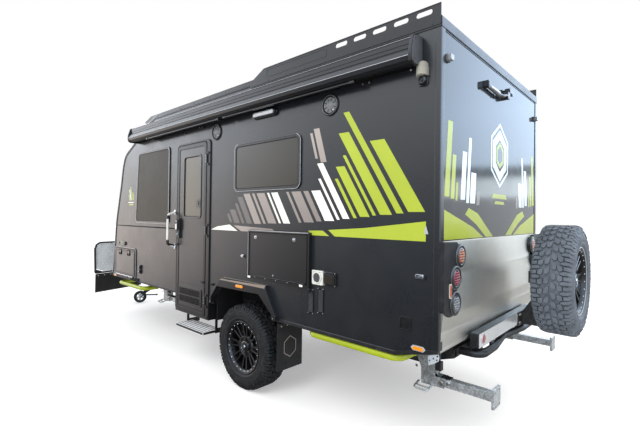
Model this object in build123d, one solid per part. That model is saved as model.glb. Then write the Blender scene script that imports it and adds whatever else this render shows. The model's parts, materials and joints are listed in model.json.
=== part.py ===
from build123d import *
import os
import math

os.makedirs("parts", exist_ok=True)

# Hybrid caravan, single axle, millimetres.
# Working axes: x forward from the rear skin, y to the left of the centre
# plane, z up from the floor. SHIFT moves everything to the part's own frame,
# whose origin is the bottom centre of the bounding box.

# ---------------------------------------------------------------- driving sizes
HALF_W = 1093.0          # centre plane to the outside of a side skin
SKIN = 35.0              # thickness of a wall panel
BODY_L = 5150.0          # rear skin to the foot of the front wall
SKIRT_Z = 750.0          # underside of body and floor panel
ROOF_Z = 2920.0          # top of the roof panel
ROOF_T = 40.0
ROOF_END_X = 3790.0      # where the flat roof meets the curved front wall
FLOOR_T = 50.0

AXLE_X = 2000.0
TYRE_R = 402.0
TYRE_W = 265.0
WHEEL_OUT_Y = 1087.0     # outer face of the road tyre
BEAD_R = 236.0

RAIL_IN, RAIL_OUT = 665.0, 715.0      # chassis rail, inner and outer face
RAIL_Z0, RAIL_Z1 = 600.0, 750.0
CHASSIS_X0, CHASSIS_X1 = 60.0, 4700.0

DOOR_X0, DOOR_X1 = 2612.0, 3216.0     # door leaf
DOOR_Z0, DOOR_Z1 = 578.0, 2446.0
DOOR_HINGE = (2600.0, 1112.0)
DOOR_R = 66.0            # upper corners of the door opening in the wall

TABLE_X0, TABLE_X1 = 1100.0, 1832.0   # fold-down table leaf
TABLE_Z0, TABLE_Z1 = 1120.0, 1508.0
TABLE_HINGE = (1125.0, 1119.0)        # y, z

BOOT_X0, BOOT_X1 = 4362.0, 5036.0     # boot hatch leaf
BOOT_Z0, BOOT_Z1 = 806.0, 1170.0
BOOT_HINGE = (1108.0, 800.0)          # y, z

SPARE_X, SPARE_Z = -450.0, 1221.0
JOCKEY_X, JOCKEY_Y = 6325.0, 0.0
JOCKEY_R = 110.0
JOCKEY_TRAIL = 164.0     # swivel axis to wheel axle
JOCKEY_TURN = 52.4       # heading of the trailing arm as parked, degrees from x
COUPLING_X = 6760.0      # centre of the tow pin bore
COUPLING_Z = 700.0

STEADY_PIVOT_Z = 529.0
STEADY_Y = 757.0
STEADY_REAR_X = 117.0
STEADY_FRONT_X = 3990.0

GH_Z0, GH_Z1 = 1242.0, 1692.0         # feet of the grab handle
REAR_TUBE_Z, FRONT_TUBE_Z = 722.0, 672.0

SHIFT = (-3112.75, -40.0, 0.0)

# ---------------------------------------------------------------- helpers


def slab(x0, x1, y0, y1, z0, z1):
    return Pos((x0 + x1) / 2, (y0 + y1) / 2, (z0 + z1) / 2) * Box(
        abs(x1 - x0), abs(y1 - y0), abs(z1 - z0))


def face_of(pts, r=0.0):
    f = make_face(Polyline(*pts, close=True))
    if r:
        f = fillet(f.vertices(), r)
    return f


def rect_face(x0, x1, z0, z1, r=0.0):
    f = Pos((x0 + x1) / 2, (z0 + z1) / 2) * (
        RectangleRounded(x1 - x0, z1 - z0, r) if r else Rectangle(x1 - x0, z1 - z0))
    return f


def arched_rect(x0, x1, z0, z1, r_top, r_foot=0.0):
    """Rectangle with its two upper corners rounded more than its feet."""
    f = make_face(Polyline((x0, z0), (x1, z0), (x1, z1), (x0, z1), close=True))
    f = fillet(f.vertices().sort_by(Axis.Y)[-2:], r_top)
    if r_foot:
        f = fillet([v for v in f.vertices() if abs(v.Y - z0) < 0.01], r_foot)
    return f


def ext_xz(sk, y0, y1):
    """Sketch drawn in x,z, from y0 to y1."""
    return Pos(0, y1, 0) * extrude(Plane.XZ * sk, amount=y1 - y0)


def ext_yz(sk, x0, x1):
    """Sketch drawn in y,z, from x0 to x1."""
    return Pos(x0, 0, 0) * extrude(Plane.YZ * sk, amount=x1 - x0)


def ext_xy(sk, z0, z1):
    return Pos(0, 0, z0) * extrude(sk, amount=z1 - z0)


def tube(pts, r, bend=0.0, closed=False):
    path = FilletPolyline(*pts, radius=bend, close=closed) if bend else Polyline(*pts, close=closed)
    sec = Plane(origin=path @ 0, z_dir=path % 0) * Circle(r)
    return sweep(sec, path=path)


def bar(p, q, w, h):
    """Rectangular bar from p to q in plan, w across, h high."""
    dx, dy = q[0] - p[0], q[1] - p[1]
    L = math.hypot(dx, dy)
    return Pos((p[0] + q[0]) / 2, (p[1] + q[1]) / 2, (p[2] + q[2]) / 2) * Rot(
        0, 0, math.degrees(math.atan2(dy, dx))) * Box(L, w, h)


def cyl_y(x, y0, y1, z, r):
    return Pos(x, (y0 + y1) / 2, z) * Rot(90, 0, 0) * Cylinder(r, abs(y1 - y0))


def cyl_x(x0, x1, y, z, r):
    return Pos((x0 + x1) / 2, y, z) * Rot(0, 90, 0) * Cylinder(r, abs(x1 - x0))


def cyl_z(x, y, z0, z1, r):
    return Pos(x, y, (z0 + z1) / 2) * Cylinder(r, abs(z1 - z0))


def cyl_between(a, b, r):
    path = Line(a, b)
    return sweep(Plane(origin=path @ 0, z_dir=path % 0) * Circle(r), path=path)


def mir(s):
    """The same shape on the other side of the centre plane."""
    return mirror(s, about=Plane.XZ)


def both(s):
    return Compound(children=[Solid(x.wrapped) for x in s.solids()] +
                             [Solid(x.wrapped) for x in mir(s).solids()])


def many(*shapes):
    out = []
    for s in shapes:
        out += [Solid(x.wrapped) for x in s.solids()]
    return Compound(children=out)


def save(name, s):
    export_step(Pos(*SHIFT) * s, f"parts/{name}.step")


# ---------------------------------------------------------------- front profile
# Outside of the body's nose in x,z, from its foot up to the flat roof.
NOSE = [(5150, 750), (5112, 1020), (5078, 1276), (5046, 1540), (4968, 1830),
        (4893, 2090), (4836, 2330), (4745, 2494), (4560, 2592), (4363, 2682),
        (4130, 2790), (3960, 2872), (ROOF_END_X, ROOF_Z)]


def nose_points(off):
    out = []
    n = len(NOSE)
    for i, (x, z) in enumerate(NOSE):
        a = NOSE[max(i - 1, 0)]
        b = NOSE[min(i + 1, n - 1)]
        dx, dz = b[0] - a[0], b[1] - a[1]
        L = math.hypot(dx, dz)
        if i == 0:
            out.append((x - off, z))
        elif i == n - 1:
            out.append((x, z - off * ROOF_T / SKIN))
        else:
            out.append((x - off * dz / L, z + off * dx / L))
    return out


def nose_curve(off):
    return Spline(*nose_points(off), tangents=[(-0.14, 1.0), (-1.0, 0.12)])


# ---------------------------------------------------------------- body shell
ARCH = [(1490, SKIRT_Z - 5), (1490, 820), (1672, 972), (2342, 962), (2452, 832), (2452, SKIRT_Z - 5)]


def side_silhouette():
    c = nose_curve(0)
    outline = Polyline((ROOF_END_X, ROOF_Z), (0, ROOF_Z), (0, 825), (140, 792),
                       (270, SKIRT_Z + 8), (300, SKIRT_Z), (BODY_L, SKIRT_Z))
    return make_face(Wire([*c.edges(), *outline.edges()]))


FRONT_WIN = [(3432, 1547), (3432, 2486), (4300, 2486), (4368, 1547)]
MID_WIN = (1205, 2120, 1890, 2350)
WIN_INSET = 22.0


def window_outline(name, off):
    if name == "mid":
        x0, x1, z0, z1 = MID_WIN
        return rect_face(x0 + off, x1 - off, z0 + off, z1 - off, 62 - off)
    x0, z0 = FRONT_WIN[0]
    z1 = FRONT_WIN[1][1]
    xt, xb = FRONT_WIN[2][0], FRONT_WIN[3][0]
    k = (xb - xt) / (z1 - z0)
    pts = [(x0 + off, z0 + off), (x0 + off, z1 - off),
           (xt - off * 1.003 + off * k, z1 - off), (xb - off * 1.003 - off * k, z0 + off)]
    return face_of(pts, 62 - off)


def wall_with(windows, door, boot):
    w = ext_xz(side_silhouette(), HALF_W - SKIN, HALF_W)
    for n in windows:
        w -= ext_xz(window_outline(n, 12), HALF_W - 60, HALF_W + 20)
    w -= ext_xz(face_of(ARCH), HALF_W - 60, HALF_W + 20)
    if door:
        w -= ext_xz(arched_rect(2545, 3240, 500, 2470, DOOR_R), HALF_W - 60, HALF_W + 20)
    if boot:
        w -= ext_xz(rect_face(BOOT_X0 - 6, BOOT_X1 + 6, BOOT_Z0 - 6, BOOT_Z1 + 6, 40),
                    HALF_W - 60, HALF_W + 20)
    return w


left_wall = wall_with(["mid", "front"], True, True)
right_wall = mir(wall_with(["mid", "front"], False, True))
save("left_wall", left_wall)
save("right_wall", right_wall)

IN_Y = HALF_W - SKIN

# floor: full width between the walls, notched at the wheel boxes and the door well
floor = ext_xz(face_of([(300, SKIRT_Z), (5104, SKIRT_Z), (5104, SKIRT_Z + FLOOR_T), (315, SKIRT_Z + FLOOR_T),
                        (SKIN, 877), (SKIN, 825)]), -IN_Y, IN_Y)
for s in (1, -1):
    floor -= slab(1478, 2466, s * 728, s * 1100, 700, 900)
floor -= slab(2545, 3240, 770, 1100, 700, 900)
save("floor_panel", floor)

# front wall follows the nose curve
front_face = make_face(Wire([*nose_curve(0).edges(), *nose_curve(SKIN).edges(),
                             *Line((BODY_L, SKIRT_Z), (BODY_L - SKIN, SKIRT_Z)).edges(),
                             *Line((ROOF_END_X, ROOF_Z), (ROOF_END_X, ROOF_Z - ROOF_T)).edges()]))
front_wall = ext_xz(front_face, -IN_Y, IN_Y)
save("front_wall", front_wall)

rear_wall = slab(0, SKIN, -IN_Y, IN_Y, 825, ROOF_Z)
save("rear_wall", rear_wall)

HATCH_X, HATCH_S = 2330.0, 500.0       # roof hatch centre and opening side
roof = slab(SKIN, ROOF_END_X, -IN_Y, IN_Y, ROOF_Z - ROOF_T, ROOF_Z)
roof -= slab(HATCH_X - HATCH_S / 2, HATCH_X + HATCH_S / 2, -HATCH_S / 2, HATCH_S / 2, 2800, 3000)
h2 = HATCH_S / 2
RH_HINGE = (HATCH_X + h2 + 30, ROOF_Z + 37)      # roof hatch hinge line, x and z
hf = slab(HATCH_X - h2, HATCH_X + h2, -h2, h2, ROOF_Z - ROOF_T, ROOF_Z + 25)
hf += slab(HATCH_X - h2 - 30, HATCH_X + h2 + 30, -h2 - 30, h2 + 30, ROOF_Z, ROOF_Z + 25)
hf -= slab(HATCH_X - h2 + 20, HATCH_X + h2 - 20, -h2 + 20, h2 - 20, 2800, 3000)
for s in (1, -1):
    hf += cyl_y(RH_HINGE[0], s * 90, s * 130, RH_HINGE[1], 6)
    hf += slab(RH_HINGE[0] - 6, RH_HINGE[0] + 6, s * 90, s * 130, ROOF_Z + 20, RH_HINGE[1])
save("roof_panel", roof + hf)

# ---------------------------------------------------------------- windows
frames, panes = [], []
for n in ("mid", "front"):
    flange = ext_xz(window_outline(n, 0) - window_outline(n, 26), HALF_W, HALF_W + 12)
    sleeve = ext_xz(window_outline(n, 12) - window_outline(n, 26), HALF_W - SKIN, HALF_W)
    fr = flange + sleeve
    pn = ext_xz(window_outline(n, 26), HALF_W - 14, HALF_W + 8)
    frames += [fr, mir(fr)]
    panes += [pn, mir(pn)]
save("window_frames", many(*frames))
save("window_panes", many(*panes))

# ---------------------------------------------------------------- wheel boxes and flares
LIN_T = 10.0
lin_in = [(1500, 700), (1500, 826), (1676, 978), (2338, 970), (2442, 845), (2442, 575)]
lin_out = [(1490, 700), (1490, 831), (1672, 988), (2343, 980), (2452, 849), (2452, 575)]
liner_sheet = ext_xz(face_of(lin_out + lin_in[::-1]), 738, IN_Y)
liner_back = ext_xz(face_of([(1490, 755), (1490, 831), (1672, 988), (2343, 980), (2452, 849), (2452, 755)]),
                    728, 738)
liner = liner_sheet + liner_back
save("wheel_arch_liners", both(liner))

fl_out = [(1452, 765), (1452, 802), (1600, 1046), (2276, 1034), (2462, 838), (2462, 765)]
fl_in = [(1504, 765), (1504, 816), (1680, 962), (2334, 952), (2440, 826), (2440, 765)]
flare = ext_xz(face_of(fl_out + fl_in[::-1]), HALF_W, HALF_W + 50)
# sloped top: cut the outer upper edge back
cut = ext_yz(face_of([(HALF_W + 22, 1060), (HALF_W + 60, 1060), (HALF_W + 60, 1010)]), 1440, 2480)
flare = flare - cut
save("arch_flares", both(flare))

# ---------------------------------------------------------------- roof rails
rail_pts = [(0, 2850), (0, 2998), (1703, 2998), (1850, 2928), (3960, 2926), (4120, 2878), (4130, 2862),
            (4080, 2850), (3900, 2858), (3860, 2870), (1900, 2870), (1880, 2850)]
rail_face = face_of(rail_pts)
for sx in (114, 283, 454, 623, 794):
    rail_face -= Pos(sx, 2960) * SlotOverall(112, 34)
roof_rail = ext_xz(rail_face, HALF_W, HALF_W + 5)
save("roof_rails", both(roof_rail))

# ---------------------------------------------------------------- awning
AW_X0, AW_X1 = 150.0, 4330.0
aw_back = [(HALF_W, 2634), (HALF_W, 2812), (HALF_W + 46, 2812), (HALF_W + 104, 2790),
           (HALF_W + 104, 2722), (HALF_W + 62, 2714), (HALF_W + 62, 2640), (HALF_W + 20, 2634)]
aw_lead = [(HALF_W + 66, 2622), (HALF_W + 66, 2708), (HALF_W + 106, 2716), (HALF_W + 128, 2700),
           (HALF_W + 136, 2672), (HALF_W + 128, 2640), (HALF_W + 104, 2622)]
aw_end = [(HALF_W, 2618), (HALF_W, 2820), (HALF_W + 52, 2820), (HALF_W + 112, 2798),
          (HALF_W + 138, 2710), (HALF_W + 140, 2672), (HALF_W + 132, 2630), (HALF_W + 104, 2614)]
aw_back_in = [(HALF_W + 5, 2640), (HALF_W + 5, 2806), (HALF_W + 45, 2806), (HALF_W + 98, 2786),
              (HALF_W + 98, 2727), (HALF_W + 57, 2720), (HALF_W + 57, 2646), (HALF_W + 20, 2640)]
aw_lead_in = [(HALF_W + 71, 2627), (HALF_W + 71, 2703), (HALF_W + 105, 2710), (HALF_W + 123, 2698),
              (HALF_W + 130, 2672), (HALF_W + 123, 2642), (HALF_W + 104, 2627)]
awning = many(ext_yz(face_of(aw_back), AW_X0, AW_X1) - ext_yz(face_of(aw_back_in), AW_X0 - 5, AW_X1 + 5),
              ext_yz(face_of(aw_lead), AW_X0, AW_X1) - ext_yz(face_of(aw_lead_in), AW_X0 - 5, AW_X1 + 5),
              ext_yz(face_of(aw_end), AW_X0 - 20, AW_X0),
              ext_yz(face_of(aw_end), AW_X1, AW_X1 + 22))
save("awning", awning)

# ---------------------------------------------------------------- side tubes
TUBE_Y, TUBE_R = 1064.0, 27.0


def side_tube(x0, x1, y0, y1, z):
    """Tube under the skirt, turned in at both ends to hangers on the floor."""
    t = tube([(x0, y0, z), (x0, TUBE_Y, z), (x1, TUBE_Y, z), (x1, y1, z)], TUBE_R, 80)
    for x, y in ((x0, y0), (x1, y1)):
        t += slab(x - 18, x + 18, y - 6, y + 6, z - 25, SKIRT_Z)
    return t


st = many(side_tube(285, 1122, 872, 800, REAR_TUBE_Z), side_tube(4170, 4955, 872, 830, FRONT_TUBE_Z))
save("side_tubes", both(st))

# ---------------------------------------------------------------- chassis
GAP = 0.4                                    # weld gap between members of one frame
rail = ext_xz(face_of([(CHASSIS_X0, RAIL_Z1), (CHASSIS_X0, RAIL_Z1 - 60), (330, RAIL_Z0), (CHASSIS_X1, RAIL_Z0),
                       (CHASSIS_X1, RAIL_Z1)]), RAIL_IN, RAIL_OUT)
rail -= ext_xz(face_of([(CHASSIS_X0 - 5, RAIL_Z1 - 6), (CHASSIS_X0 - 5, RAIL_Z1 - 52), (326, RAIL_Z0 + 6),
                        (CHASSIS_X1 + 5, RAIL_Z0 + 6), (CHASSIS_X1 + 5, RAIL_Z1 - 6)]), RAIL_IN + 6, RAIL_OUT - 6)
members = [rail, mir(rail)]
CROSS_X = (85, 645, 1245, 1690, 2470, 3065, 3690, 4290, 4675)
for cx in CROSS_X:
    z0 = 690 if cx < 100 else 650
    members.append(slab(cx - 25, cx + 25, -RAIL_IN + GAP, RAIL_IN - GAP, z0, RAIL_Z1)
                   - slab(cx - 20, cx + 20, -RAIL_IN - 5, RAIL_IN + 5, z0 + 5, RAIL_Z1 - 5))
for cx in (520, 820, 1380, 3330, 3600, 4480):
    gusset = ext_yz(face_of([(RAIL_OUT + GAP, 650), (RAIL_OUT + GAP, 750), (1025, 750), (1025, 738), (760, 650)]),
                    cx - 4, cx + 4)
    members += [gusset, mir(gusset)]
# suspension mountings: arm pivot hangers and spring seats
for s in (1, -1):
    hanger = slab(2500, 2660, s * 425, s * (RAIL_IN - GAP), 638, 648)
    for yy in (426, 652):
        hanger += slab(2538, 2622, s * yy, s * (yy + 12), 500, 640)
    seat = slab(1895, 2055, s * 520, s * (RAIL_IN - GAP), 646, 656)
    seat += slab(1916, 2034, s * 536, s * 654, 640, 650)
    shock_mount = slab(1716, 1764, s * (RAIL_OUT + GAP), s * 772, 684, 700)
    members += [hanger, seat, shock_mount]
save("chassis_frame", many(*members))

# drawbar: two members converging on the nose plate, with two cross members and a tray
ax0, ax1 = CHASSIS_X1, 6470.0
arm_l = bar((ax0 + 8, 690, 675), (ax1, 78, 675), 50, 150)
arm_l -= bar((ax0 - 40, 690 + 48 * (690 - 78) / (ax1 - ax0 - 8), 675), (ax1, 78, 675), 38, 138)
arm_l = arm_l & slab(ax0, 6380 - GAP, 20, 760, 600, 750)
nose_box = slab(6380, 6560, -105, 105, 600, 750)


def inner_y(x):
    """Inner face of a drawbar member at x."""
    k = (690 - 78) / (ax1 - ax0 - 8)
    return 690 - (x - ax0 - 8) * k - 25.5 * math.hypot(1, k)


db = [arm_l, mir(arm_l), nose_box]
for x0, x1 in ((5225, 5275), (5740, 5790)):
    c = ext_xy(face_of([(x0, -inner_y(x0)), (x1, -inner_y(x1)), (x1, inner_y(x1)), (x0, inner_y(x0))]), 650, 750)
    db.append(c - slab(x0 + 5, x1 - 5, -900, 900, 655, 745))
jy = inner_y(6285)
db.append(slab(6272, 6285, -jy, jy, 606, 746))
tray = slab(5795, 6090, -322, 322, 750 + GAP, 774) - slab(5801, 6084, -316, 316, 756, 780)
db.append(tray)
save("drawbar", many(*db))

# ---------------------------------------------------------------- coupling
cp = slab(6560, 6575, -75, 75, 610, 745)
cp += slab(6575, 6690, -42, 42, 640, 730)
cp += Pos(COUPLING_X, 0, 0) * (cyl_z(0, 0, 632, 768, 48))
cp += slab(6690, COUPLING_X, -42, 42, 640, 730)
cp += slab(6590, 6660, -16, 16, 730, 775)
cp -= cyl_z(COUPLING_X, 0, 600, 800, 16)
save("coupling", cp)

# ---------------------------------------------------------------- suspension
def trailing_arm():
    a = cyl_y(2580, 442, 650, 540, 38)
    a += ext_xz(face_of([(2600, 515), (2600, 565), (2040, 470), (1890, 452), (1890, 382), (2040, 382)]), 560, 640)
    a += ext_xz(face_of([(2600, 515), (2600, 565), (2300, 514), (2040, 462), (1890, 452), (1890, 402), (2040, 402)]), 470, 560)
    a += cyl_y(AXLE_X, 560, WHEEL_OUT_Y - 167, TYRE_R, 36)
    a += cyl_y(AXLE_X, WHEEL_OUT_Y - 231, WHEEL_OUT_Y - 221, TYRE_R, 145)
    a += slab(1895, 2055, 520, 660, 440, 470)
    a += slab(1846, 1900, 600, 712, 394, 432)
    return a


arm = trailing_arm()
save("trailing_arms", both(arm))

COIL = (1975.0, 595.0)
spring_path = Helix(pitch=36, height=150, radius=52)
spring = Pos(COIL[0], COIL[1], 479) * sweep(
    Plane(origin=spring_path @ 0, z_dir=spring_path % 0) * Circle(7.5), path=spring_path)


def shock_pair():
    body = cyl_between((1860, 748, 420), (1790, 748, 560), 27)
    rod = cyl_between((1790, 748, 560), (1745, 748, 650), 9)
    eye_lo = cyl_y(1864, 716, 770, 412, 20)
    eye_hi = cyl_y(1740, 716, 770, 660, 20)
    return body + rod + eye_lo + eye_hi


save("springs_and_dampers", both(many(spring, shock_pair())))

# ---------------------------------------------------------------- tanks
tanks = many(slab(686, 1204, -610, 610, 560, 742), slab(3106, 3650, -610, 610, 560, 742))
save("water_tanks", tanks)

# ---------------------------------------------------------------- mud flaps
flap = slab(1484, 1490, 777, 1080, 306, 712)
hang = slab(1470, 1484, 715, 1080, 690, 722)
save("mud_flaps", both(flap + hang))

# ---------------------------------------------------------------- door frame and step well
ring = arched_rect(2545, 3240, 560, 2470, DOOR_R) - arched_rect(2606, 3222, 572, 2452, 48, 10)
door_frame = ext_xz(ring, HALF_W - 43, HALF_W + 6)
well = slab(2545, 3240, 770, HALF_W - 43, 560, 572)
well += slab(2545, 2557, 770, HALF_W - 43, 560, 800)
well += slab(3228, 3240, 770, HALF_W - 43, 560, 800)
well += slab(2545, 3240, 770, 782, 560, 800)
door_frame += well
for hz in (760, 1500, 2260):
    for z0, z1 in ((hz - 72, hz - 47), (hz + 47, hz + 72)):
        door_frame += cyl_z(DOOR_HINGE[0], DOOR_HINGE[1], z0, z1, 7)
        door_frame += slab(2566, 2600, HALF_W + 6, DOOR_HINGE[1] + 3, z0, z1)
# step hangers under the well
door_frame += slab(2545, 2557, 850, 1010, 408, 562) - slab(2540, 2562, 876, 984, 458, 545)
door_frame += slab(3125, 3137, 850, 1010, 408, 562) - slab(3120, 3142, 876, 984, 458, 545)
save("door_frame", door_frame)

# ---------------------------------------------------------------- entry door
leaf = ext_xz(arched_rect(DOOR_X0, DOOR_X1, DOOR_Z0, DOOR_Z1, 42, 14), 1062, 1104)
leaf -= ext_xz(rect_face(2725, 3070, 1640, 2310, 40), 1050, 1110)
hinge = many()
for hz in (760, 1500, 2260):
    leaf += cyl_z(DOOR_HINGE[0], DOOR_HINGE[1], hz - 45, hz + 45, 7)
    leaf += slab(2602, 2640, 1104, 1110, hz - 45, hz + 45)
# handle plate
leaf += slab(3140, 3200, 1104, 1126, 1400, 1616)
save("entry_door", leaf)
pane = ext_xz(rect_face(2725, 3070, 1640, 2310, 40), 1074, 1098)
save("entry_door_window", pane)

# ---------------------------------------------------------------- step
ST_X0, ST_X1 = 2563.0, 3119.0
tread = slab(ST_X0, ST_X1, 940, 1150, 410, 440)
for i in range(5):
    tread -= slab(ST_X0 + 30, ST_X1 - 30, 958 + i * 37, 980 + i * 37, 400, 450)
save("step_tread", tread)

# ---------------------------------------------------------------- grab handle
gh = tube([(3285, HALF_W, GH_Z0), (3285, 1188, GH_Z0 + 30), (3285, 1188, GH_Z1 - 30), (3285, HALF_W, GH_Z1)], 13, 40)
gh = gh & slab(3200, 3400, HALF_W, 1300, 1200, 1800)
gh += cyl_y(3285, HALF_W, HALF_W + 8, GH_Z0, 28) + cyl_y(3285, HALF_W, HALF_W + 8, GH_Z1, 28)
save("grab_handle", gh)

# ---------------------------------------------------------------- hatch frames and leaves
def knuckles(x0, x1, n, y, z, r, lo, hi, moving):
    """Alternate knuckles of a long hinge on the x axis, each with its tab from lo to hi in y and z."""
    out = []
    L = (x1 - x0) / n
    for i in range(n):
        if (i % 2 == 1) == moving:
            a, b = x0 + i * L + 1.0, x0 + (i + 1) * L - 1.0
            out.append(cyl_x(a, b, y, z, r) + slab(a, b, lo[0], hi[0], lo[1], hi[1]))
    return out


tf = rect_face(1076, 1856, 1088, 1532, 6) - rect_face(1094, 1838, 1112, 1514, 4)
table_frame = ext_xz(tf, HALF_W, HALF_W + 32)
TH, BH = TABLE_HINGE, BOOT_HINGE
for k in knuckles(1120, 1812, 7, TH[0], TH[1], 4.5, (1118, 1106), (1125, 1119), False):
    table_frame += k
bf = rect_face(BOOT_X0 - 26, BOOT_X1 + 26, BOOT_Z0 - 24, BOOT_Z1 + 26, 54) - rect_face(
    BOOT_X0 - 6, BOOT_X1 + 6, BOOT_Z0 - 11, BOOT_Z1 + 6, 40)
boot_frame = ext_xz(bf, HALF_W, HALF_W + 8)
for k in knuckles(4420, 4980, 7, BH[0], BH[1], 4, (HALF_W + 5, 784), (BH[0] - 1, 797), False):
    boot_frame += k
for k in knuckles(4420, 4980, 7, BH[0], BH[1], 4, (HALF_W + 8, 784), (BH[0] + 3, 800), False):
    boot_frame += k
save("hatch_frames", many(table_frame, boot_frame, mir(boot_frame)))

table = slab(TABLE_X0, TABLE_X1, 1099, 1125, TABLE_Z0 + 1.5, TABLE_Z1)
table -= cyl_x(1100, 1832, TH[0], TH[1], 5.5)
for k in knuckles(1120, 1812, 7, TH[0], TH[1], 4.5, (1121, 1119), (1125, 1130), True):
    table += k
save("folding_table", table)

boot = ext_xz(rect_face(BOOT_X0, BOOT_X1, BOOT_Z0, BOOT_Z1, 34), 1076, 1106)
for k in knuckles(4420, 4980, 7, BH[0], BH[1], 4, (1104, 800), (1110, 814), True):
    boot += k
save("left_boot_hatch", boot)
save("right_boot_hatch", mir(boot))

# ---------------------------------------------------------------- wall fittings
fit = []
for sx in (2446, 898):
    fit.append(cyl_y(sx, HALF_W, HALF_W + 14, 2520, 84))
fit.append(slab(1520, 1822, HALF_W, HALF_W + 38, 2552, 2600))               # awning light
fit.append(slab(78, 158, HALF_W, HALF_W + 60, 2540, 2610))                  # awning lamp cap
fit.append(ext_xz(rect_face(942, 1060, 1128, 1242, 8), HALF_W, HALF_W + 26))  # supply inlet
fit.append(ext_xz(rect_face(812, 930, 1132, 1240, 14), HALF_W, HALF_W + 20))  # outlet box
fit.append(slab(1046, 1110, HALF_W, HALF_W + 6, 888, 1088))
fit.append(slab(940, 1004, HALF_W, HALF_W + 6, 905, 1105))
fit.append(slab(183, 268, HALF_W, HALF_W + 16, 935, 1015))                  # latch
fit.append(slab(4190, 4218, HALF_W, HALF_W + 16, 872, 990))                 # tap box
fit.append(slab(4700, 4840, HALF_W, HALF_W + 24, 1222, 1262))               # boot light
fit.append(slab(4262, 4300, HALF_W, HALF_W + 6, 780, 800))
# right side: fridge vents, filler, heater door
for z0 in (900, 1560):
    fit.append(mir(ext_xz(rect_face(2700, 3180, z0, z0 + 170, 10), HALF_W, HALF_W + 14)))
fit.append(mir(ext_xz(rect_face(760, 1000, 980, 1230, 10), HALF_W, HALF_W + 14)))
fit.append(mir(cyl_y(3700, HALF_W, HALF_W + 22, 930, 62)))
# camera and work lamps on the rear header
fit += [slab(-60, 0, 176, 492, 2634, 2688), slab(-68, 0, -270, -60, 2694, 2752)]
save("wall_fittings", many(*fit))

# ---------------------------------------------------------------- rear lamp panels and lamps
LAMPS = [(855, 1418), (928, 1283), (929, 1119)]
lp = face_of([(1093, 1086), (1093, 1515), (900, 1508), (880, 1480), (905, 1060), (960, 1045), (1010, 1042)])
for ly, lz in LAMPS:
    lp += Pos(ly, lz) * Circle(78)
lp = lp & rect_face(700, 1093, 1000, 1515)
lp -= Pos(929, 1119) * Circle(30)
lamp_panel = ext_yz(lp, -34, 0)
for ly, lz in LAMPS:
    lamp_panel -= cyl_x(-40, -18, ly, lz, 54)
lamp_panel = lamp_panel + slab(-10, -2, 880, 980, 1080, 1160)
save("rear_lamp_panels", both(lamp_panel))

lens = []
for ly, lz in LAMPS:
    lens.append(cyl_x(-44, -18, ly, lz, 53))
lens.append(slab(-40, -34, 996, 1018, 1166, 1246))                            # reflector
lens.append(slab(-28, 0, 985, 1083, 2650, 2700))                              # clearance lamps
rear_l = both(many(*lens))
side_l = []
hexf = face_of([(87, 832), (100, 818), (168, 818), (182, 832), (168, 846), (100, 846)])
side_l.append(ext_xz(hexf, HALF_W, HALF_W + 12))
side_l.append(slab(1905, 2005, HALF_W + 50, HALF_W + 60, 985, 1012))
side_l.append(slab(4990, 5052, HALF_W, HALF_W + 14, 758, 780))
side_b = both(many(*side_l))
save("lamps", many(rear_l, side_b, cyl_x(-86, -80, 560, 825, 32), cyl_x(-86, -80, -560, 825, 32)))


# ---------------------------------------------------------------- rear bar, bumper tube, spare wheel
rb = slab(-80, -20, -640, 640, 770, 870) - slab(-76, -24, -636, 636, 774, 866)
# tube bowed out under each half of the bar, its ends on the rear cross member
BT_Z = 720.0
bt = tube([(220, 606, BT_Z), (-85, 606, BT_Z), (-85, 350, BT_Z), (-36, 0, BT_Z), (-85, -350, BT_Z), (-85, -606, BT_Z),
           (220, -606, BT_Z)], 27, 140)
bt = bt & slab(-200, CHASSIS_X0, -900, 900, 600, 800)
rb += bt
for s_ in (1, -1):
    rb += slab(-20, -8, s_ * 400, s_ * 470, 702, 860)
    rb += slab(-20, CHASSIS_X0, s_ * 421, s_ * 449, 702, 748)
    rb += slab(-78, -62, s_ * 330, s_ * 390, 733, 770)
save("rear_bar", rb)

sc = slab(-90, -80, -470, -230, 758, 872)
sc += slab(-236, -90, -394, -306, 766, 864)
sc += slab(-236, -170, -390, -310, 768, SPARE_Z + 45)
sc += slab(-296, -236, -390, 60, SPARE_Z - 45, SPARE_Z + 45)
sc += ext_xz(face_of([(-90, 864), (-170, 864), (-170, 990)]), -384, -316)
sc += slab(-352, -290, -45, 45, SPARE_Z - 45, SPARE_Z + 45)
sc += cyl_x(-366, -352, 0, SPARE_Z, 92)
for k in range(6):
    a = math.radians(60 * k)
    sc += cyl_x(-420, -366, 70 * math.cos(a), SPARE_Z + 70 * math.sin(a), 6)
save("spare_wheel_carrier", sc)


# ---------------------------------------------------------------- wheels
def tyre_solid():
    """Tyre on the y axis, outer face toward +y, centred on the origin."""
    W = TYRE_W / 2
    prof = [(BEAD_R, -W + 27), (BEAD_R + 15, -W + 27), (BEAD_R + 34, -W + 7), (308, -W), (372, -W + 8), (396, -W + 26), (TYRE_R, -W + 48),
            (TYRE_R, W - 48), (396, W - 26), (372, W - 8), (308, W), (BEAD_R + 34, W - 7), (BEAD_R + 15, W - 27), (BEAD_R, W - 27),
            (BEAD_R, W - 44), (BEAD_R + 30, W - 22), (308, W - 16), (366, W - 24), (384, W - 52),
            (384, -W + 52), (366, -W + 24), (308, -W + 16), (BEAD_R + 30, -W + 22), (BEAD_R, -W + 44)]
    f = make_face(Polyline(*prof, close=True))
    return revolve(Plane.XY * f, axis=Axis.Y)


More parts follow.
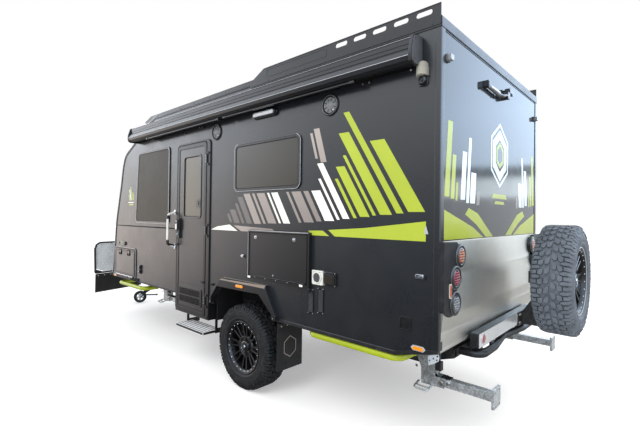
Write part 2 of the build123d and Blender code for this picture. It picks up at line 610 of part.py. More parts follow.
def rim_solid():
    """Six-stud alloy rim, dished toward +y."""
    W = TYRE_W / 2
    barrel = [(BEAD_R + 12, -W + 26), (BEAD_R + 12, -W + 18), (BEAD_R - 8, -W + 18), (BEAD_R - 14, -W + 60),
              (208, -30), (214, 40), (BEAD_R - 16, W - 44), (BEAD_R - 8, W - 18), (BEAD_R + 14, W - 18),
              (BEAD_R + 14, W - 25), (BEAD_R - 0.5, W - 26), (BEAD_R - 0.5, W - 50), (222, 40), (216, -30),
              (BEAD_R - 0.5, -W + 62), (BEAD_R - 0.5, -W + 26)]
    b = revolve(make_face(Polyline(*barrel, close=True)), axis=Axis.Y)
    disc = revolve(make_face(Polyline((56, 37), (96, 37), (110, 56), (226, W - 50), (226, W - 32), (100, 91), (92, 79),
                                      (56, 79), close=True)), axis=Axis.Y)
    for k in range(8):
        win = Polyline((120, -20), (120, 20), (200, 52), (204, 0), (200, -52), close=True)
        cut = extrude(Plane.XZ * fillet(make_face(win).vertices(), 8), amount=-200)
        disc -= Rot(0, 45 * k, 0) * cut
    for k in range(6):
        a = math.radians(60 * k + 30)
        disc -= Pos(70 * math.cos(a), 60, 70 * math.sin(a)) * Rot(90, 0, 0) * Cylinder(7.5, 120)
    cap = Pos(0, 72, 0) * Rot(90, 0, 0) * Cylinder(55.9, 40)
    return b + disc, cap


tyre = tyre_solid()
rim, cap = rim_solid()
drum = Pos(0, -35, 0) * Rot(90, 0, 0) * (Cylinder(150, 96) - Pos(0, 0, -30) * Cylinder(42, 90))
drum = Pos(0, -33, 0) * Rot(90, 0, 0) * Cylinder(150, 94)
drum = drum - Pos(0, -60, 0) * Rot(90, 0, 0) * Cylinder(37, 90)
WCY = WHEEL_OUT_Y - TYRE_W / 2
hubset = rim + cap + (Pos(0, 25, 0) * Rot(90, 0, 0) * Cylinder(92, 26))
left_rim = Pos(AXLE_X, WCY, TYRE_R) * (hubset + drum)
left_tyre = Pos(AXLE_X, WCY, TYRE_R) * tyre
save("left_wheel_rim", left_rim)
save("left_tyre", left_tyre)
save("right_wheel_rim", mir(left_rim))
save("right_tyre", mir(left_tyre))

to_rear = Pos(SPARE_X, 0, SPARE_Z) * Rot(0, 0, 90)
spare_rim = to_rear * (rim + cap)
save("spare_wheel_rim", spare_rim)
save("spare_tyre", to_rear * tyre)

# ---------------------------------------------------------------- toolbox
tb_out = [(5205, 755), (5205, 1180), (5650, 1180), (5760, 1090), (5760, 755)]
tb = ext_xz(face_of(tb_out), -610, 610)
tb -= ext_xz(face_of([(5213, 763), (5213, 1200), (5642, 1200), (5642, 1176), (5752, 1086), (5752, 763)]), -602, 602)
save("toolbox", tb)
lid = ext_xz(face_of([(5197, 1187), (5197, 1205), (5668, 1205), (5668, 1187)]), -620, 620)
lid += cyl_y(5192, -560, 560, 1196, 6)
save("toolbox_lid", lid)

# gas cylinders on the drawbar
prof = [(0, 775), (128, 775), (128, 790), (150, 810), (150, 1080), (120, 1115), (60, 1128), (60, 1180), (0, 1180)]
btl = revolve(Plane.XZ * make_face(Polyline(*prof, close=True)), axis=Axis.Z)
btl -= cyl_z(0, 0, 760, 1070, 141)
save("gas_cylinders", many(Pos(5955, 168, 0) * btl, Pos(5955, -168, 0) * btl))

# ---------------------------------------------------------------- stone guard
SG_XC, SG_XO, SG_YO = 6210.0, 5890.0, 1075.0
sg_t = 15.0


def sgp(y, z):
    t = abs(y) / SG_YO
    return (SG_XC + (SG_XO - SG_XC) * t, y, z)


fr_pts = [sgp(34, 776), sgp(34, 1190), sgp(1020, 1190), sgp(1078, 1158), sgp(1102, 1094), sgp(1090, 702),
          sgp(252, 702), sgp(252, 776)]
wing = tube(fr_pts, sg_t, 28, closed=True)
wing += cyl_between(sgp(560, 702), sgp(560, 1190), 11)
guard_frame = wing + mir(wing)
guard_frame += slab(SG_XC - 12, SG_XC + 12, -40, 40, 1174, 1206) + slab(SG_XC - 12, SG_XC + 12, -40, 40, 764, 792)
for s_ in (1, -1):
    guard_frame += slab(sgp(185, 0)[0] - 22, sgp(185, 0)[0] + 12, s_ * 166, s_ * 206, 750, 764)


def sheet(poly, t, back=0.0, r=0.0):
    """Flat sheet standing in the plane of a wing, given as (y, z)."""
    ang = math.degrees(math.atan2(SG_XC - SG_XO, SG_YO))
    k = math.hypot(SG_XC - SG_XO, SG_YO) / SG_YO
    f = make_face(Polyline(*[(y * k, z) for y, z in poly], close=True))
    if r:
        f = fillet(f.vertices(), r)
    s = extrude(Plane.YZ * f, amount=t / 2, both=True)
    return Pos(SG_XC + back, 0, 0) * Rot(0, 0, ang) * s


mesh = sheet([(52, 794), (52, 1172), (1014, 1172), (1064, 1144), (1083, 1090), (1075, 766), (950, 720),
              (270, 720), (270, 794)], 3, r=14)
skirt = sheet([(246, 385), (246, 683), (1088, 683), (1088, 385)], 5)
mesh -= cyl_between(sgp(560, 600), sgp(560, 1260), 14)
# corner gussets at the foot of the wings
gus = sheet([(935, 704), (1080, 758), (1092, 758), (1092, 704)], 5)
guard_frame += gus + mir(gus)
save("stone_guard_frame", guard_frame)
save("stone_guard_mesh", both(mesh))
save("stone_guard_skirt", both(skirt))

# ---------------------------------------------------------------- roof equipment
ac = slab(1150, 1930, -330, 330, ROOF_Z, ROOF_Z + 175)
ac = chamfer(ac.faces().sort_by(Axis.Z)[-1].edges(), 60)
save("air_conditioner", ac)
def solar(x0, x1, y0, y1):
    """Framed panel on two cross feet."""
    p = slab(x0, x1, y0, y1, ROOF_Z + 22, ROOF_Z + 57)
    p -= slab(x0 + 25, x1 - 25, y0 + 25, y1 - 25, ROOF_Z + 15, ROOF_Z + 51)
    for fx in (x0 + 90, x1 - 90):
        p += slab(fx - 30, fx + 30, y0 + 8, y1 - 8, ROOF_Z, ROOF_Z + 22)
    return p


save("solar_panels", many(solar(2760, 3740, 90, 760), solar(2760, 3740, -760, -90), solar(220, 900, -500, 500)))
hl = slab(HATCH_X - h2 - 22, HATCH_X + h2 + 22, -h2 - 22, h2 + 22, ROOF_Z + 31, ROOF_Z + 66)
hl = chamfer(hl.faces().sort_by(Axis.Z)[-1].edges(), 14)
for s in (1, -1):
    hl += cyl_y(RH_HINGE[0], s * 131, s * 171, RH_HINGE[1], 6)
    hl += slab(HATCH_X + h2 + 18, RH_HINGE[0], s * 131, s * 171, RH_HINGE[1] - 6, RH_HINGE[1] + 2)
save("roof_hatch_lid", hl)

# ---------------------------------------------------------------- corner steadies
def steady_bracket(px, d):
    """Bracket on the outer face of a rail. d is the way the stowed arm points."""
    inner = ext_xz(face_of([(px - d * 40, 745), (px - d * 210, 745), (px - d * 150, 600), (px - d * 150, 492),
                            (px - d * 44, 492), (px - d * 44, 560)]), RAIL_OUT, RAIL_OUT + 8)
    outer = Pos(0, 76, 0) * inner
    rear = slab(px - d * 52, px - d * 44, RAIL_OUT, RAIL_OUT + 84, 492, 596)
    # cheeks that carry the pivot pin
    ck = slab(px - d * 52, px + d * 22, STEADY_Y - 40, STEADY_Y - 34, STEADY_PIVOT_Z - 34, STEADY_PIVOT_Z + 34)
    ck += slab(px - d * 52, px + d * 22, STEADY_Y + 34, STEADY_Y + 40, STEADY_PIVOT_Z - 34, STEADY_PIVOT_Z + 34)
    pin = cyl_y(px, STEADY_Y - 43, STEADY_Y + 43, STEADY_PIVOT_Z, 9)
    # release handle below the bracket
    loop = tube([(px - d * 66, 795, 500), (px - d * 66, 838, 486), (px - d * 166, 838, 486), (px - d * 166, 795, 500)],
                6, 16)
    foot_bar = slab(px - d * 60, px - d * 150, RAIL_OUT + 8, RAIL_OUT + 76, 492, 498)
    return inner + outer + rear + ck + pin + loop + foot_bar


def steady_arm(px, d):
    a = slab(px - d * 24, px + d * 341, STEADY_Y - 28, STEADY_Y + 28, STEADY_PIVOT_Z - 28, STEADY_PIVOT_Z + 28)
    a -= cyl_y(px, STEADY_Y - 60, STEADY_Y + 60, STEADY_PIVOT_Z, 9.06)
    a += slab(px + d * 341, px + d * 359, STEADY_Y - 60, STEADY_Y + 60, STEADY_PIVOT_Z - 62, STEADY_PIVOT_Z + 62)
    return a


br = many(steady_bracket(STEADY_REAR_X, -1), steady_bracket(STEADY_FRONT_X, -1))
save("steady_brackets", both(br))
ra, fa = steady_arm(STEADY_REAR_X, -1), steady_arm(STEADY_FRONT_X, -1)
save("rear_left_steady", ra)
save("rear_right_steady", mir(ra))
save("front_left_steady", fa)
save("front_right_steady", mir(fa))

# ---------------------------------------------------------------- jockey wheel
jt = cyl_z(JOCKEY_X, JOCKEY_Y, 440, 900, 30)
# clamp plate against the cross plate between the drawbar members
jt += slab(6285.2, 6300, -58, 58, 634, 742)
jt -= cyl_z(JOCKEY_X, JOCKEY_Y, 430, 885, 24.08)
jt += cyl_z(JOCKEY_X, JOCKEY_Y, 898, 926, 22)
jt += tube([(JOCKEY_X, JOCKEY_Y, 915), (JOCKEY_X + 120, JOCKEY_Y, 915), (JOCKEY_X + 120, JOCKEY_Y, 975)], 7, 20)
save("jockey_tube", jt)
save("jockey_leg", cyl_z(JOCKEY_X, JOCKEY_Y, 276, 660, 24) + cyl_z(JOCKEY_X, JOCKEY_Y, 255, 277, 12))
# one-sided trailing arm, drawn along x from the swivel axis and then turned
park = Pos(JOCKEY_X, JOCKEY_Y, 0) * Rot(0, 0, JOCKEY_TURN)
JT, JR = JOCKEY_TRAIL, JOCKEY_R
fork = cyl_z(0, 0, 258, 270, 44)
fork += slab(-30, 62, -58, 40, 258, 266)
cheek = [(-30, 264), (62, 264), (JT + 26, JR + 24), (JT + 26, JR - 20), (JT - 24, JR - 20), (JT - 40, JR + 20), (-30, 232)]
fork += ext_xz(face_of(cheek), -58, -50)
fork += cyl_y(JT, -62, 44, JR, 9)
fork += slab(-118, JT - 30, -66, -58, JR + 8, JR + 32)
fork += slab(-130, -112, -84, -58, JR + 6, JR + 34)
fork -= cyl_z(0, 0, 240, 280, 12.06)
save("jockey_fork", park * fork)
jw = cyl_y(JT, -36, 36, JR, JR)
jw = fillet(jw.edges(), 18)
jw -= cyl_y(JT, -60, 60, JR, 9.06)
save("jockey_wheel", park * jw)
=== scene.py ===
import bpy
import bmesh
import json
import math
import random
from mathutils import Vector, Matrix

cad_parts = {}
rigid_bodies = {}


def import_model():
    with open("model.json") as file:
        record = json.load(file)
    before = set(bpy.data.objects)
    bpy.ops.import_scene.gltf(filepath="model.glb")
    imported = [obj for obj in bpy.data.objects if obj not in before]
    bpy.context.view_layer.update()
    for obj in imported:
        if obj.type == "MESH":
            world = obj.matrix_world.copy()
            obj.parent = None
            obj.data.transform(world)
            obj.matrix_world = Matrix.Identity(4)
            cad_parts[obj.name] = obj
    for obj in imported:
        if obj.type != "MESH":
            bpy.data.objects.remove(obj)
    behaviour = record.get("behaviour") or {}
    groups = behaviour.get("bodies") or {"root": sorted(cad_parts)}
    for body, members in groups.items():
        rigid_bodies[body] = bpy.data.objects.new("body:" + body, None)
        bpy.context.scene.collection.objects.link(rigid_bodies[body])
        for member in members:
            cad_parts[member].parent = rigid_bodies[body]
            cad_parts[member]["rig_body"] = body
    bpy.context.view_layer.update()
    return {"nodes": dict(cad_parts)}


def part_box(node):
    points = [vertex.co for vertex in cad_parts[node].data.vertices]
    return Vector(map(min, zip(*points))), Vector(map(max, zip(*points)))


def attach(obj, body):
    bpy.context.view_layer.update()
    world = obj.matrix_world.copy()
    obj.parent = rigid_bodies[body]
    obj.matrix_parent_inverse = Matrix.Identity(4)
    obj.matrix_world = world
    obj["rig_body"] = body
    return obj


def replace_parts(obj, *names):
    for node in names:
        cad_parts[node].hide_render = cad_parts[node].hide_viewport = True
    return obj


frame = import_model()
NODES = frame["nodes"]
_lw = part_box("left_wall")
OX = _lw[0].x                      # rear skin
OY = _lw[1].y - 1.093              # centre plane
W = 1093.0                         # half width over the side skins, mm


def P(x, y, z):
    """Working millimetres (x from the rear skin, y from the centre plane, z from the floor) to the frame."""
    return Vector((OX + x / 1000.0, OY + y / 1000.0, z / 1000.0))


# ------------------------------------------------------------------ mesh helpers
class M:
    def __init__(self, at=None):
        self.bm = bmesh.new()
        self.m = 0
        self.mats = []
        self.at = at                   # places local points in working millimetres

    def mat(self, material):
        if material not in self.mats:
            self.mats.append(material)
        self.m = self.mats.index(material)
        return self

    def v(self, p):
        return self.bm.verts.new(P(*(self.at(p) if self.at else p)))

    def f(self, vs):
        try:
            f = self.bm.faces.new(vs)
        except ValueError:
            return None
        f.material_index = self.m
        return f

    def box(self, x0, x1, y0, y1, z0, z1):
        c = [self.v((x, y, z)) for x in (x0, x1) for y in (y0, y1) for z in (z0, z1)]
        for q in ((0, 1, 3, 2), (4, 6, 7, 5), (0, 4, 5, 1), (2, 3, 7, 6), (0, 2, 6, 4), (1, 5, 7, 3)):
            self.f([c[i] for i in q])
        return self

    def loft(self, rings, close=True, caps=True):
        vs = [[self.v(p) for p in r] for r in rings]
        n = len(vs[0])
        for a, b in zip(vs, vs[1:]):
            for i in range(n if close else n - 1):
                j = (i + 1) % n
                self.f([a[i], a[j], b[j], b[i]])
        if caps:
            self.f(list(reversed(vs[0])))
            self.f(vs[-1])
        return vs

    def prism(self, pts, axis, a, b):
        def at(p, t):
            return {"x": (t, p[0], p[1]), "y": (p[0], t, p[1]), "z": (p[0], p[1], t)}[axis]
        self.loft([[at(p, a) for p in pts], [at(p, b) for p in pts]])
        return self

    def ring(self, outer, inner, axis, a, b):
        """Flat ring between two outlines of equal count, from a to b along axis."""
        def at(p, t):
            return {"x": (t, p[0], p[1]), "y": (p[0], t, p[1]), "z": (p[0], p[1], t)}[axis]
        n = len(outer)
        o0, o1 = [self.v(at(p, a)) for p in outer], [self.v(at(p, b)) for p in outer]
        i0, i1 = [self.v(at(p, a)) for p in inner], [self.v(at(p, b)) for p in inner]
        for k in range(n):
            j = (k + 1) % n
            self.f([o0[k], o0[j], o1[j], o1[k]])
            self.f([i0[j], i0[k], i1[k], i1[j]])
            self.f([o1[k], o1[j], i1[j], i1[k]])
            self.f([o0[j], o0[k], i0[k], i0[j]])
        return self

    def cyl(self, p, q, r, n=24, r2=None, caps=True):
        p, q = Vector(p), Vector(q)
        d = (q - p).normalized()
        u = d.orthogonal().normalized()
        w = d.cross(u)
        r2 = r if r2 is None else r2
        rings = []
        for c, rr in ((p, r), (q, r2)):
            rings.append([tuple(c + (u * math.cos(2 * math.pi * k / n) + w * math.sin(2 * math.pi * k / n)) * rr)
                          for k in range(n)])
        self.loft(rings, caps=caps)
        return self

    def tube(self, pts, r, n=12, closed=False):
        pts = [Vector(p) for p in pts]
        m = len(pts)
        t = []
        for i in range(m):
            a = pts[i - 1] if (i or closed) else pts[i]
            b = pts[(i + 1) % m] if (i < m - 1 or closed) else pts[i]
            t.append((b - a).normalized())
        u = t[0].orthogonal().normalized()
        rings = []
        for i in range(m):
            u = (u - t[i] * u.dot(t[i])).normalized()
            w = t[i].cross(u)
            rings.append([tuple(pts[i] + (u * math.cos(2 * math.pi * k / n) + w * math.sin(2 * math.pi * k / n)) * r)
                          for k in range(n)])
        if closed:
            self.loft(rings + [rings[0]], caps=False)
        else:
            self.loft(rings)
        return self

    def lathe(self, prof, c, axis, n=64, closed=False):
        """prof: (radius, along axis) pairs, turned about an axis through c."""
        rings = []
        for r, t in prof:
            ring = []
            for k in range(n):
                a = 2 * math.pi * k / n
                if axis == "y":
                    ring.append((c[0] + r * math.cos(a), c[1] + t, c[2] - r * math.sin(a)))
                elif axis == "x":
                    ring.append((c[0] + t, c[1] + r * math.cos(a), c[2] + r * math.sin(a)))
                else:
                    ring.append((c[0] + r * math.cos(a), c[1] + r * math.sin(a), c[2] + t))
            rings.append(ring)
        if closed:
            rings.append(rings[0])
        self.loft(rings, caps=not closed)
        return self

    def hexhead(self, p, d, r=6.5, h=5.0):
        p, d = Vector(p), Vector(d).normalized()
        self.cyl(p, p + d * 1.2, r * 1.45, 16)
        self.cyl(p + d * 1.2, p + d * (1.2 + h), r, 6)
        return self

    def screw(self, p, d, r=5.0, h=2.2):
        p, d = Vector(p), Vector(d).normalized()
        self.cyl(p, p + d * h * 0.5, r, 16)
        self.cyl(p + d * h * 0.5, p + d * h, r, 16, r2=r * 0.55)
        return self

    def done(self, name, body="caravan", bevel=0.0, seg=2, angle=34, slot=None, replaces=(), weld=True, wn=True):
        bm = self.bm
        if weld:
            bmesh.ops.remove_doubles(bm, verts=bm.verts, dist=1e-5)
        bmesh.ops.recalc_face_normals(bm, faces=bm.faces)
        if bevel:
            edges = [e for e in bm.edges if len(e.link_faces) == 2 and e.calc_face_angle(0) > math.radians(angle)]
            bmesh.ops.bevel(bm, geom=edges, offset=bevel / 1000.0, segments=seg, profile=0.5, affect="EDGES",
                            clamp_overlap=True, miter_outer="ARC")
        me = bpy.data.meshes.new(name)
        bm.to_mesh(me)
        bm.free()
        for m in self.mats:
            me.materials.append(m)
        ob = bpy.data.objects.new(name, me)
        bpy.context.scene.collection.objects.link(ob)
        me.shade_smooth()
        me.set_sharp_from_angle(angle=math.radians(angle))
        if bevel and wn:
            mod = ob.modifiers.new("wn", "WEIGHTED_NORMAL")
            mod.keep_sharp = True
        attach(ob, body)
        if replaces:
            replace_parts(ob, *replaces)
        return ob


def rrect(x0, x1, z0, z1, r, n=6):
    pts = []
    for cx, cz, a0 in ((x1 - r, z1 - r, 0), (x0 + r, z1 - r, 90), (x0 + r, z0 + r, 180), (x1 - r, z0 + r, 270)):
        for k in range(n + 1):
            a = math.radians(a0 + 90 * k / n)
            pts.append((cx + r * math.cos(a), cz + r * math.sin(a)))
    return pts


def rpoly(pts, r, n=6):
    """Polygon with rounded corners."""
    out = []
    m = len(pts)
    for i in range(m):
        a, b, c = Vector(pts[i - 1]), Vector(pts[i]), Vector(pts[(i + 1) % m])
        u, w = (a - b).normalized(), (c - b).normalized()
        ang = math.acos(max(-1, min(1, u.dot(w))))
        d = r / math.tan(ang / 2)
        p, q = b + u * d, b + w * d
        cc = b + (u + w).normalized() * (r / math.sin(ang / 2))
        v0, v1 = p - cc, q - cc
        a0 = math.atan2(v0.y, v0.x)
        a1 = math.atan2(v1.y, v1.x)
        da = (a1 - a0 + math.pi) % (2 * math.pi) - math.pi
        for k in range(n + 1):
            t = a0 + da * k / n
            out.append((cc.x + r * math.cos(t), cc.y + r * math.sin(t)))
    return out


def circle(cx, cz, r, n=32):
    return [(cx + r * math.cos(2 * math.pi * k / n), cz + r * math.sin(2 * math.pi * k / n)) for k in range(n)]


def fillet_path(pts, r, n=8):
    pts = [Vector(p) for p in pts]
    out = [pts[0]]
    for i in range(1, len(pts) - 1):
        a, b, c = pts[i - 1], pts[i], pts[i + 1]
        u, w = (a - b).normalized(), (c - b).normalized()
        ang = u.angle(w)
        if abs(ang - math.pi) < 0.02:
            out.append(b)
            continue
        d = min(r / math.tan(ang / 2), (a - b).length * 0.49, (c - b).length * 0.49)
        rr = d * math.tan(ang / 2)
        cc = b + (u + w).normalized() * (rr / math.sin(ang / 2))
        v0, v1 = (b + u * d) - cc, (b + w * d) - cc
        tot = v0.angle(v1)
        for k in range(n + 1):
            t = k / n
            out.append(cc + (v0 * math.sin((1 - t) * tot) + v1 * math.sin(t * tot)) / math.sin(tot))
    out.append(pts[-1])
    return out


def refine(node, mats, bevel=2.0, seg=2, angle=34, dissolve=0.6, name=None):
    """A copy of a CAD node with softened edges, standing for that node."""
    src = NODES[node]
    bm = bmesh.new()
    bm.from_mesh(src.data)
    bmesh.ops.remove_doubles(bm, verts=bm.verts, dist=2e-5)
    bmesh.ops.dissolve_limit(bm, angle_limit=math.radians(dissolve), verts=bm.verts, edges=bm.edges)
    if bevel:
        edges = [e for e in bm.edges if len(e.link_faces) == 2 and e.calc_face_angle(0) > math.radians(angle)]
        bmesh.ops.bevel(bm, geom=edges, offset=bevel / 1000.0, segments=seg, profile=0.5, affect="EDGES",
                        clamp_overlap=True)
    me = bpy.data.meshes.new(name or node + "_finished")
    bm.to_mesh(me)
    bm.free()
    for m in (mats if isinstance(mats, (list, tuple)) else [mats]):
        me.materials.append(m)
    for p in me.polygons:
        p.material_index = 0
    ob = bpy.data.objects.new(name or node + "_finished", me)
    bpy.context.scene.collection.objects.link(ob)
    me.shade_smooth()
    me.set_sharp_from_angle(angle=math.radians(angle))
    mod = ob.modifiers.new("wn", "WEIGHTED_NORMAL")
    mod.keep_sharp = True
    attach(ob, src["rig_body"])
    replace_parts(ob, node)
    return ob


# ------------------------------------------------------------------ material helpers
def lin(c):
    return tuple((x / 255 / 12.92) if x / 255 <= 0.04045 else (((x / 255) + 0.055) / 1.055) ** 2.4 for x in c)


def nmat(name):
    m = bpy.data.materials.new(name)
    m.use_nodes = True
    nt = m.node_tree
    b = nt.nodes["Principled BSDF"]
    tc = nt.nodes.new("ShaderNodeTexCoord")
    return m, nt, b, tc


def noise(nt, tc, scale, detail=4.0, rough=0.55, out="Fac", stretch=None):
    n = nt.nodes.new("ShaderNodeTexNoise")
    n.inputs["Scale"].default_value = scale
    n.inputs["Detail"].default_value = detail
    n.inputs["Roughness"].default_value = rough
    if stretch:
        mp = nt.nodes.new("ShaderNodeMapping")
        mp.inputs["Scale"].default_value = stretch
        nt.links.new(tc.outputs["Object"], mp.inputs["Vector"])
        nt.links.new(mp.outputs["Vector"], n.inputs["Vector"])
    else:
        nt.links.new(tc.outputs["Object"], n.inputs["Vector"])
    return n.outputs[out]


def ramp(nt, fac, stops, interp="LINEAR"):
    r = nt.nodes.new("ShaderNodeValToRGB")
    r.color_ramp.interpolation = interp
    el = r.color_ramp.elements
    while len(el) > 1:
        el.remove(el[-1])
    el[0].position = stops[0][0]
    el[0].color = (*stops[0][1], 1)
    for p, c in stops[1:]:
        e = el.new(p)
        e.color = (*c, 1)
    nt.links.new(fac, r.inputs["Fac"])
    return r.outputs["Color"]


def maprange(nt, val, a, b, c, d, clamp=True):
    n = nt.nodes.new("ShaderNodeMapRange")
    n.clamp = clamp
    for i, x in zip(("From Min", "From Max", "To Min", "To Max"), (a, b, c, d)):
        n.inputs[i].default_value = x
    nt.links.new(val, n.inputs["Value"])
    return n.outputs["Result"]


def mixc(nt, fac, a, b, mode="MIX"):
    n = nt.nodes.new("ShaderNodeMix")
    n.data_type = "RGBA"
    n.blend_type = mode
    for s, x in (("Factor", fac), ("A", a), ("B", b)):
        sock = [i for i in n.inputs if i.name == s and (i.type == ("VALUE" if s == "Factor" else "RGBA"))][0]
        if isinstance(x, (int, float)):
            sock.default_value = x
        elif isinstance(x, tuple):
            sock.default_value = (*x, 1)
        else:
            nt.links.new(x, sock)
    return [o for o in n.outputs if o.type == "RGBA"][0]


def bump(nt, b, height, dist, strength=0.5):
    n = nt.nodes.new("ShaderNodeBump")
    n.inputs["Distance"].default_value = dist
    n.inputs["Strength"].default_value = strength
    nt.links.new(height, n.inputs["Height"])
    nt.links.new(n.outputs["Normal"], b.inputs["Normal"])
    return n


def surface(name, rgb, rough=0.45, metallic=0.0, var=0.10, vscale=3.0, rvar=0.10, rscale=25.0, bscale=300.0,
            bdist=0.0002, bstrength=0.4, coat=0.0, coat_rough=0.08, spec=0.5, dust=0.0, dust_rgb=(120, 112, 100),
            stretch=None, detail=5.0):
    """General finish: mottled colour, uneven gloss and a fine texture."""
    m, nt, b, tc = nmat(name)
    base = lin(rgb)
    n1 = noise(nt, tc, vscale, detail, stretch=stretch)
    lo = tuple(max(0, c * (1 - var)) for c in base)
    hi = tuple(min(1, c * (1 + var)) for c in base)
    colr = ramp(nt, n1, [(0.3, lo), (0.7, hi)])
    if dust:
        n2 = noise(nt, tc, vscale * 4.3, 8.0, 0.65)
        colr = mixc(nt, maprange(nt, n2, 0.45, 0.8, 0.0, dust), colr, lin(dust_rgb))
    nt.links.new(colr, b.inputs["Base Color"])
    n3 = noise(nt, tc, rscale, 5.0, stretch=stretch)
    nt.links.new(maprange(nt, n3, 0.25, 0.75, max(0.02, rough - rvar), min(1, rough + rvar)), b.inputs["Roughness"])
    b.inputs["Metallic"].default_value = metallic
    b.inputs["Coat Weight"].default_value = coat
    b.inputs["Coat Roughness"].default_value = coat_rough
    b.inputs["Specular IOR Level"].default_value = spec
    if bdist:
        bump(nt, b, noise(nt, tc, bscale, 3.0, stretch=stretch), bdist, bstrength)
    return m




# ------------------------------------------------------------------ finishes
def paint_panel(name, rgb, rough, var, flake=0.0, coat=0.6, metallic=0.0, dirt=0.25, spec=0.5):
    """Wall skin: sheet with a satin paint film, faint long waves, fine peel and road dust low down."""
    m, nt, b, tc = nmat(name)
    base = lin(rgb)
    n1 = noise(nt, tc, 0.9, 3.0, 0.5)
    colr = ramp(nt, n1, [(0.3, tuple(c * (1 - var) for c in base)), (0.7, tuple(min(1, c * (1 + var)) for c in base))])
    if flake:
        vo = nt.nodes.new("ShaderNodeTexVoronoi")
        vo.inputs["Scale"].default_value = 900.0
        nt.links.new(tc.outputs["Object"], vo.inputs["Vector"])
        fl = maprange(nt, vo.outputs["Distance"], 0.0, 0.35, flake, 0.0)
        colr = mixc(nt, fl, colr, lin((190, 195, 200)))
    sep = nt.nodes.new("ShaderNodeSeparateXYZ")
    nt.links.new(tc.outputs["Object"], sep.inputs["Vector"])
    low = maprange(nt, sep.outputs["Z"], 0.75, 1.35, dirt, 0.0)
    dn = noise(nt, tc, 7.0, 9.0, 0.62)
    mul = nt.nodes.new("ShaderNodeMath")
    mul.operation = "MULTIPLY"
    nt.links.new(low, mul.inputs[0])
    nt.links.new(maprange(nt, dn, 0.42, 0.75, 0.0, 1.0), mul.inputs[1])
    colr = mixc(nt, mul.outputs[0], colr, lin((96, 92, 86)))
    nt.links.new(colr, b.inputs["Base Color"])
    rn = noise(nt, tc, 4.0, 6.0, 0.6)
    nt.links.new(maprange(nt, rn, 0.3, 0.7, rough - 0.05, rough + 0.07), b.inputs["Roughness"])
    b.inputs["Metallic"].default_value = metallic
    b.inputs["Coat Weight"].default_value = coat
    b.inputs["Coat Roughness"].default_value = 0.16
    b.inputs["Specular IOR Level"].default_value = spec
    wave = noise(nt, tc, 1.7, 2.0, 0.4)
    peel = noise(nt, tc, 420.0, 2.0, 0.5)
    b1 = nt.nodes.new("ShaderNodeBump")
    b1.inputs["Distance"].default_value = 0.004
    b1.inputs["Strength"].default_value = 0.25
    nt.links.new(wave, b1.inputs["Height"])
    b2 = nt.nodes.new("ShaderNodeBump")
    b2.inputs["Distance"].default_value = 0.0001
    b2.inputs["Strength"].default_value = 0.35
    nt.links.new(peel, b2.inputs["Height"])
    nt.links.new(b1.outputs["Normal"], b2.inputs["Normal"])
    nt.links.new(b2.outputs["Normal"], b.inputs["Normal"])
    return m


def brushed(name, rgb, rough=0.3, axis="x", var=0.12, aniso=0.5, strength=0.35):
    """Drawn or brushed metal with its grain along one axis."""
    m, nt, b, tc = nmat(name)
    st = {"x": (1.5, 120.0, 120.0), "y": (120.0, 1.5, 120.0), "z": (120.0, 120.0, 1.5)}[axis]
    g = noise(nt, tc, 6.0, 6.0, 0.7, stretch=st)
    base = lin(rgb)
    c = ramp(nt, g, [(0.3, tuple(x * (1 - var) for x in base)), (0.7, tuple(min(1, x * (1 + var)) for x in base))])
    blot = noise(nt, tc, 5.0, 6.0, 0.6)
    c = mixc(nt, maprange(nt, blot, 0.45, 0.75, 0.0, 0.25), c, tuple(x * 0.72 for x in base))
    nt.links.new(c, b.inputs["Base Color"])
    nt.links.new(maprange(nt, g, 0.25, 0.75, max(0.05, rough - 0.08), rough + 0.12), b.inputs["Roughness"])
    b.inputs["Metallic"].default_value = 1.0
    b.inputs["Anisotropic"].default_value = aniso
    bump(nt, b, g, 0.00006, strength)
    return m


def galvanised(name, rgb=(168, 172, 174), rough=0.42):
    """Zinc spangle over steel."""
    m, nt, b, tc = nmat(name)
    vo = nt.nodes.new("ShaderNodeTexVoronoi")
    vo.inputs["Scale"].default_value = 95.0
    nt.links.new(tc.outputs["Object"], vo.inputs["Vector"])
    bw = nt.nodes.new("ShaderNodeRGBToBW")
    nt.links.new(vo.outputs["Color"], bw.inputs["Color"])
    base = lin(rgb)
    c = ramp(nt, bw.outputs["Val"], [(0.2, tuple(x * 0.72 for x in base)), (0.8, tuple(min(1, x * 1.12) for x in base))])
    d = noise(nt, tc, 14.0, 8.0, 0.65)
    c = mixc(nt, maprange(nt, d, 0.5, 0.8, 0.0, 0.55), c, lin((104, 100, 94)))
    nt.links.new(c, b.inputs["Base Color"])
    nt.links.new(maprange(nt, bw.outputs["Val"], 0.0, 1.0, rough - 0.1, rough + 0.14), b.inputs["Roughness"])
    b.inputs["Metallic"].default_value = 0.85
    bump(nt, b, noise(nt, tc, 160.0, 4.0), 0.0003, 0.4)
    return m


def rubber_mat(name, rgb=(20, 20, 21), dust=0.35, rough=0.74):
    m, nt, b, tc = nmat(name)
    base = lin(rgb)
    n1 = noise(nt, tc, 9.0, 8.0, 0.65)
    c = ramp(nt, n1, [(0.3, tuple(x * 0.75 for x in base)), (0.7, tuple(x * 1.35 for x in base))])
    n2 = noise(nt, tc, 31.0, 9.0, 0.7)
    c = mixc(nt, maprange(nt, n2, 0.5, 0.78, 0.0, dust), c, lin((86, 80, 72)))
    nt.links.new(c, b.inputs["Base Color"])
    nt.links.new(maprange(nt, n2, 0.3, 0.7, rough - 0.12, rough + 0.12), b.inputs["Roughness"])
    b.inputs["Specular IOR Level"].default_value = 0.35
    bump(nt, b, noise(nt, tc, 520.0, 5.0, 0.6), 0.00035, 0.5)
    return m


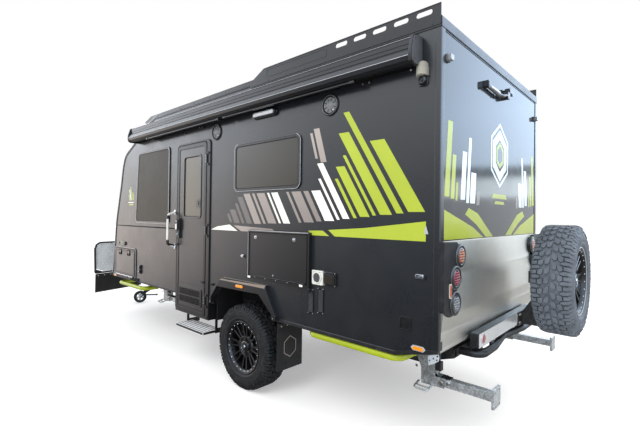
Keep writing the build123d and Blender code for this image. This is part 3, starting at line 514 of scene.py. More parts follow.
def moulded(name, rgb, rough=0.5, grain=0.45, dust=0.12, spec=0.45, var=0.12):
    """Moulded plastic with a pebbled grain."""
    m, nt, b, tc = nmat(name)
    base = lin(rgb)
    n1 = noise(nt, tc, 6.0, 6.0, 0.6)
    c = ramp(nt, n1, [(0.3, tuple(x * (1 - var) for x in base)), (0.7, tuple(min(1, x * (1 + var)) for x in base))])
    n2 = noise(nt, tc, 22.0, 9.0, 0.7)
    c = mixc(nt, maprange(nt, n2, 0.52, 0.8, 0.0, dust), c, lin((128, 122, 112)))
    nt.links.new(c, b.inputs["Base Color"])
    nt.links.new(maprange(nt, n2, 0.3, 0.7, max(0.05, rough - 0.08), rough + 0.1), b.inputs["Roughness"])
    b.inputs["Specular IOR Level"].default_value = spec
    vo = nt.nodes.new("ShaderNodeTexVoronoi")
    vo.inputs["Scale"].default_value = 700.0
    nt.links.new(tc.outputs["Object"], vo.inputs["Vector"])
    bump(nt, b, vo.outputs["Distance"], 0.00025, grain)
    return m


def glass_mat(name, rgb, rough=0.04, metallic=0.0, spec=0.7, var=0.15):
    """Tinted pane seen as a dark polished sheet with a faint film and dust."""
    m, nt, b, tc = nmat(name)
    base = lin(rgb)
    n1 = noise(nt, tc, 1.6, 4.0, 0.5)
    c = ramp(nt, n1, [(0.3, tuple(x * (1 - var) for x in base)), (0.7, tuple(min(1, x * (1 + var)) for x in base))])
    nt.links.new(c, b.inputs["Base Color"])
    n2 = noise(nt, tc, 12.0, 8.0, 0.7)
    nt.links.new(maprange(nt, n2, 0.4, 0.8, rough, rough + 0.12), b.inputs["Roughness"])
    b.inputs["Metallic"].default_value = metallic
    b.inputs["Specular IOR Level"].default_value = spec
    b.inputs["Coat Weight"].default_value = 0.5
    b.inputs["Coat Roughness"].default_value = 0.03
    bump(nt, b, noise(nt, tc, 2.2, 2.0, 0.4), 0.0015, 0.15)
    return m


def lens_mat(name, rgb, ribs=260.0, glow=0.0):
    """Moulded lens: clear-coated coloured plastic over a pattern of small cells."""
    m, nt, b, tc = nmat(name)
    base = lin(rgb)
    vo = nt.nodes.new("ShaderNodeTexVoronoi")
    vo.inputs["Scale"].default_value = ribs
    vo.inputs["Randomness"].default_value = 0.15
    nt.links.new(tc.outputs["Object"], vo.inputs["Vector"])
    c = ramp(nt, vo.outputs["Distance"], [(0.1, tuple(min(1, x * 1.25) for x in base)), (0.75, tuple(x * 0.45 for x in base))])
    nt.links.new(c, b.inputs["Base Color"])
    b.inputs["Roughness"].default_value = 0.12
    b.inputs["Coat Weight"].default_value = 1.0
    b.inputs["Coat Roughness"].default_value = 0.03
    b.inputs["Subsurface Weight"].default_value = 0.15
    b.inputs["Subsurface Radius"].default_value = (0.01, 0.005, 0.003)
    if glow:
        nt.links.new(c, b.inputs["Emission Color"])
        b.inputs["Emission Strength"].default_value = glow
    bump(nt, b, vo.outputs["Distance"], 0.0008, 0.5)
    return m


def film(name, rgb, rough=0.3, var=0.05, coat=0.7, fade=None):
    """Printed vinyl film, with an optional second shade blended in by noise."""
    m, nt, b, tc = nmat(name)
    base = lin(rgb)
    n1 = noise(nt, tc, 2.5, 4.0, 0.5)
    c = ramp(nt, n1, [(0.3, tuple(x * (1 - var) for x in base)), (0.7, tuple(min(1, x * (1 + var)) for x in base))])
    if fade:
        f = noise(nt, tc, 0.8, 2.0, 0.3)
        c = mixc(nt, maprange(nt, f, 0.35, 0.65, 0.0, 1.0), c, lin(fade))
    nt.links.new(c, b.inputs["Base Color"])
    n2 = noise(nt, tc, 8.0, 6.0, 0.6)
    nt.links.new(maprange(nt, n2, 0.3, 0.7, rough - 0.06, rough + 0.08), b.inputs["Roughness"])
    b.inputs["Coat Weight"].default_value = coat
    b.inputs["Coat Roughness"].default_value = 0.1
    bump(nt, b, noise(nt, tc, 380.0, 2.0), 0.0001, 0.3)
    return m


def weave(name, rgb, hole, pitch=0.006, width=0.34, rough=0.45, metallic=0.0):
    """Woven or knitted screen drawn as crossing threads."""
    m, nt, b, tc = nmat(name)
    outs = []
    sep = nt.nodes.new("ShaderNodeSeparateXYZ")
    nt.links.new(tc.outputs["Object"], sep.inputs["Vector"])
    for ax in ("Y", "Z"):
        a = nt.nodes.new("ShaderNodeMath")
        a.operation = "MULTIPLY"
        a.inputs[1].default_value = math.pi / pitch
        nt.links.new(sep.outputs[ax], a.inputs[0])
        s = nt.nodes.new("ShaderNodeMath")
        s.operation = "SINE"
        nt.links.new(a.outputs[0], s.inputs[0])
        q = nt.nodes.new("ShaderNodeMath")
        q.operation = "ABSOLUTE"
        nt.links.new(s.outputs[0], q.inputs[0])
        outs.append(q.outputs[0])
    mx = nt.nodes.new("ShaderNodeMath")
    mx.operation = "MAXIMUM"
    nt.links.new(outs[0], mx.inputs[0])
    nt.links.new(outs[1], mx.inputs[1])
    mask = maprange(nt, mx.outputs[0], 1.0 - width, 1.0 - width + 0.12, 0.0, 1.0)
    n1 = noise(nt, tc, 5.0, 6.0, 0.6)
    base = lin(rgb)
    thread = ramp(nt, n1, [(0.3, tuple(x * 0.8 for x in base)), (0.7, tuple(min(1, x * 1.15) for x in base))])
    c = mixc(nt, mask, lin(hole), thread)
    nt.links.new(c, b.inputs["Base Color"])
    b.inputs["Roughness"].default_value = rough
    b.inputs["Metallic"].default_value = metallic
    bump(nt, b, mx.outputs[0], 0.0008, 0.7)
    return m


def tread_plate(name, rgb=(176, 180, 184), black=False):
    """Raised lozenge pattern rolled into sheet."""
    m, nt, b, tc = nmat(name)
    sep = nt.nodes.new("ShaderNodeSeparateXYZ")
    nt.links.new(tc.outputs["Object"], sep.inputs["Vector"])

    def mth(op, a, c=None):
        n = nt.nodes.new("ShaderNodeMath")
        n.operation = op
        for i, x in enumerate((a, c)):
            if x is None:
                continue
            if isinstance(x, (int, float)):
                n.inputs[i].default_value = x
            else:
                nt.links.new(x, n.inputs[i])
        return n.outputs[0]
    # two diagonal families of lozenges on a checker of cells
    h = mth("ADD", sep.outputs["X"], mth("MULTIPLY", sep.outputs["Z"], 0.0))
    u = mth("ADD", sep.outputs["X"], sep.outputs["Y"])
    v = mth("ADD", mth("SUBTRACT", sep.outputs["X"], sep.outputs["Y"]), mth("MULTIPLY", sep.outputs["Z"], 1.0))
    u = mth("ADD", u, sep.outputs["Z"])
    p = 0.030
    cu, cv = mth("FRACT", mth("DIVIDE", u, p)), mth("FRACT", mth("DIVIDE", v, p))
    iu, iv = mth("FLOOR", mth("DIVIDE", u, p)), mth("FLOOR", mth("DIVIDE", v, p))
    par = mth("ABSOLUTE", mth("MODULO", mth("ADD", iu, iv), 2.0))
    du, dv = mth("ABSOLUTE", mth("SUBTRACT", cu, 0.5)), mth("ABSOLUTE", mth("SUBTRACT", cv, 0.5))
    ea = mth("ADD", mth("MULTIPLY", mth("MULTIPLY", du, du), 5.0), mth("MULTIPLY", mth("MULTIPLY", dv, dv), 60.0))
    eb = mth("ADD", mth("MULTIPLY", mth("MULTIPLY", du, du), 60.0), mth("MULTIPLY", mth("MULTIPLY", dv, dv), 5.0))
    e = mth("ADD", mth("MULTIPLY", ea, par), mth("MULTIPLY", eb, mth("SUBTRACT", 1.0, par)))
    lump = maprange(nt, e, 0.5, 1.0, 1.0, 0.0)
    base = lin(rgb)
    n1 = noise(nt, tc, 7.0, 7.0, 0.6)
    c = ramp(nt, n1, [(0.3, tuple(x * 0.8 for x in base)), (0.7, tuple(min(1, x * 1.1) for x in base))])
    c = mixc(nt, mth("MULTIPLY", lump, 0.45), c, tuple(min(1.0, x * 1.6 + 0.02) for x in base))
    nt.links.new(c, b.inputs["Base Color"])
    nt.links.new(maprange(nt, n1, 0.3, 0.7, 0.28, 0.45), b.inputs["Roughness"])
    b.inputs["Metallic"].default_value = 0.35 if black else 0.95
    bump(nt, b, lump, 0.0016, 0.9)
    return m


BODY = paint_panel("panel_charcoal", (21, 24, 28), 0.30, 0.12, flake=0.06, coat=0.45, dirt=0.06)
ROOFM = paint_panel("roof_charcoal", (44, 46, 49), 0.42, 0.12, flake=0.05, coat=0.3, dirt=0.0)
REAR = paint_panel("rear_panel_graphite", (40, 45, 51), 0.07, 0.08, flake=0.05, coat=0.0, metallic=0.0, dirt=0.0, spec=0.62)
REARLOW = brushed("rear_lower_brushed", (230, 229, 221), 0.38, "y", 0.10, 0.4, 0.3)
TRIM = moulded("trim_black", (26, 27, 29), 0.42, 0.25, 0.10)
ALUBLK = surface("alloy_black", (28, 29, 31), 0.34, 0.35, 0.12, 6, 0.08, 30, 500, 0.00008, 0.4, coat=0.25)
EXTR = surface("extrusion_black", (30, 31, 34), 0.36, 0.4, 0.12, 5, 0.08, 22, 420, 0.00008, 0.4, coat=0.35, stretch=(1, 18, 18))
FRAMEBLK = surface("window_frame_black", (22, 23, 25), 0.30, 0.1, 0.12, 6, 0.08, 30, 400, 0.0001, 0.4, coat=0.5)
GLASS = glass_mat("window_tint", (40, 37, 31), 0.05, 0.0, 0.35)
BLIND = surface("blind_warm", (150, 146, 138), 0.7, 0.0, 0.05, 3, 0.06, 20, 260, 0.0003, 0.5)
DOORGLASS = glass_mat("door_pane", (92, 88, 80), 0.10, 0.0, 0.28, 0.05)
DOORGLASS.node_tree.nodes["Principled BSDF"].inputs["Coat Weight"].default_value = 0.15
# matte warm sheet for the front panes: painted reflection
FRONT_PANE_PAINTED_REFLECTION = surface("front_pane_painted_reflection_sheet", (56, 53, 47), 0.38, 0.0, 0.05, 3, 0.05, 10, 300, 0.00002, 0.1, coat=0.0)
FRONT_PANE_PAINTED_REFLECTION.node_tree.nodes["Principled BSDF"].inputs["Specular IOR Level"].default_value = 0.12
BLINDDK = surface("blind_shade", (56, 52, 46), 0.7, 0.0, 0.05, 3, 0.06, 20, 260, 0.0003, 0.5)
LIME = film("lime_film", (152, 166, 40), 0.36, 0.06, coat=0.35)
LIMEPC = surface("lime_powder", (146, 160, 4), 0.36, 0.0, 0.07, 5, 0.08, 26, 420, 0.00015, 0.5, coat=0.3)
WHITEF = film("white_film", (216, 216, 209), 0.36, 0.03, coat=0.3)
GREYF = film("warm_grey_film", (150, 140, 134), 0.34, 0.08, fade=(120, 112, 108))
DGREYF = film("dark_grey_film", (84, 80, 79), 0.34, 0.10)
PALEF = film("pale_blue_film", (205, 222, 236), 0.28, 0.04)
GALV = galvanised("galvanised", (196, 199, 200), 0.40)
ZINC = surface("zinc_plate", (190, 188, 180), 0.32, 0.95, 0.10, 30, 0.10, 60, 700, 0.00008, 0.4)
CHROME = surface("bright_steel", (205, 208, 212), 0.16, 1.0, 0.06, 12, 0.06, 40, 800, 0.00005, 0.3)
# silver for real bright parts; also for thin strips laid along edges as painted highlights
SILVER_AND_PAINTED_HIGHLIGHT = surface("silver_plastic_and_painted_highlights", (176, 180, 184), 0.36, 0.35, 0.06, 10, 0.08, 40, 600, 0.0001, 0.4)
CREAM = moulded("cream_plastic", (186, 182, 168), 0.46, 0.3, 0.06)
WHITEP = moulded("white_plastic", (205, 205, 200), 0.44, 0.25, 0.05)
# near-black for real black parts; also painted shade where it fills holes, wells, recesses and the space behind grilles
BLACK_AND_PAINTED_SHADE = moulded("black_and_painted_recess_shade", (8, 8, 9), 0.8, 0.3, 0.0)
RUBBER = rubber_mat("tyre_rubber", (20, 22, 24), 0.42, 0.66)
# spare tyre rubber made far lighter and bluer than the road tyres': painted sky sheen, with real dust
SPARE_RUBBER_DUST_AND_SHEEN = rubber_mat("spare_rubber_dust_and_painted_sheen", (84, 90, 98), 0.22, 0.6)
SEAL = rubber_mat("seal_rubber", (14, 14, 15), 0.10, 0.55)
FLAPM = rubber_mat("flap_rubber", (24, 24, 25), 0.3, 0.6)
RIMBLK = surface("rim_gloss_black", (9, 9, 11), 0.38, 0.05, 0.15, 10, 0.06, 30, 300, 0.00005, 0.3, coat=0.12, coat_rough=0.12)
MILLED = surface("rim_milled", (150, 152, 156), 0.28, 1.0, 0.05, 30, 0.06, 60, 900, 0.00005, 0.4)
MILLEDDK = surface("rim_edge_dark", (58, 56, 54), 0.36, 0.5, 0.06, 30, 0.06, 60, 900, 0.00005, 0.4)
# bright sheet for the rear bar's face: painted reflection on a dark grey bar
BAR_FACE_PAINTED_REFLECTION = surface("painted_reflection_bar_face", (222, 226, 229), 0.22, 0.55, 0.05, 6, 0.06, 40, 600, 0.00005, 0.4, coat=0.3)
ZINCBR = surface("zinc_bright", (216, 226, 236), 0.34, 0.25, 0.06, 30, 0.08, 60, 700, 0.00006, 0.4)
CHASSIS = surface("chassis_black", (30, 31, 33), 0.48, 0.2, 0.2, 9, 0.12, 26, 380, 0.0003, 0.6, dust=0.35)
STEELDK = surface("arm_steel", (34, 34, 36), 0.5, 0.5, 0.25, 14, 0.12, 30, 300, 0.0003, 0.6, dust=0.4)
SPRING = surface("spring_red_black", (22, 22, 24), 0.38, 0.1, 0.15, 20, 0.1, 40, 400, 0.0002, 0.5, dust=0.25)
TANKM = moulded("tank_poly", (60, 62, 64), 0.55, 0.5, 0.35)
ALUM = brushed("alloy_drawn", (196, 199, 202), 0.32, "x", 0.08, 0.3, 0.3)
ALUMY = brushed("alloy_drawn_across", (190, 193, 196), 0.34, "y", 0.08, 0.3, 0.3)
AMBER = lens_mat("lens_amber", (246, 146, 22), 300, 0.12)
TURND = lens_mat("lens_turn_back", (84, 52, 36), 320)
TURNL = lens_mat("lens_turn_cells", (176, 104, 62), 300)
STOPD = lens_mat("lens_stop_back", (74, 8, 26), 320)
STOPL = lens_mat("lens_stop_cells", (138, 18, 48), 300)
REVD = lens_mat("lens_reverse_back", (62, 66, 72), 320)
REVL = lens_mat("lens_reverse_cells", (126, 130, 134), 300)
CLEARGR = lens_mat("lens_clear_grey", (132, 136, 140), 260)
ENDCAP = moulded("end_cap_grey", (66, 68, 71), 0.6, 0.2, 0.05)
# paler tone for a band on the flare's upward faces
FLARETOP = surface("flare_top_pale_band", (112, 98, 86), 0.5, 0.0, 0.10, 6, 0.08, 24, 420, 0.0001, 0.4)
CAPGR = moulded("cap_grey", (128, 125, 116), 0.5, 0.3, 0.06)
RINGGR = moulded("ring_grey", (84, 87, 91), 0.42, 0.2, 0.04)
SPKGREY = moulded("speaker_grey", (104, 106, 108), 0.5, 0.2, 0.05)
TABLEM = surface("table_leaf_black", (20, 21, 23), 0.33, 0.1, 0.04, 3, 0.03, 8, 400, 0.00001, 0.1, coat=0.3)
GALVL = galvanised("galvanised_pale", (226, 230, 232), 0.40)
STEPAL = surface("step_alloy", (222, 224, 226), 0.42, 0.15, 0.06, 12, 0.08, 40, 500, 0.0001, 0.4)
REDL = lens_mat("lens_red", (190, 24, 26), 300, 0.08)
REDREF = lens_mat("reflector_red", (170, 16, 20), 420)
CLEARL = lens_mat("lens_clear", (214, 216, 216), 260)
LEDM = lens_mat("led_lens", (220, 224, 228), 500, 0.15)
MESHM = weave("guard_mesh", (220, 226, 230), (60, 64, 68), 0.0055, 0.40)
CHEQ = tread_plate("tread_plate_black", (44, 45, 47), True)
CHEQA = tread_plate("tread_plate_alloy", (160, 164, 168))
GASM = surface("cylinder_paint", (196, 198, 196), 0.34, 0.0, 0.06, 7, 0.10, 20, 300, 0.0002, 0.4, coat=0.4, dust=0.12)
BRASS = surface("brass", (186, 150, 82), 0.3, 1.0, 0.1, 25, 0.08, 40, 500, 0.0001, 0.3)
SOLAR = glass_mat("solar_glass", (14, 20, 40), 0.06, 0.0, 0.6)
ACM = moulded("air_con_white", (214, 215, 212), 0.45, 0.35, 0.14)
ROOFW = moulded("hatch_smoke", (120, 126, 130), 0.25, 0.1, 0.1, 0.6)
INNER = surface("lining_pale", (176, 172, 164), 0.6, 0.0, 0.06, 3, 0.06, 16, 300, 0.0002, 0.4)
FLOORM = surface("floor_underside", (52, 50, 48), 0.7, 0.0, 0.2, 5, 0.08, 20, 200, 0.0004, 0.6, dust=0.3)
JWHEEL = moulded("jockey_grey", (120, 122, 124), 0.5, 0.3, 0.3)
VINYL = moulded("floor_vinyl", (118, 110, 98), 0.5, 0.3, 0.15)
LINERM = rubber_mat("arch_liner", (10, 10, 11), 0.15, 0.8)
BARGREY = surface("bar_dark_grey", (62, 64, 66), 0.42, 0.3, 0.10, 8, 0.08, 28, 400, 0.0002, 0.5, coat=0.2)


def assign(node, material):
    me = NODES[node].data
    me.materials.clear()
    me.materials.append(material)
    for p in me.polygons:
        p.material_index = 0


for node, material in {
    "air_conditioner": ACM, "arch_flares": TRIM, "awning": EXTR, "chassis_frame": CHASSIS, "coupling": CHASSIS,
    "door_frame": ALUBLK, "drawbar": CHASSIS, "entry_door": BODY, "entry_door_window": DOORGLASS,
    "floor_panel": FLOORM, "folding_table": FRAMEBLK, "front_left_steady": GALV, "front_right_steady": GALV,
    "front_wall": BODY, "gas_cylinders": GASM, "grab_handle": SILVER_AND_PAINTED_HIGHLIGHT, "hatch_frames": ALUBLK,
    "jockey_fork": GALV, "jockey_leg": CHROME, "jockey_tube": GALV, "jockey_wheel": RUBBER, "lamps": AMBER,
    "left_boot_hatch": BODY, "left_tyre": RUBBER, "left_wall": BODY, "left_wheel_rim": RIMBLK, "mud_flaps": FLAPM,
    "rear_bar": GALV, "rear_lamp_panels": ALUBLK, "rear_left_steady": GALV, "rear_right_steady": GALV,
    "rear_wall": REAR, "right_boot_hatch": BODY, "right_tyre": RUBBER, "right_wall": BODY,
    "right_wheel_rim": RIMBLK, "roof_hatch_lid": ROOFW, "roof_panel": ROOFM, "roof_rails": ALUBLK,
    "side_tubes": LIMEPC, "solar_panels": SOLAR, "spare_tyre": RUBBER, "spare_wheel_carrier": CHASSIS,
    "spare_wheel_rim": RIMBLK, "springs_and_dampers": SPRING, "steady_brackets": GALV, "step_tread": ALUM,
    "stone_guard_frame": ALUBLK, "stone_guard_mesh": MESHM, "stone_guard_skirt": FLAPM, "toolbox": CHEQ,
    "toolbox_lid": CHEQ, "trailing_arms": STEELDK, "wall_fittings": TRIM, "water_tanks": TANKM,
    "wheel_arch_liners": TANKM, "window_frames": FRAMEBLK, "window_panes": GLASS,
}.items():
    assign(node, material)


# ------------------------------------------------------------------ nose outline shared by the trims
NOSE = [(5150, 750), (5112, 1020), (5078, 1276), (5046, 1540), (4968, 1830), (4893, 2090), (4836, 2330),
        (4745, 2494), (4560, 2592), (4363, 2682), (4130, 2790), (3960, 2872), (3790, 2920)]


def nose_line(off, k=6, z0=752):
    """Points along the nose outline, moved inwards by off."""
    pts = []
    n = len(NOSE)
    tn = []
    for i in range(n):
        a, b = Vector(NOSE[max(i - 1, 0)]), Vector(NOSE[min(i + 1, n - 1)])
        tn.append((b - a) * (0.5 if 0 < i < n - 1 else 1.0))
    for i in range(n - 1):
        p, q = Vector(NOSE[i]), Vector(NOSE[i + 1])
        for j in range(k):
            t = j / k
            h = (p * (2 * t ** 3 - 3 * t ** 2 + 1) + tn[i] * (t ** 3 - 2 * t ** 2 + t) +
                 q * (-2 * t ** 3 + 3 * t ** 2) + tn[i + 1] * (t ** 3 - t ** 2))
            d = (p * (6 * t * t - 6 * t) + tn[i] * (3 * t * t - 4 * t + 1) + q * (-6 * t * t + 6 * t) +
                 tn[i + 1] * (3 * t * t - 2 * t)).normalized()
            pts.append((h.x - off * d.y, h.y + off * d.x) if off else (h.x, h.y))
    d = Vector(NOSE[-1]) - Vector(NOSE[-2])
    d.normalize()
    pts.append((NOSE[-1][0] - off * d.y, NOSE[-1][1] + off * d.x))
    return [p for p in pts if p[1] >= z0]


def strip_side(m, s, outer, inner, y0, y1):
    """Strip on a side wall between two lines of x,z points, from y0 to y1 off the centre plane."""
    rings = []
    for a, b in zip(outer, inner):
        rings.append([(a[0], s * y0, a[1]), (a[0], s * y1, a[1]), (b[0], s * y1, b[1]), (b[0], s * y0, b[1])])
    m.loft(rings)


def side_trims(s, tag):
    m = M().mat(TRIM)
    # moulding round the nose, with a bright outer bead
    o, i = nose_line(0.5), nose_line(34)
    n = min(len(o), len(i))
    strip_side(m, s, o[-n:], i[-n:], W + 0.2, W + 4.5)
    m.done("nose_edge_moulding_" + tag, bevel=1.2)
    m = M().mat(SILVER_AND_PAINTED_HIGHLIGHT)
    o, i = nose_line(0.8), nose_line(7)
    n = min(len(o), len(i))
    strip_side(m, s, o[-n:], i[-n:], W + 4.2, W + 6.5)
    m.done("nose_edge_bead_" + tag, bevel=0.8)
    # skirt channel along the foot of the wall
    m = M().mat(TRIM)
    for a, b in ((302, 1490), (2452, 2540), (3245, 5140)):
        m.prism([(s * (W + 0.2), 751), (s * (W + 5), 751), (s * (W + 5), 774), (s * (W + 1.5), 779), (s * (W + 0.2), 779)], "x", a, b)
    lo = [(0.5, 825.5), (140, 792.5), (270, 758.5), (302, 751)]
    hi = [(0.5, 852), (146, 819), (278, 785), (302, 779)]
    strip_side(m, s, lo, hi, W + 0.2, W + 5)
    m.done("skirt_channel_" + tag, bevel=1.0)
    # rear corner mould: wraps the corner
    m = M().mat(BODY)
    m.prism([(-5.5, s * 1046), (-5.5, s * 1088), (-1.5, s * 1096.5), (34, s * 1096.5), (36, s * 1093.3), (-0.2, s * 1093.3),
             (-0.2, s * 1044)], "z", 842, 2846)
    m.done("rear_corner_mould_" + tag, bevel=1.5)
    # joint between the upper and lower front side panels
    m = M().mat(TRIM)
    m.box(3412, 5046, s * (W + 0.1), s * (W + 2.2), 1492, 1506)
    m.box(3246, 3412, s * (W + 0.1), s * (W + 2.2), 1492, 1506)
    m.done("front_panel_joint_" + tag, bevel=0.8)


for s, tag in ((1, "left"), (-1, "right")):
    side_trims(s, tag)


# ------------------------------------------------------------------ side graphics: slanting bars over a swept base
def bar4(x0, w, z0, z1, slant):
    d = slant * (z1 - z0)
    return [(x0, z0), (x0 + w, z0), (x0 + w + d, z1), (x0 + d, z1)]


def decal(m, s, pts, lift=0.5):
    """Thin film laid on the side wall."""
    m.prism([(p[0], p[1]) for p in pts], "y", s * (W + 0.15), s * (W + 0.15 + lift))


def side_graphics(s, tag):
    """Raked stripes leaning forward over a stepped keel; lime at the rear, white amid, grey and dark ahead."""
    lime, white, grey, dgrey = M().mat(LIME), M().mat(WHITEF), M().mat(GREYF), M().mat(DGREYF)
    K = 0.62
    # keel: two long lime wedges and a white one that runs to the door
    decal(lime, s, [(90, 1513), (840, 1513), (905, 1560), (560, 1585), (90, 1640)])
    decal(lime, s, [(895, 1513), (1080, 1513), (1120, 1548), (962, 1553)])
    decal(grey, s, [(1500, 1513), (2010, 1513), (2130, 1566), (1560, 1548)])
    decal(white, s, [(2066, 1513), (2530, 1513), (2410, 1548), (2200, 1572)])
    # stripes: x of the foot, width, foot height, top height
    for x0, w, z0, z1 in ((96, 120, 1700, 2200), (250, 54, 1690, 2440), (338, 96, 1680, 2290), (466, 28, 1674, 2120),
                          (520, 84, 1664, 2040), (632, 30, 1654, 1950)):
        decal(lime, s, bar4(x0, w, z0, z1, K))
    for x0, w, z0, z1 in ((700, 62, 1648, 2080), (792, 26, 1640, 1960), (846, 96, 1630, 1868), (1330, 84, 1600, 1868),
                          (1444, 26, 1600, 1868)):
        decal(white, s, bar4(x0, w, z0, z1, K))
    for x0, w, z0, z1 in ((974, 54, 1624, 1868), (1056, 108, 1614, 1868), (1196, 30, 1610, 1868), (1504, 110, 1596, 1868),
                          (1646, 34, 1592, 1868), (1712, 96, 1588, 1868)):
        decal(grey, s, bar4(x0, w, z0, z1, K))
    # behind the window's rear edge two grey stripes climb on
    for x0, w, z0, z1 in ((930, 60, 2086, 2360), (1022, 26, 2120, 2330)):
        decal(grey, s, bar4(x0, w, z0, z1, 0.30))
    for x0, w, z0, z1 in ((1840, 80, 1588, 1840), (1956, 40, 1588, 1780), (2030, 90, 1590, 1720), (2156, 36, 1596, 1680)):
        decal(dgrey, s, bar4(x0, w, z0, z1, K))
    lime.done("side_film_lime_" + tag)
    white.done("side_film_white_" + tag)
    grey.done("side_film_grey_" + tag)
    dgrey.done("side_film_dark_" + tag)
    # short raked stripes beside the front window
    a, b = M().mat(LIME), M().mat(WHITEF)
    for k, (x0, h) in enumerate(((4440, 110), (4484, 190), (4528, 150), (4572, 80))):
        decal(a if k != 2 else b, s, bar4(x0, 24, 1852, 1852 + h, 0.35))
    decal(b, s, [(4446, 1818), (4620, 1818), (4630, 1830), (4446, 1830)])
    decal(a, s, [(4470, 1786), (4604, 1786), (4590, 1804), (4470, 1804)])
    a.done("front_film_lime_" + tag)
    b.done("front_film_white_" + tag)


side_graphics(1, "left")
side_graphics(-1, "right")


# ------------------------------------------------------------------ windows
refine("window_frames", FRAMEBLK, 2.2, 2, 30)


def front_win_outline(off, r):
    x0, z0, z1, xt, xb = 3432, 1547, 2486, 4300, 4368
    k = (xb - xt) / (z1 - z0)
    pts = [(x0 + off, z0 + off), (xb - off * 1.003 - off * k, z0 + off), (xt - off * 1.003 + off * k, z1 - off),
           (x0 + off, z1 - off)]
    return rpoly(pts, r, 8)


def mid_win_outline(off, r):
    return rrect(1205 + off, 2120 - off, 1890 + off, 2350 - off, r, 8)


for s, tag in ((1, "left"), (-1, "right")):
    m = M().mat(SEAL)
    # painted highlight: a thin silver ring along each frame's outer edge
    n = M().mat(SILVER_AND_PAINTED_HIGHLIGHT)
    for fn in (front_win_outline, mid_win_outline):
        m.ring(fn(24.5, 38), fn(34, 29), "y", s * (W + 6), s * (W + 10.5))
        n.ring(fn(1.2, 61), fn(4.6, 58), "y", s * (W + 11.2), s * (W + 13.4))
    m.done("window_gaskets_" + tag, bevel=1.2)
    n.done("window_frame_painted_highlight_" + tag, bevel=0.7)
    m = M().mat(FRAMEBLK)
    m.box(3480, 4252, s * (W + 9), s * (W + 15), 2474, 2486)
    m.box(1262, 2062, s * (W + 9), s * (W + 15), 2338, 2350)
    m.done("window_hinge_rails_" + tag, bevel=1.5)
    # blinds and catches behind the tinted panes
    m = M().mat(TRIM)
    for x in (3560, 3900, 4220):
        m.box(x - 22, x + 22, s * (W - 22), s * (W - 15), 1582, 1612)
    for x in (1420, 1900):
        m.box(x - 22, x + 22, s * (W - 22), s * (W - 15), 1918, 1946)
    m.done("window_catches_" + tag, bevel=2)
    m = M().mat(BLIND)
    m.box(3420, 4320, s * (W - 60), s * (W - 58), 1500, 2500)
    m.box(1180, 2150, s * (W - 60), s * (W - 58), 1870, 2370)
    m.done("window_blinds_" + tag)


# ------------------------------------------------------------------ entry door
m = M().mat(ALUBLK)
# frame flange with a rounded face
m.ring(rrect(2546, 3239, 562, 2469, 58, 8), rrect(2604, 3224, 573.5, 2451, 40, 8), "y", W + 5.2, W + 13)
m.done("door_frame_flange", bevel=4.0, seg=3)
m = M().mat(SEAL)
m.ring(rrect(2603, 3225, 572.5, 2452, 38, 8), rrect(2609, 3219, 579, 2446, 34, 8), "y", W + 1, W + 8)
m.done("door_frame_seal", bevel=1.0)

refine("entry_door", BODY, 1.6, 2, 30)
m = M().mat(ALUBLK)
m.ring(rrect(2614, 3214, 580, 2444, 40, 6), rrect(2652, 3176, 622, 2404, 24, 6), "y", W + 10.8, W + 15.5)
m.done("door_leaf_rim", "entry_door", bevel=2.2, seg=3)
m = M().mat(ALUBLK)
m.ring(rrect(2654, 3174, 624, 2402, 23, 6), rrect(2658, 3170, 628, 2398, 20, 6), "y", W + 11, W + 13.2)
m.done("door_leaf_bead", "entry_door", bevel=0.6)
m = M().mat(BODY)
m.ring(rrect(2708, 3087, 1623, 2327, 48, 8), rrect(2728, 3067, 1643, 2307, 34, 8), "y", W + 10.5, W + 17)
m.box(2660, 3168, W + 10.9, W + 12.6, 1590, 1596)
m.done("door_window_frame", "entry_door", bevel=2.2)
m = M().mat(SEAL)
m.ring(rrect(2727, 3068, 1642, 2308, 35, 8), rrect(2734, 3061, 1649, 2301, 30, 8), "y", W + 6, W + 12)
m.done("door_window_gasket", "entry_door", bevel=1.0)
m = M().mat(FRAMEBLK)
m.prism(rrect(2716, 2800, 1748, 1832, 9, 4), "y", W + 4.5, W + 19)
m.done("door_window_latch", "entry_door", bevel=2.0)
m = M().mat(FRAMEBLK)
m.prism(rrect(2744, 2776, 1772, 1812, 5, 4), "y", W + 18.5, W + 24)
m.done("door_window_latch_key", "entry_door", bevel=1.5)
# vent grille low in the leaf
m = M().mat(FRAMEBLK)
m.ring(rrect(2676, 3152, 668, 862, 20, 5), rrect(2696, 3132, 688, 842, 10, 5), "y", W + 10.5, W + 19)
for k in range(21):
    x = 2706 + k * 20.8
    m.box(x - 3.6, x + 3.6, W + 11, W + 17, 688, 842)
m.box(2696, 3132, W + 11, W + 18, 760, 770)
m.done("door_vent_grille", "entry_door", bevel=0.8)
# painted shade: a black sheet behind the vent grille stands for the dark inside
m = M().mat(BLACK_AND_PAINTED_SHADE)
m.box(2692, 3136, W + 10.8, W + 11.3, 684, 846)
m.done("door_vent_back", "entry_door")
# kick plate and lower seam
m = M().mat(ALUBLK)
m.box(2656, 3172, W + 10.9, W + 13.5, 630, 650)
m.box(2656, 3172, W + 10.9, W + 12.8, 900, 905)
m.done("door_lower_bands", "entry_door", bevel=0.8)
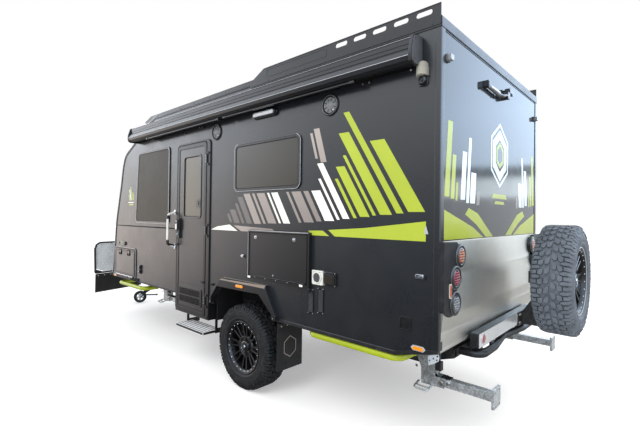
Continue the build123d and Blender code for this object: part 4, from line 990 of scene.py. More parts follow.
# lock: plate, paddle handle, key barrel, deadbolt
m = M().mat(FRAMEBLK)
m.prism(rrect(3136, 3204, 1392, 1624, 12, 5), "y", W + 16, W + 35)
m.prism(rrect(3146, 3194, 1486, 1606, 10, 5), "y", W + 33, W + 52)
m.done("door_lock_body", "entry_door", bevel=3.0, seg=3)
m = M().mat(CHROME)
m.prism(rrect(3152, 3188, 1494, 1560, 9, 5), "y", W + 51, W + 56)
m.cyl((3170, W + 34, 1442), (3170, W + 42, 1442), 15, 28)
m.cyl((3170, W + 34, 1412), (3170, W + 38, 1412), 7, 20)
m.cyl((3170, W + 50, 1588), (3170, W + 55, 1588), 9, 20)
m.done("door_lock_bright", "entry_door", bevel=1.2)
# painted shade: a black block stands for the dark slot of the keyway
m = M().mat(BLACK_AND_PAINTED_SHADE)
m.box(3168.8, 3171.2, W + 41.5, W + 42.6, 1434, 1450)
m.done("door_lock_keyway", "entry_door")
# hinge covers
m = M().mat(ALUBLK)
for hz in (760, 1500, 2260):
    m.cyl((2600, 1112, hz - 44), (2600, 1112, hz + 44), 8.2, 24)
m.done("door_hinge_barrels", "entry_door", bevel=1.0)
m = M().mat(ZINC)
for hz in (760, 1500, 2260):
    for dz in (-30, 0, 30):
        m.screw((2626, 1110, hz + dz), (0, 1, 0), 4.5, 2.5)
m.done("door_hinge_screws", "entry_door")
# painted reflection: a matte warm sheet on the outer pane of both front windows gives them a dull even tone in place of
# the glass's own reflection
for s, tag in ((1, "left"), (-1, "right")):
    m = M().mat(FRONT_PANE_PAINTED_REFLECTION)
    m.prism(rpoly([(3462, 1577), (3462, 2456), (4271.5, 2456), (4335.5, 1577)], 34, 6), "y", s * (W + 8.1), s * (W + 8.8))
    m.done("front_window_painted_reflection_" + tag)
# blind behind the door glass
m = M().mat(BLINDDK)
m.box(2716, 3079, W - 34, W - 32, 1632, 2318)
m.done("door_blind", "entry_door")
# catches on frame and leaf
m = M().mat(TRIM)
m.prism(rrect(2630, 2690, 938, 957, 6, 4), "y", W + 15, W + 24)
m.cyl((2640, W + 15, 948), (2640, W + 30, 948), 7, 20)
m.done("door_holdback_leaf", "entry_door", bevel=1.5)
m = M().mat(TRIM)
m.prism(rrect(2462, 2500, 934, 958, 6, 4), "y", W, W + 12)
m.cyl((2481, W + 10, 946), (2481, W + 26, 946), 6.5, 20)
m.done("door_holdback_wall", bevel=1.5)

# ------------------------------------------------------------------ grab handle: cast ends and a white grip
prof = fillet_path([(3285, W + 2, 1292), (3285, 1188, 1322), (3285, 1188, 1662), (3285, W + 2, 1692)], 40, 10)
m = M().mat(WHITEP)
m.tube(prof, 13.2, 20)
g = m.done("grab_handle_grip")
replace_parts(g, "grab_handle")
m = M().mat(CHROME)
for z in (1292, 1692):
    m.cyl((3285, W + 0.2, z), (3285, W + 9, z), 29, 32)
    m.cyl((3285, W + 8, z), (3285, W + 16, z + (6 if z < 1500 else -6)), 20, 28, r2=15)
    for a in (30, 150, 270):
        q = (3285 + 21 * math.cos(math.radians(a)), W + 8.6, z + 21 * math.sin(math.radians(a)))
        m.screw(q, (0, 1, 0), 4, 2.2)
m.done("grab_handle_roses", bevel=1.0)
m = M().mat(FRAMEBLK)
for z0, z1 in ((1330, 1372), (1612, 1654)):
    m.cyl((3285, 1188, z0), (3285, 1188, z1), 15.5, 24)
m.tube(fillet_path([(3285, W + 10, 1300), (3285, 1188, 1322), (3285, 1188, 1368)], 34, 8), 14.4, 20)
m.done("grab_handle_collars", bevel=2.0)


# ------------------------------------------------------------------ awning
refine("awning", EXTR, 1.6, 2, 24)
m = M().mat(EXTR)
for y0, y1, z0, z1 in ((W + 46, W + 50, 2811, 2815), (W + 72, W + 76, 2801, 2805.5), (W + 98, W + 106, 2784, 2791),
                       (W + 103.5, W + 107, 2752, 2760), (W + 103.5, W + 107, 2724, 2731), (W + 58, W + 65.5, 2690, 2698),
                       (W + 110, W + 119, 2706, 2714)):
    m.box(150, 4330, y0, y1, z0, z1)
m.done("awning_ribs", bevel=0.9)
# painted highlight: thin silver strips along the awning profile where its curved faces catch the light
m = M().mat(SILVER_AND_PAINTED_HIGHLIGHT)
m.box(152, 4328, W + 46.5, W + 49.5, 2815, 2816.6)
m.box(152, 4328, W + 133.6, W + 137.4, 2668, 2671)
m.box(152, 4328, W + 103.6, W + 106.0, 2789.5, 2792)
m.done("awning_painted_highlight_lines", bevel=0.5)
m = M().mat(ENDCAP)
for x0, x1 in ((124, 131), (4351.2, 4358)):
    pts = rpoly([(W + 2, 2624), (W + 2, 2814), (W + 50, 2814), (W + 106, 2793), (W + 132, 2710), (W + 133, 2670), (W + 126, 2636),
                 (W + 100, 2622)], 8, 4)
    m.prism(pts, "x", x0, x1)
m.done("awning_end_caps", bevel=2.5)
m = M().mat(TRIM)
for x, d in ((124, -1), (4358, 1)):
    for y, z in ((W + 18, 2644), (W + 18, 2796), (W + 96, 2780), (W + 112, 2650)):
        m.screw((x, y, z), (d, 0, 0), 5, 2.4)
m.cyl((4358, W + 60, 2740), (4366, W + 60, 2740), 13, 24)
m.done("awning_end_screws", bevel=0.6)
m = M().mat(SEAL)
m.box(152, 4328, W + 8, W + 58, 2628, 2633.5)
m.done("awning_roller_lip", bevel=1.0)
# folded legs under the lead rail, with their knuckles
m = M().mat(ALUBLK)
m.box(620, 2180, W + 76, W + 98, 2607, 2619)
m.box(2300, 3860, W + 76, W + 98, 2607, 2619)
for x in (620, 2180, 2300, 3860):
    m.box(x - 22, x + 22, W + 72, W + 102, 2603, 2621)
m.done("awning_folded_legs", bevel=2.0)
m = M().mat(EXTR)
for x in (560, 1650, 2740, 3900):
    m.box(x - 45, x + 45, W, W + 10, 2600, 2634)
m.done("awning_brackets", bevel=1.5)
m = M().mat(ZINC)
for x in (560, 1650, 2740, 3900):
    for d in (-28, 28):
        m.hexhead((x + d, W + 10, 2612), (0, 1, 0), 5.5, 4)
m.done("awning_bracket_bolts")

# ------------------------------------------------------------------ roof rails
refine("roof_rails", ALUBLK, 1.0, 2, 30)
m = M().mat(ALUBLK)
for s in (1, -1):
    m.box(2, 1880, s * (W + 4.8), s * (W + 8.5), 2862, 2870)
    m.box(4, 1700, s * (W + 4.8), s * (W + 7.5), 2990, 2997)
    m.box(1900, 3860, s * (W + 4.8), s * (W + 8.5), 2878, 2884)
m.done("roof_rail_folds", bevel=1.0)
m = M().mat(ALUBLK)
for s in (1, -1):
    for x in list(range(60, 1860, 225)) + list(range(2000, 3850, 300)):
        m.screw((x, s * (W + 5), 2878 if x < 1860 else 2894), (0, s, 0), 5, 2.4)
m.done("roof_rail_screws")
# raised border of the name place, left bare
m = M().mat(TRIM)
for s in (1, -1):
    m.ring(rrect(940, 1660, 2906, 2976, 22, 6), rrect(945, 1655, 2911, 2971, 17, 6), "y", s * (W + 4.8), s * (W + 6.6))
m.done("roof_rail_plain_panel_edge", bevel=0.5)

# ------------------------------------------------------------------ fittings on the left wall
def on_wall(s=1):
    return lambda y: s * (W + y)


fit_pieces = []


def fitting(m, name, **k):
    ob = m.done(name, **k)
    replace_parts(ob, "wall_fittings")
    return ob


# speakers
m, n, g, q = M().mat(TRIM), M().mat(SILVER_AND_PAINTED_HIGHLIGHT), M().mat(BLACK_AND_PAINTED_SHADE), M().mat(SPKGREY)
for sx in (2446, 898):
    c = (sx, W, 2520)
    m.lathe([(84, 0.2), (84, 7), (80, 12), (73, 14.5), (68, 12), (66, 5), (64, 2), (8, 2)], c, "y", 56)
    # painted shade: a black disc behind the cone stands for the dark gap round it
    g.lathe([(65.5, 2.2), (65.5, 3.4), (8, 3.4)], c, "y", 40)
    q.lathe([(62, 3.4), (60, 8), (54, 9), (50, 5.5), (44, 4.5), (34, 7), (30, 11), (24, 13.2), (1, 14)], c, "y", 48)
    q.lathe([(22, 12.8), (16, 16.5), (8, 18.4), (1, 19)], c, "y", 32)
    n.lathe([(75.5, 13.4), (74.8, 14.6), (74.0, 14.3), (74.3, 13.0)], c, "y", 56, closed=True)
    for k in range(8):
        a = math.radians(45 * k + 22.5)
        m.cyl((sx + 26 * math.cos(a), W + 8, 2520 + 26 * math.sin(a)), (sx + 66 * math.cos(a), W + 10, 2520 + 66 * math.sin(a)), 2.2, 8)
    n.cyl((sx - 38, W + 9, 2478), (sx - 38, W + 14, 2478), 6, 24)
fitting(m, "speaker_bodies", bevel=0.8)
n.done("speaker_bright_parts")
g.done("speaker_cone_backs")
q.done("speaker_cones")

# awning light: dark oval housing, ribbed lens
m = M().mat(FRAMEBLK)
m.prism(rrect(1500, 1842, 2546, 2616, 34, 8), "y", W + 0.2, W + 20)
m.prism(rrect(1514, 1828, 2554, 2608, 27, 8), "y", W + 19.5, W + 33)
fitting(m, "awning_light_body", bevel=4.0, seg=3)
m = M().mat(SILVER_AND_PAINTED_HIGHLIGHT)
m.ring(rrect(1532, 1810, 2563, 2599, 17, 6), rrect(1537, 1805, 2568, 2594, 12, 6), "y", W + 32, W + 36)
m.done("awning_light_bezel", bevel=1.0)
m = M().mat(LEDM)
m.prism(rrect(1538, 1804, 2569, 2593, 11, 6), "y", W + 32, W + 34.5)
for k in range(14):
    m.box(1549 + k * 18, 1559 + k * 18, W + 34.4, W + 36.4, 2573, 2589)
m.done("awning_light_lens", bevel=0.8)

# cap and socket near the rear corner
m = M().mat(CAPGR)
rings = []
for t, r in ((0, 40), (0.12, 40), (0.5, 39), (0.8, 33), (0.94, 22), (1.0, 8)):
    ring = []
    for k in range(20):
        a = math.pi * k / 19
        ring.append((118 - r * math.cos(a), W + 0.3 + 62 * math.sin(a) * (r / 40.0), 2562 + 96 * t))
    rings.append(ring)
m.loft(rings)
fitting(m, "lamp_cap", bevel=2.0, angle=50)
m = M().mat(BODY)
m.prism(rrect(80, 156, 2500, 2566, 20, 6), "y", W + 0.2, W + 9)
m.lathe([(30, 8), (30, 26), (26, 32), (18, 33), (16, 22)], (118, W, 2534), "y", 36)
m.done("lamp_cap_socket", bevel=2.0)
m = M().mat(TRIM)
m.cyl((118, W + 20, 2534), (118, W + 30, 2534), 8, 20)
m.done("lamp_cap_pin", bevel=1.0)
m = M().mat(SILVER_AND_PAINTED_HIGHLIGHT)
m.cyl((206, W + 0.2, 2624), (206, W + 6, 2624), 6, 16)
m.done("lamp_cable_gland", bevel=1.0)

# supply inlet: white square plate with a round hooded socket
m = M().mat(WHITEP)
m.prism(rrect(943, 1059, 1129, 1241, 8, 4), "y", W + 0.2, W + 14)
m.lathe([(46, 13), (46, 22), (43, 26), (38, 26), (36, 18), (36, 15)], (1001, W, 1185), "y", 48)
m.box(950, 1052, W + 14, W + 19, 1230, 1240)
fitting(m, "supply_inlet_body", bevel=2.0)
m = M().mat(TANKM)
m.lathe([(35.5, 15), (35.5, 20), (30, 21.5), (12, 21.5), (1, 21.5)], (1001, W, 1185), "y", 40)
m.done("supply_inlet_socket", bevel=0.8)
m = M().mat(CHROME)
for a in (90, 210, 330):
    q = (1001 + 18 * math.cos(math.radians(a)), 1185 + 18 * math.sin(math.radians(a)))
    m.cyl((q[0], W + 20, q[1]), (q[0], W + 27, q[1]), 3.6, 12)
for x, z in ((951, 1137), (1051, 1137), (951, 1233), (1051, 1233)):
    m.screw((x, W + 14, z), (0, 1, 0), 3.6, 2)
m.done("supply_inlet_pins")
# outlet box: hinged smoked cover
m = M().mat(FRAMEBLK)
m.prism(rrect(813, 929, 1133, 1239, 12, 5), "y", W + 0.2, W + 16)
m.prism(rrect(821, 921, 1141, 1225, 14, 5), "y", W + 15, W + 26)
m.box(836, 906, W + 15, W + 24, 1226, 1238)
fitting(m, "outlet_box", bevel=3.0, seg=3)
m = M().mat(GLASS)
m.prism(rrect(832, 910, 1152, 1214, 12, 5), "y", W + 25, W + 28.5)
m.done("outlet_box_cover", bevel=1.5)
m = M().mat(ZINC)
for x, z in ((820, 1139), (922, 1139), (820, 1233), (922, 1233)):
    m.screw((x, W + 16, z), (0, 1, 0), 3.4, 2)
m.done("outlet_box_screws")

# louvres
m, n, g = M().mat(ALUBLK), M().mat(ZINC), M().mat(BLACK_AND_PAINTED_SHADE)
for x0, x1, z0, z1 in ((1046, 1110, 888, 1088), (940, 1004, 905, 1105)):
    m.ring(rrect(x0, x1, z0, z1, 6, 3), rrect(x0 + 9, x1 - 9, z0 + 14, z1 - 14, 3, 3), "y", W + 0.2, W + 6)
    # painted shade: a black sheet behind the louvre blades
    g.box(x0 + 7, x1 - 7, W + 0.3, W + 1.2, z0 + 12, z1 - 12)
    k = z0 + 17
    while k < z1 - 18:
        m.prism([(W + 1, k + 6), (W + 6.5, k), (W + 7.2, k + 1.2), (W + 2.2, k + 8)], "x", x0 + 8, x1 - 8)
        k += 9.4
    for x, z in ((x0 + 6, z0 + 6), (x1 - 6, z0 + 6), (x0 + 6, z1 - 6), (x1 - 6, z1 - 6)):
        n.screw((x, W + 6, z), (0, 1, 0), 4, 2.2)
fitting(m, "wall_louvres", bevel=0.8)
g.done("louvre_backs")
n.done("louvre_screws")


def flush_latch(name, x0, x1, z0, z1, mat=None, paddle=None, s=1, y=0.2, body="caravan"):
    m = M().mat(mat or FRAMEBLK)
    r = min(x1 - x0, z1 - z0) * 0.2
    m.ring(rrect(x0, x1, z0, z1, r, 4), rrect(x0 + 7, x1 - 7, z0 + 7, z1 - 7, r * 0.7, 4), "y", s * (W + y), s * (W + y + 8))
    ob = m.done(name, body, bevel=1.8)
    n = M().mat(paddle or CHROME)
    n.prism(rrect(x0 + 9, x1 - 9, z0 + (z1 - z0) * 0.38, z1 - 9, r * 0.5, 4), "y", s * (W + y + 1), s * (W + y + 7.5))
    n.cyl(((x0 + x1) / 2, s * (W + y + 1), z0 + (z1 - z0) * 0.22), ((x0 + x1) / 2, s * (W + y + 6.5), z0 + (z1 - z0) * 0.22),
          min(x1 - x0, z1 - z0) * 0.11, 18)
    n.done(name + "_paddle", body, bevel=1.2)
    # painted shade: a black sheet in the latch well
    g = M().mat(BLACK_AND_PAINTED_SHADE)
    g.prism(rrect(x0 + 5, x1 - 5, z0 + 5, z1 - 5, r * 0.6, 4), "y", s * (W + y), s * (W + y + 1.4))
    g.done(name + "_well", body)
    return ob


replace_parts(flush_latch("rear_side_latch", 183, 268, 931, 1019, FRAMEBLK, ALUBLK), "wall_fittings")
# catches in bright metal
for nm, x0, x1, z0, z1 in (("catch_rear", 88, 160, 1272, 1303), ("catch_front", 1946, 2004, 1264, 1292)):
    m = M().mat(CHROME)
    m.prism(rrect(x0, x1, z0, z1, (z1 - z0) * 0.48, 6), "y", W + 0.2, W + 7)
    m.prism(rrect(x0 + 10, x0 + (x1 - x0) * 0.55, z0 + 5, z1 - 5, (z1 - z0) * 0.3, 6), "y", W + 6.5, W + 17)
    m.done(nm, bevel=2.2, seg=3)
    m = M().mat(FRAMEBLK)
    m.prism(rrect(x0 - 6, x0 + 12, z0 - 3, z1 + 3, 6, 4), "y", W + 0.2, W + 8)
    m.done(nm + "_mount", bevel=1.5)
m = M().mat(SILVER_AND_PAINTED_HIGHLIGHT)
m.prism([(72, 1560), (100, 1560), (96, 1600), (88, 1612)], "y", W + 0.2, W + 2)
m.done("corner_marker_plate", bevel=0.5)
# tap box and lamp by the boot
m = M().mat(FRAMEBLK)
m.prism(rrect(4178, 4232, 872, 990, 8, 4), "y", W + 0.2, W + 15)
m.prism(rrect(4188, 4222, 934, 982, 5, 4), "y", W + 14, W + 24)
m.prism(rrect(4188, 4222, 882, 924, 5, 4), "y", W + 14, W + 24)
fitting(m, "tap_box", bevel=2.5)
m = M().mat(SILVER_AND_PAINTED_HIGHLIGHT)
m.cyl((4205, W + 23, 958), (4205, W + 30, 958), 9, 20)
m.cyl((4205, W + 23, 903), (4205, W + 30, 903), 9, 20)
m.done("tap_box_nozzles", bevel=1.0)
m = M().mat(BLACK_AND_PAINTED_SHADE)
m.prism(rrect(4246, 4500, 755, 796, 19, 8), "y", W + 0.2, W + 14)
fitting(m, "skirt_drain_bezel", bevel=2.5)
m = M().mat(FRAMEBLK)
m.prism(rrect(4684, 4862, 1218, 1272, 26, 8), "y", W + 0.2, W + 16)
fitting(m, "boot_light_body", bevel=5.0, seg=3)
m = M().mat(CAPGR)
m.prism(rrect(4716, 4830, 1222, 1268, 8, 6), "y", W + 15.5, W + 21)
m.done("boot_light_lens", bevel=2.0)
m = M().mat(FRAMEBLK)
m.prism(rrect(4872, 4962, 1236, 1262, 12, 5), "y", W + 0.2, W + 20)
m.done("boot_light_arm", bevel=4.0)

# ------------------------------------------------------------------ folding table hatch
refine("folding_table", TABLEM, 1.6, 2, 28)
refine("hatch_frames", ALUBLK, 1.4, 2, 28)
m = M().mat(EXTR)
m.box(1076, 1856, W + 28, W + 36, 1517, 1532)
m.box(1840, 1856, W + 28, W + 36, 1088, 1532)
m.done("table_frame_front_lip", bevel=2.0)
# painted highlight: a thin silver strip along the top and front edges of the lip
m = M().mat(SILVER_AND_PAINTED_HIGHLIGHT)
m.box(1080, 1852, W + 35.6, W + 37.2, 1526.5, 1530.5)
m.box(1850.5, 1854.0, W + 35.6, W + 37.2, 1096, 1526)
m.done("table_frame_painted_highlight_edge", bevel=0.5)
m = M().mat(SEAL)
m.ring(rrect(1094, 1838, 1116, 1514, 5, 3), rrect(1101, 1831, 1123, 1507, 4, 3), "y", W + 8, W + 26)
m.done("table_gasket", bevel=1.0)
m = M().mat(ALUBLK)
m.ring(rrect(1104, 1828, 1126, 1504, 8, 4), rrect(1110, 1822, 1132, 1498, 6, 4), "y", 1124.8, 1126.4)
m.done("table_leaf_swage", "folding_table", bevel=0.9)
m = M().mat(CHROME)
for x in (1746, 1246):
    m.prism(rrect(x - 17, x + 17, 1454, 1482, 7, 4), "y", 1124.8, 1129)
    m.cyl((x, 1128.5, 1468), (x, 1134, 1468), 8.5, 24)
    m.box(x - 12, x + 12, 1133, 1137.5, 1465, 1471)
m.cyl((1500, 1124.8, 1146), (1500, 1131, 1146), 9, 24)
m.done("table_latches", "folding_table", bevel=1.1)
m = M().mat(WHITEP)
for x in (1838, 1166):
    m.prism(rrect(x - 24, x + 12, 1094, 1112, 5, 4), "y", 1125.6, 1131)
m.done("table_stay_ends", bevel=1.2)
m = M().mat(ZINC)
for k in range(5):
    m.screw((1180 + k * 143, 1125.2, 1108), (0, 1, 0), 4.2, 2.2)
m.done("table_hinge_screws")

# ------------------------------------------------------------------ front boot hatches
for s, tag in ((1, "left"), (-1, "right")):
    refine(tag + "_boot_hatch", BODY, 2.0, 2, 28)
    m = M().mat(SILVER_AND_PAINTED_HIGHLIGHT)
    m.ring(rrect(4338, 5060, 784, 1194, 52, 8), rrect(4343, 5055, 789, 1189, 48, 8), "y", s * (W + 7.4), s * (W + 10.2))
    m.done("boot_frame_bead_" + tag, bevel=0.8)
    m = M().mat(SEAL)
    m.ring(rrect(4356, 5042, 800, 1176, 40, 8), rrect(4362, 5036, 806, 1170, 34, 8), "y", s * (W - 6), s * (W + 6))
    m.done("boot_gasket_" + tag, bevel=0.8)
    m = M().mat(ALUBLK)
    m.ring(rrect(4372, 5026, 818, 1160, 28, 6), rrect(4396, 5002, 842, 1136, 20, 6), "y", s * (W + 12.8), s * (W + 15.4))
    m.done("boot_leaf_rim_" + tag, tag + "_boot_hatch", bevel=1.6)
    for k, x in enumerate((4556, 4840)):
        flush_latch("boot_latch_%d_%s" % (k, tag), x - 42, x + 42, 1084, 1162, BLACK_AND_PAINTED_SHADE, FRAMEBLK, s, 13.0, tag + "_boot_hatch")
    m = M().mat(CHROME)
    for k in range(7):
        if k % 2 == 1:
            a, b = 4420 + k * 80 + 2, 4420 + (k + 1) * 80 - 2
            m.cyl((a, s * 1108, 800), (b, s * 1108, 800), 4.6, 16)
    m.done("boot_hinge_moving_" + tag, tag + "_boot_hatch")
    m = M().mat(CHROME)
    for k in range(7):
        if k % 2 == 0:
            a, b = 4420 + k * 80 + 2, 4420 + (k + 1) * 80 - 2
            m.cyl((a, s * 1108, 800), (b, s * 1108, 800), 4.6, 16)
            m.screw((a + 20, s * (W + 13.2), 790), (0, s, 0), 3.6, 2)
            m.screw((b - 20, s * (W + 13.2), 790), (0, s, 0), 3.6, 2)
    m.done("boot_hinge_fixed_" + tag)

# ------------------------------------------------------------------ wheel arch flares, markers and flaps
refine("arch_flares", EXTR, 2.5, 3, 24)
for s, tag in ((1, "left"), (-1, "right")):
    # paler strip laid on the sloped shelf's upward face
    m = M().mat(GREYF)
    m.prism([(s * (W + 4), 1046.6), (s * (W + 22), 1046.6), (s * (W + 22), 1045.2), (s * (W + 4), 1045.2)], "x", 1616, 2262)
    m.done("flare_top_strip_" + tag, bevel=0.4)
    # paler band along the flare's chamfered upper edge
    m = M().mat(FLARETOP)
    rings = []
    for x, zt in ((1604, 1045.9), (2272, 1034.1)):
        yt = 22 + (1060 - zt) * 0.76
        rings.append([(x, s * (W + a), c) for a, c in ((yt + 0.3, zt + 0.2), (49.3, 1024.4), (48.7, 1024.0), (yt - 0.2, zt - 0.2))])
    m.loft(rings)
    m.done("flare_edge_pale_band_" + tag)
    m = M().mat(ZINC)
    for x, z in ((1470, 790), (1530, 920), (1600, 1010), (1760, 1012), (1960, 1010), (2160, 1006), (2290, 1000), (2380, 900), (2446, 800)):
        pass
    for x, z in ((1480, 782), (2452, 782)):
        m.screw((x, s * (W + 50), z), (0, s, 0), 5, 2.4)
    for x in range(1660, 2260, 110):
        m.screw((x, s * (W + 44), 1003 if x < 2000 else 1000), (0, s, 0), 3.5, 1.5)
    m.done("flare_screws_" + tag)
    m = M().mat(AMBER)
    hexs = [(1896, 998.5), (1910, 985), (2000, 985), (2014, 998.5), (2000, 1012), (1910, 1012)]
    m.prism(hexs, "y", s * (W + 50.2), s * (W + 59.6))
    l1 = m.done("flare_marker_" + tag, bevel=3.0, seg=3)
    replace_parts(l1, "lamps")
    m = M().mat(AMBER)
    m.prism([(94, 832), (104, 821), (164, 821), (174, 832), (164, 843), (104, 843)], "y", s * (W + 4), s * (W + 13))
    m.done("rear_marker_lens_" + tag, bevel=2.5, seg=3)
    m = M().mat(SILVER_AND_PAINTED_HIGHLIGHT)
    m.prism([(82, 832), (98, 815), (170, 815), (186, 832), (170, 849), (98, 849)], "y", s * (W + 1), s * (W + 5.4))
    m.done("rear_marker_base_" + tag, bevel=1.2)
    m = M().mat(AMBER)
    m.prism(rrect(4990, 5052, 757, 781, 8, 4), "y", s * (W + 5), s * (W + 15))
    m.done("front_marker_lens_" + tag, bevel=2.5, seg=3)
    m = M().mat(FLAPM)
    m.box(1483, 1491, s * 777, s * 1082, 304, 712)
    fl = m.done("mud_flap_sheet_" + tag, bevel=1.5)
    m = M().mat(TRIM)
    m.box(1470, 1476.5, s * 720, s * 1080, 688, 724)
    m.box(1476, 1492, s * 716, s * 1080, 712, 724)
    m.done("mud_flap_hanger_" + tag, bevel=1.2)
    m = M().mat(ZINC)
    for yy in range(760, 1070, 72):
        m.hexhead((1470, s * yy, 700), (-1, 0, 0), 5, 4)
    m.done("mud_flap_bolts_" + tag)
    # moulded ribs and a plain outline where a print would sit
    m = M().mat(TRIM)
    for k in range(3):
        m.box(1480.5, 1483.5, s * 796, s * 1062, 318 + k * 16, 324 + k * 16)
    m.done("mud_flap_ribs_" + tag, bevel=0.8)
    m = M().mat(GREYF)
    cxm, czm = s * 930, 500
    o = [(cxm + s * 84 * math.cos(math.radians(60 * k + 30)), czm + 96 * math.sin(math.radians(60 * k + 30))) for k in range(6)]
    i = [(cxm + s * 78 * math.cos(math.radians(60 * k + 30)), czm + 89 * math.sin(math.radians(60 * k + 30))) for k in range(6)]
    m.ring(o, i, "x", 1481.8, 1483.2)
    m.done("mud_flap_outline_" + tag)
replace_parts(bpy.data.objects["mud_flap_sheet_left"], "mud_flaps")


# ------------------------------------------------------------------ rear wall: lower panel, seams, films
def on_rear(m, pts, x0=-0.15, x1=-0.65):
    """Sheet laid on the rear wall, pts in y,z."""
    m.prism(pts, "x", x0, x1)


m = M().mat(REARLOW)
# folded sheet: leans out slightly to a crease, then back to the foot
rings = []
for z, dx in ((1512, -3), (1480, -4), (1300, -9), (1120, -15), (1060, -17.5), (1044, -17.5), (1030, -15), (930, -7), (846, -3)):
    rings.append([(dx, 1072, z), (dx, -1072, z)])
bk = [[(-0.2, 1072, z), (-0.2, -1072, z)] for z in (1512, 1480, 1300, 1120, 1060, 1044, 1030, 930, 846)]
vs = [[m.v(p) for p in r] for r in rings]
vb = [[m.v(p) for p in r] for r in bk]
for a, b in zip(vs, vs[1:]):
    m.f([a[0], a[1], b[1], b[0]])
for a, b in zip(vb, vb[1:]):
    m.f([a[1], a[0], b[0], b[1]])
for j in (0, 1):
    for k in range(len(vs) - 1):
        q = [vs[k][j], vs[k + 1][j], vb[k + 1][j], vb[k][j]]
        m.f(q)
m.f([vs[0][0], vs[0][1], vb[0][1], vb[0][0]])
m.f([vs[-1][0], vs[-1][1], vb[-1][1], vb[-1][0]])
m.done("rear_lower_panel", angle=12)
m = M().mat(WHITEF)
m.box(-4.6, -0.2, -1060, 1060, 1511, 1517)
m.done("rear_panel_white_line", bevel=0.6)
m = M().mat(BLACK_AND_PAINTED_SHADE)
m.box(-1.0, -0.1, -1060, 1060, 2834, 2840)
m.done("rear_header_joint")
m = M().mat(TRIM)
m.box(-4, -0.2, -1092, 1092, 2848, 2852)
m.done("rear_header_drip", bevel=1.2)
m = M().mat(ROOFM)
m.prism([(-6, 2852), (-6, 2910), (-2, 2919), (30, 2921.5), (30, 2919.9), (-0.2, 2919.9), (-0.2, 2852)], "y", -1092, 1092)
m.done("rear_roof_cap", bevel=1.0)
m = M().mat(REARLOW)
m.box(-4, -0.2, -1072, 1072, 826, 845.5)
m.done("rear_foot_trim", bevel=2.0)

ml, mw, mp, mg = M().mat(LIME), M().mat(WHITEF), M().mat(PALEF), M().mat(DGREYF)


def rbar(m, s, y0, w, z0, z1, slant=0.22):
    """Bar on the rear wall; y0 counts inwards from the edge of side s."""
    d = slant * (z1 - z0)
    pts = [(1030 - y0, z0), (1030 - y0 - w, z0), (1030 - y0 - w - d, z1), (1030 - y0 - d, z1)]
    on_rear(m, [(s * a, b) for a, b in pts])


for s in (1, -1):
    on_rear(ml, [(s * a, b) for a, b in ((1030, 1524), (360, 1524), (560, 1600), (1030, 1716))])
    on_rear(ml, [(s * a, b) for a, b in ((300, 1524), (150, 1524), (470, 1700), (640, 1736), (700, 1690), (500, 1620))])
    rbar(ml, s, 0, 70, 1800, 2290, 0.10)
    rbar(ml, s, 92, 56, 1790, 2080, 0.10)
    rbar(ml, s, 168, 28, 1780, 1900, 0.10)
    rbar(mp, s, 250, 70, 1790, 2120, 0.10)
    rbar(mp, s, 346, 44, 1770, 2230, 0.10)
    rbar(mp, s, 412, 90, 1770, 1990, 0.10)
    rbar(mg, s, 530, 60, 1760, 1860, 0.10)
ml.done("rear_film_lime")
mp.done("rear_film_pale")
mg.done("rear_film_dark")
# plain nested outlines in the middle
m = M().mat(PALEF)


def hexa(cy, cz, r, h=1.12):
    return [(cy + r * math.cos(math.radians(60 * k + 30)), cz + h * r * math.sin(math.radians(60 * k + 30))) for k in range(6)]


for r0, r1 in ((236, 214), (186, 120)):
    m.ring(hexa(0, 2180, r0), hexa(0, 2180, r1), "x", -0.15, -0.65)
m.done("rear_film_outlines")
m = M().mat(LIME)
m.ring(hexa(0, 2180, 96), hexa(0, 2180, 66), "x", -0.15, -0.65)
m.prism([(-180, 1826), (180, 1826), (150, 1862), (-150, 1862)], "x", -0.15, -0.65)
m.prism([(-120, 1780), (120, 1780), (100, 1804), (-100, 1804)], "x", -0.15, -0.65)
m.done("rear_film_centre")

# ------------------------------------------------------------------ rear header fittings
m = M().mat(FRAMEBLK)
m.prism(rrect(350, 390, 2642, 2698, 12, 5), "x", -42, -0.5)
m.prism(rrect(356, 384, 2650, 2690, 8, 5), "x", -45, -41)
ob = m.done("work_light_block", bevel=4.0, seg=3)
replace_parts(ob, "wall_fittings")
m = M().mat(MILLED)
m.cyl((-26, 122, 2652), (-26, 350, 2664), 17, 36)
m.cyl((-26, 112, 2651.5), (-26, 124, 2652), 19.5, 36)
m.cyl((-26, 338, 2663.4), (-26, 350, 2664), 19.5, 36)
m.done("work_light_tube", bevel=2.0)
m = M().mat(LEDM)
m.box(-45, -38, 144, 322, 2652, 2664)
for k in range(10):
    m.cyl((-42, 154 + k * 17, 2658), (-47, 154 + k * 17, 2658), 6.0, 16)
m.done("work_light_leds", bevel=1.0)
m = M().mat(FRAMEBLK)
m.tube(fillet_path([(-24, 118, 2652), (-34, 50, 2654), (-40, -30, 2676), (-40, -90, 2712)], 40, 8), 13, 16)
m.prism(rrect(-84, -30, 2650, 2706, 10, 4), "x", -52, -0.5)
m.done("camera_arm", bevel=1.5)
m = M().mat(FRAMEBLK)
m.prism(rrect(-190, -66, 2702, 2746, 12, 5), "x", -46, -12)
m.prism([(-54, 2748), (-54, 2706), (-50, 2748)], "y", -186, -70)
m.box(-22, -0.5, -160, -100, 2706, 2744)
m.done("camera_body", bevel=4.0, seg=3)
m = M().mat(RINGGR)
m.cyl((-46, -128, 2724), (-50, -128, 2724), 15, 32)
m.done("camera_bezel", bevel=1.5)
m = M().mat(GLASS)
m.lathe([(1, -54.0), (6, -53.2), (11, -51), (11, -49)], (0, -128, 2724), "x", 32)
m.done("camera_lens")
m = M().mat(RINGGR)
for y in (-176, -160, -96, -82):
    m.cyl((-46, y, 2724), (-48, y, 2724), 5.5, 18)
m.done("camera_leds", bevel=0.6)

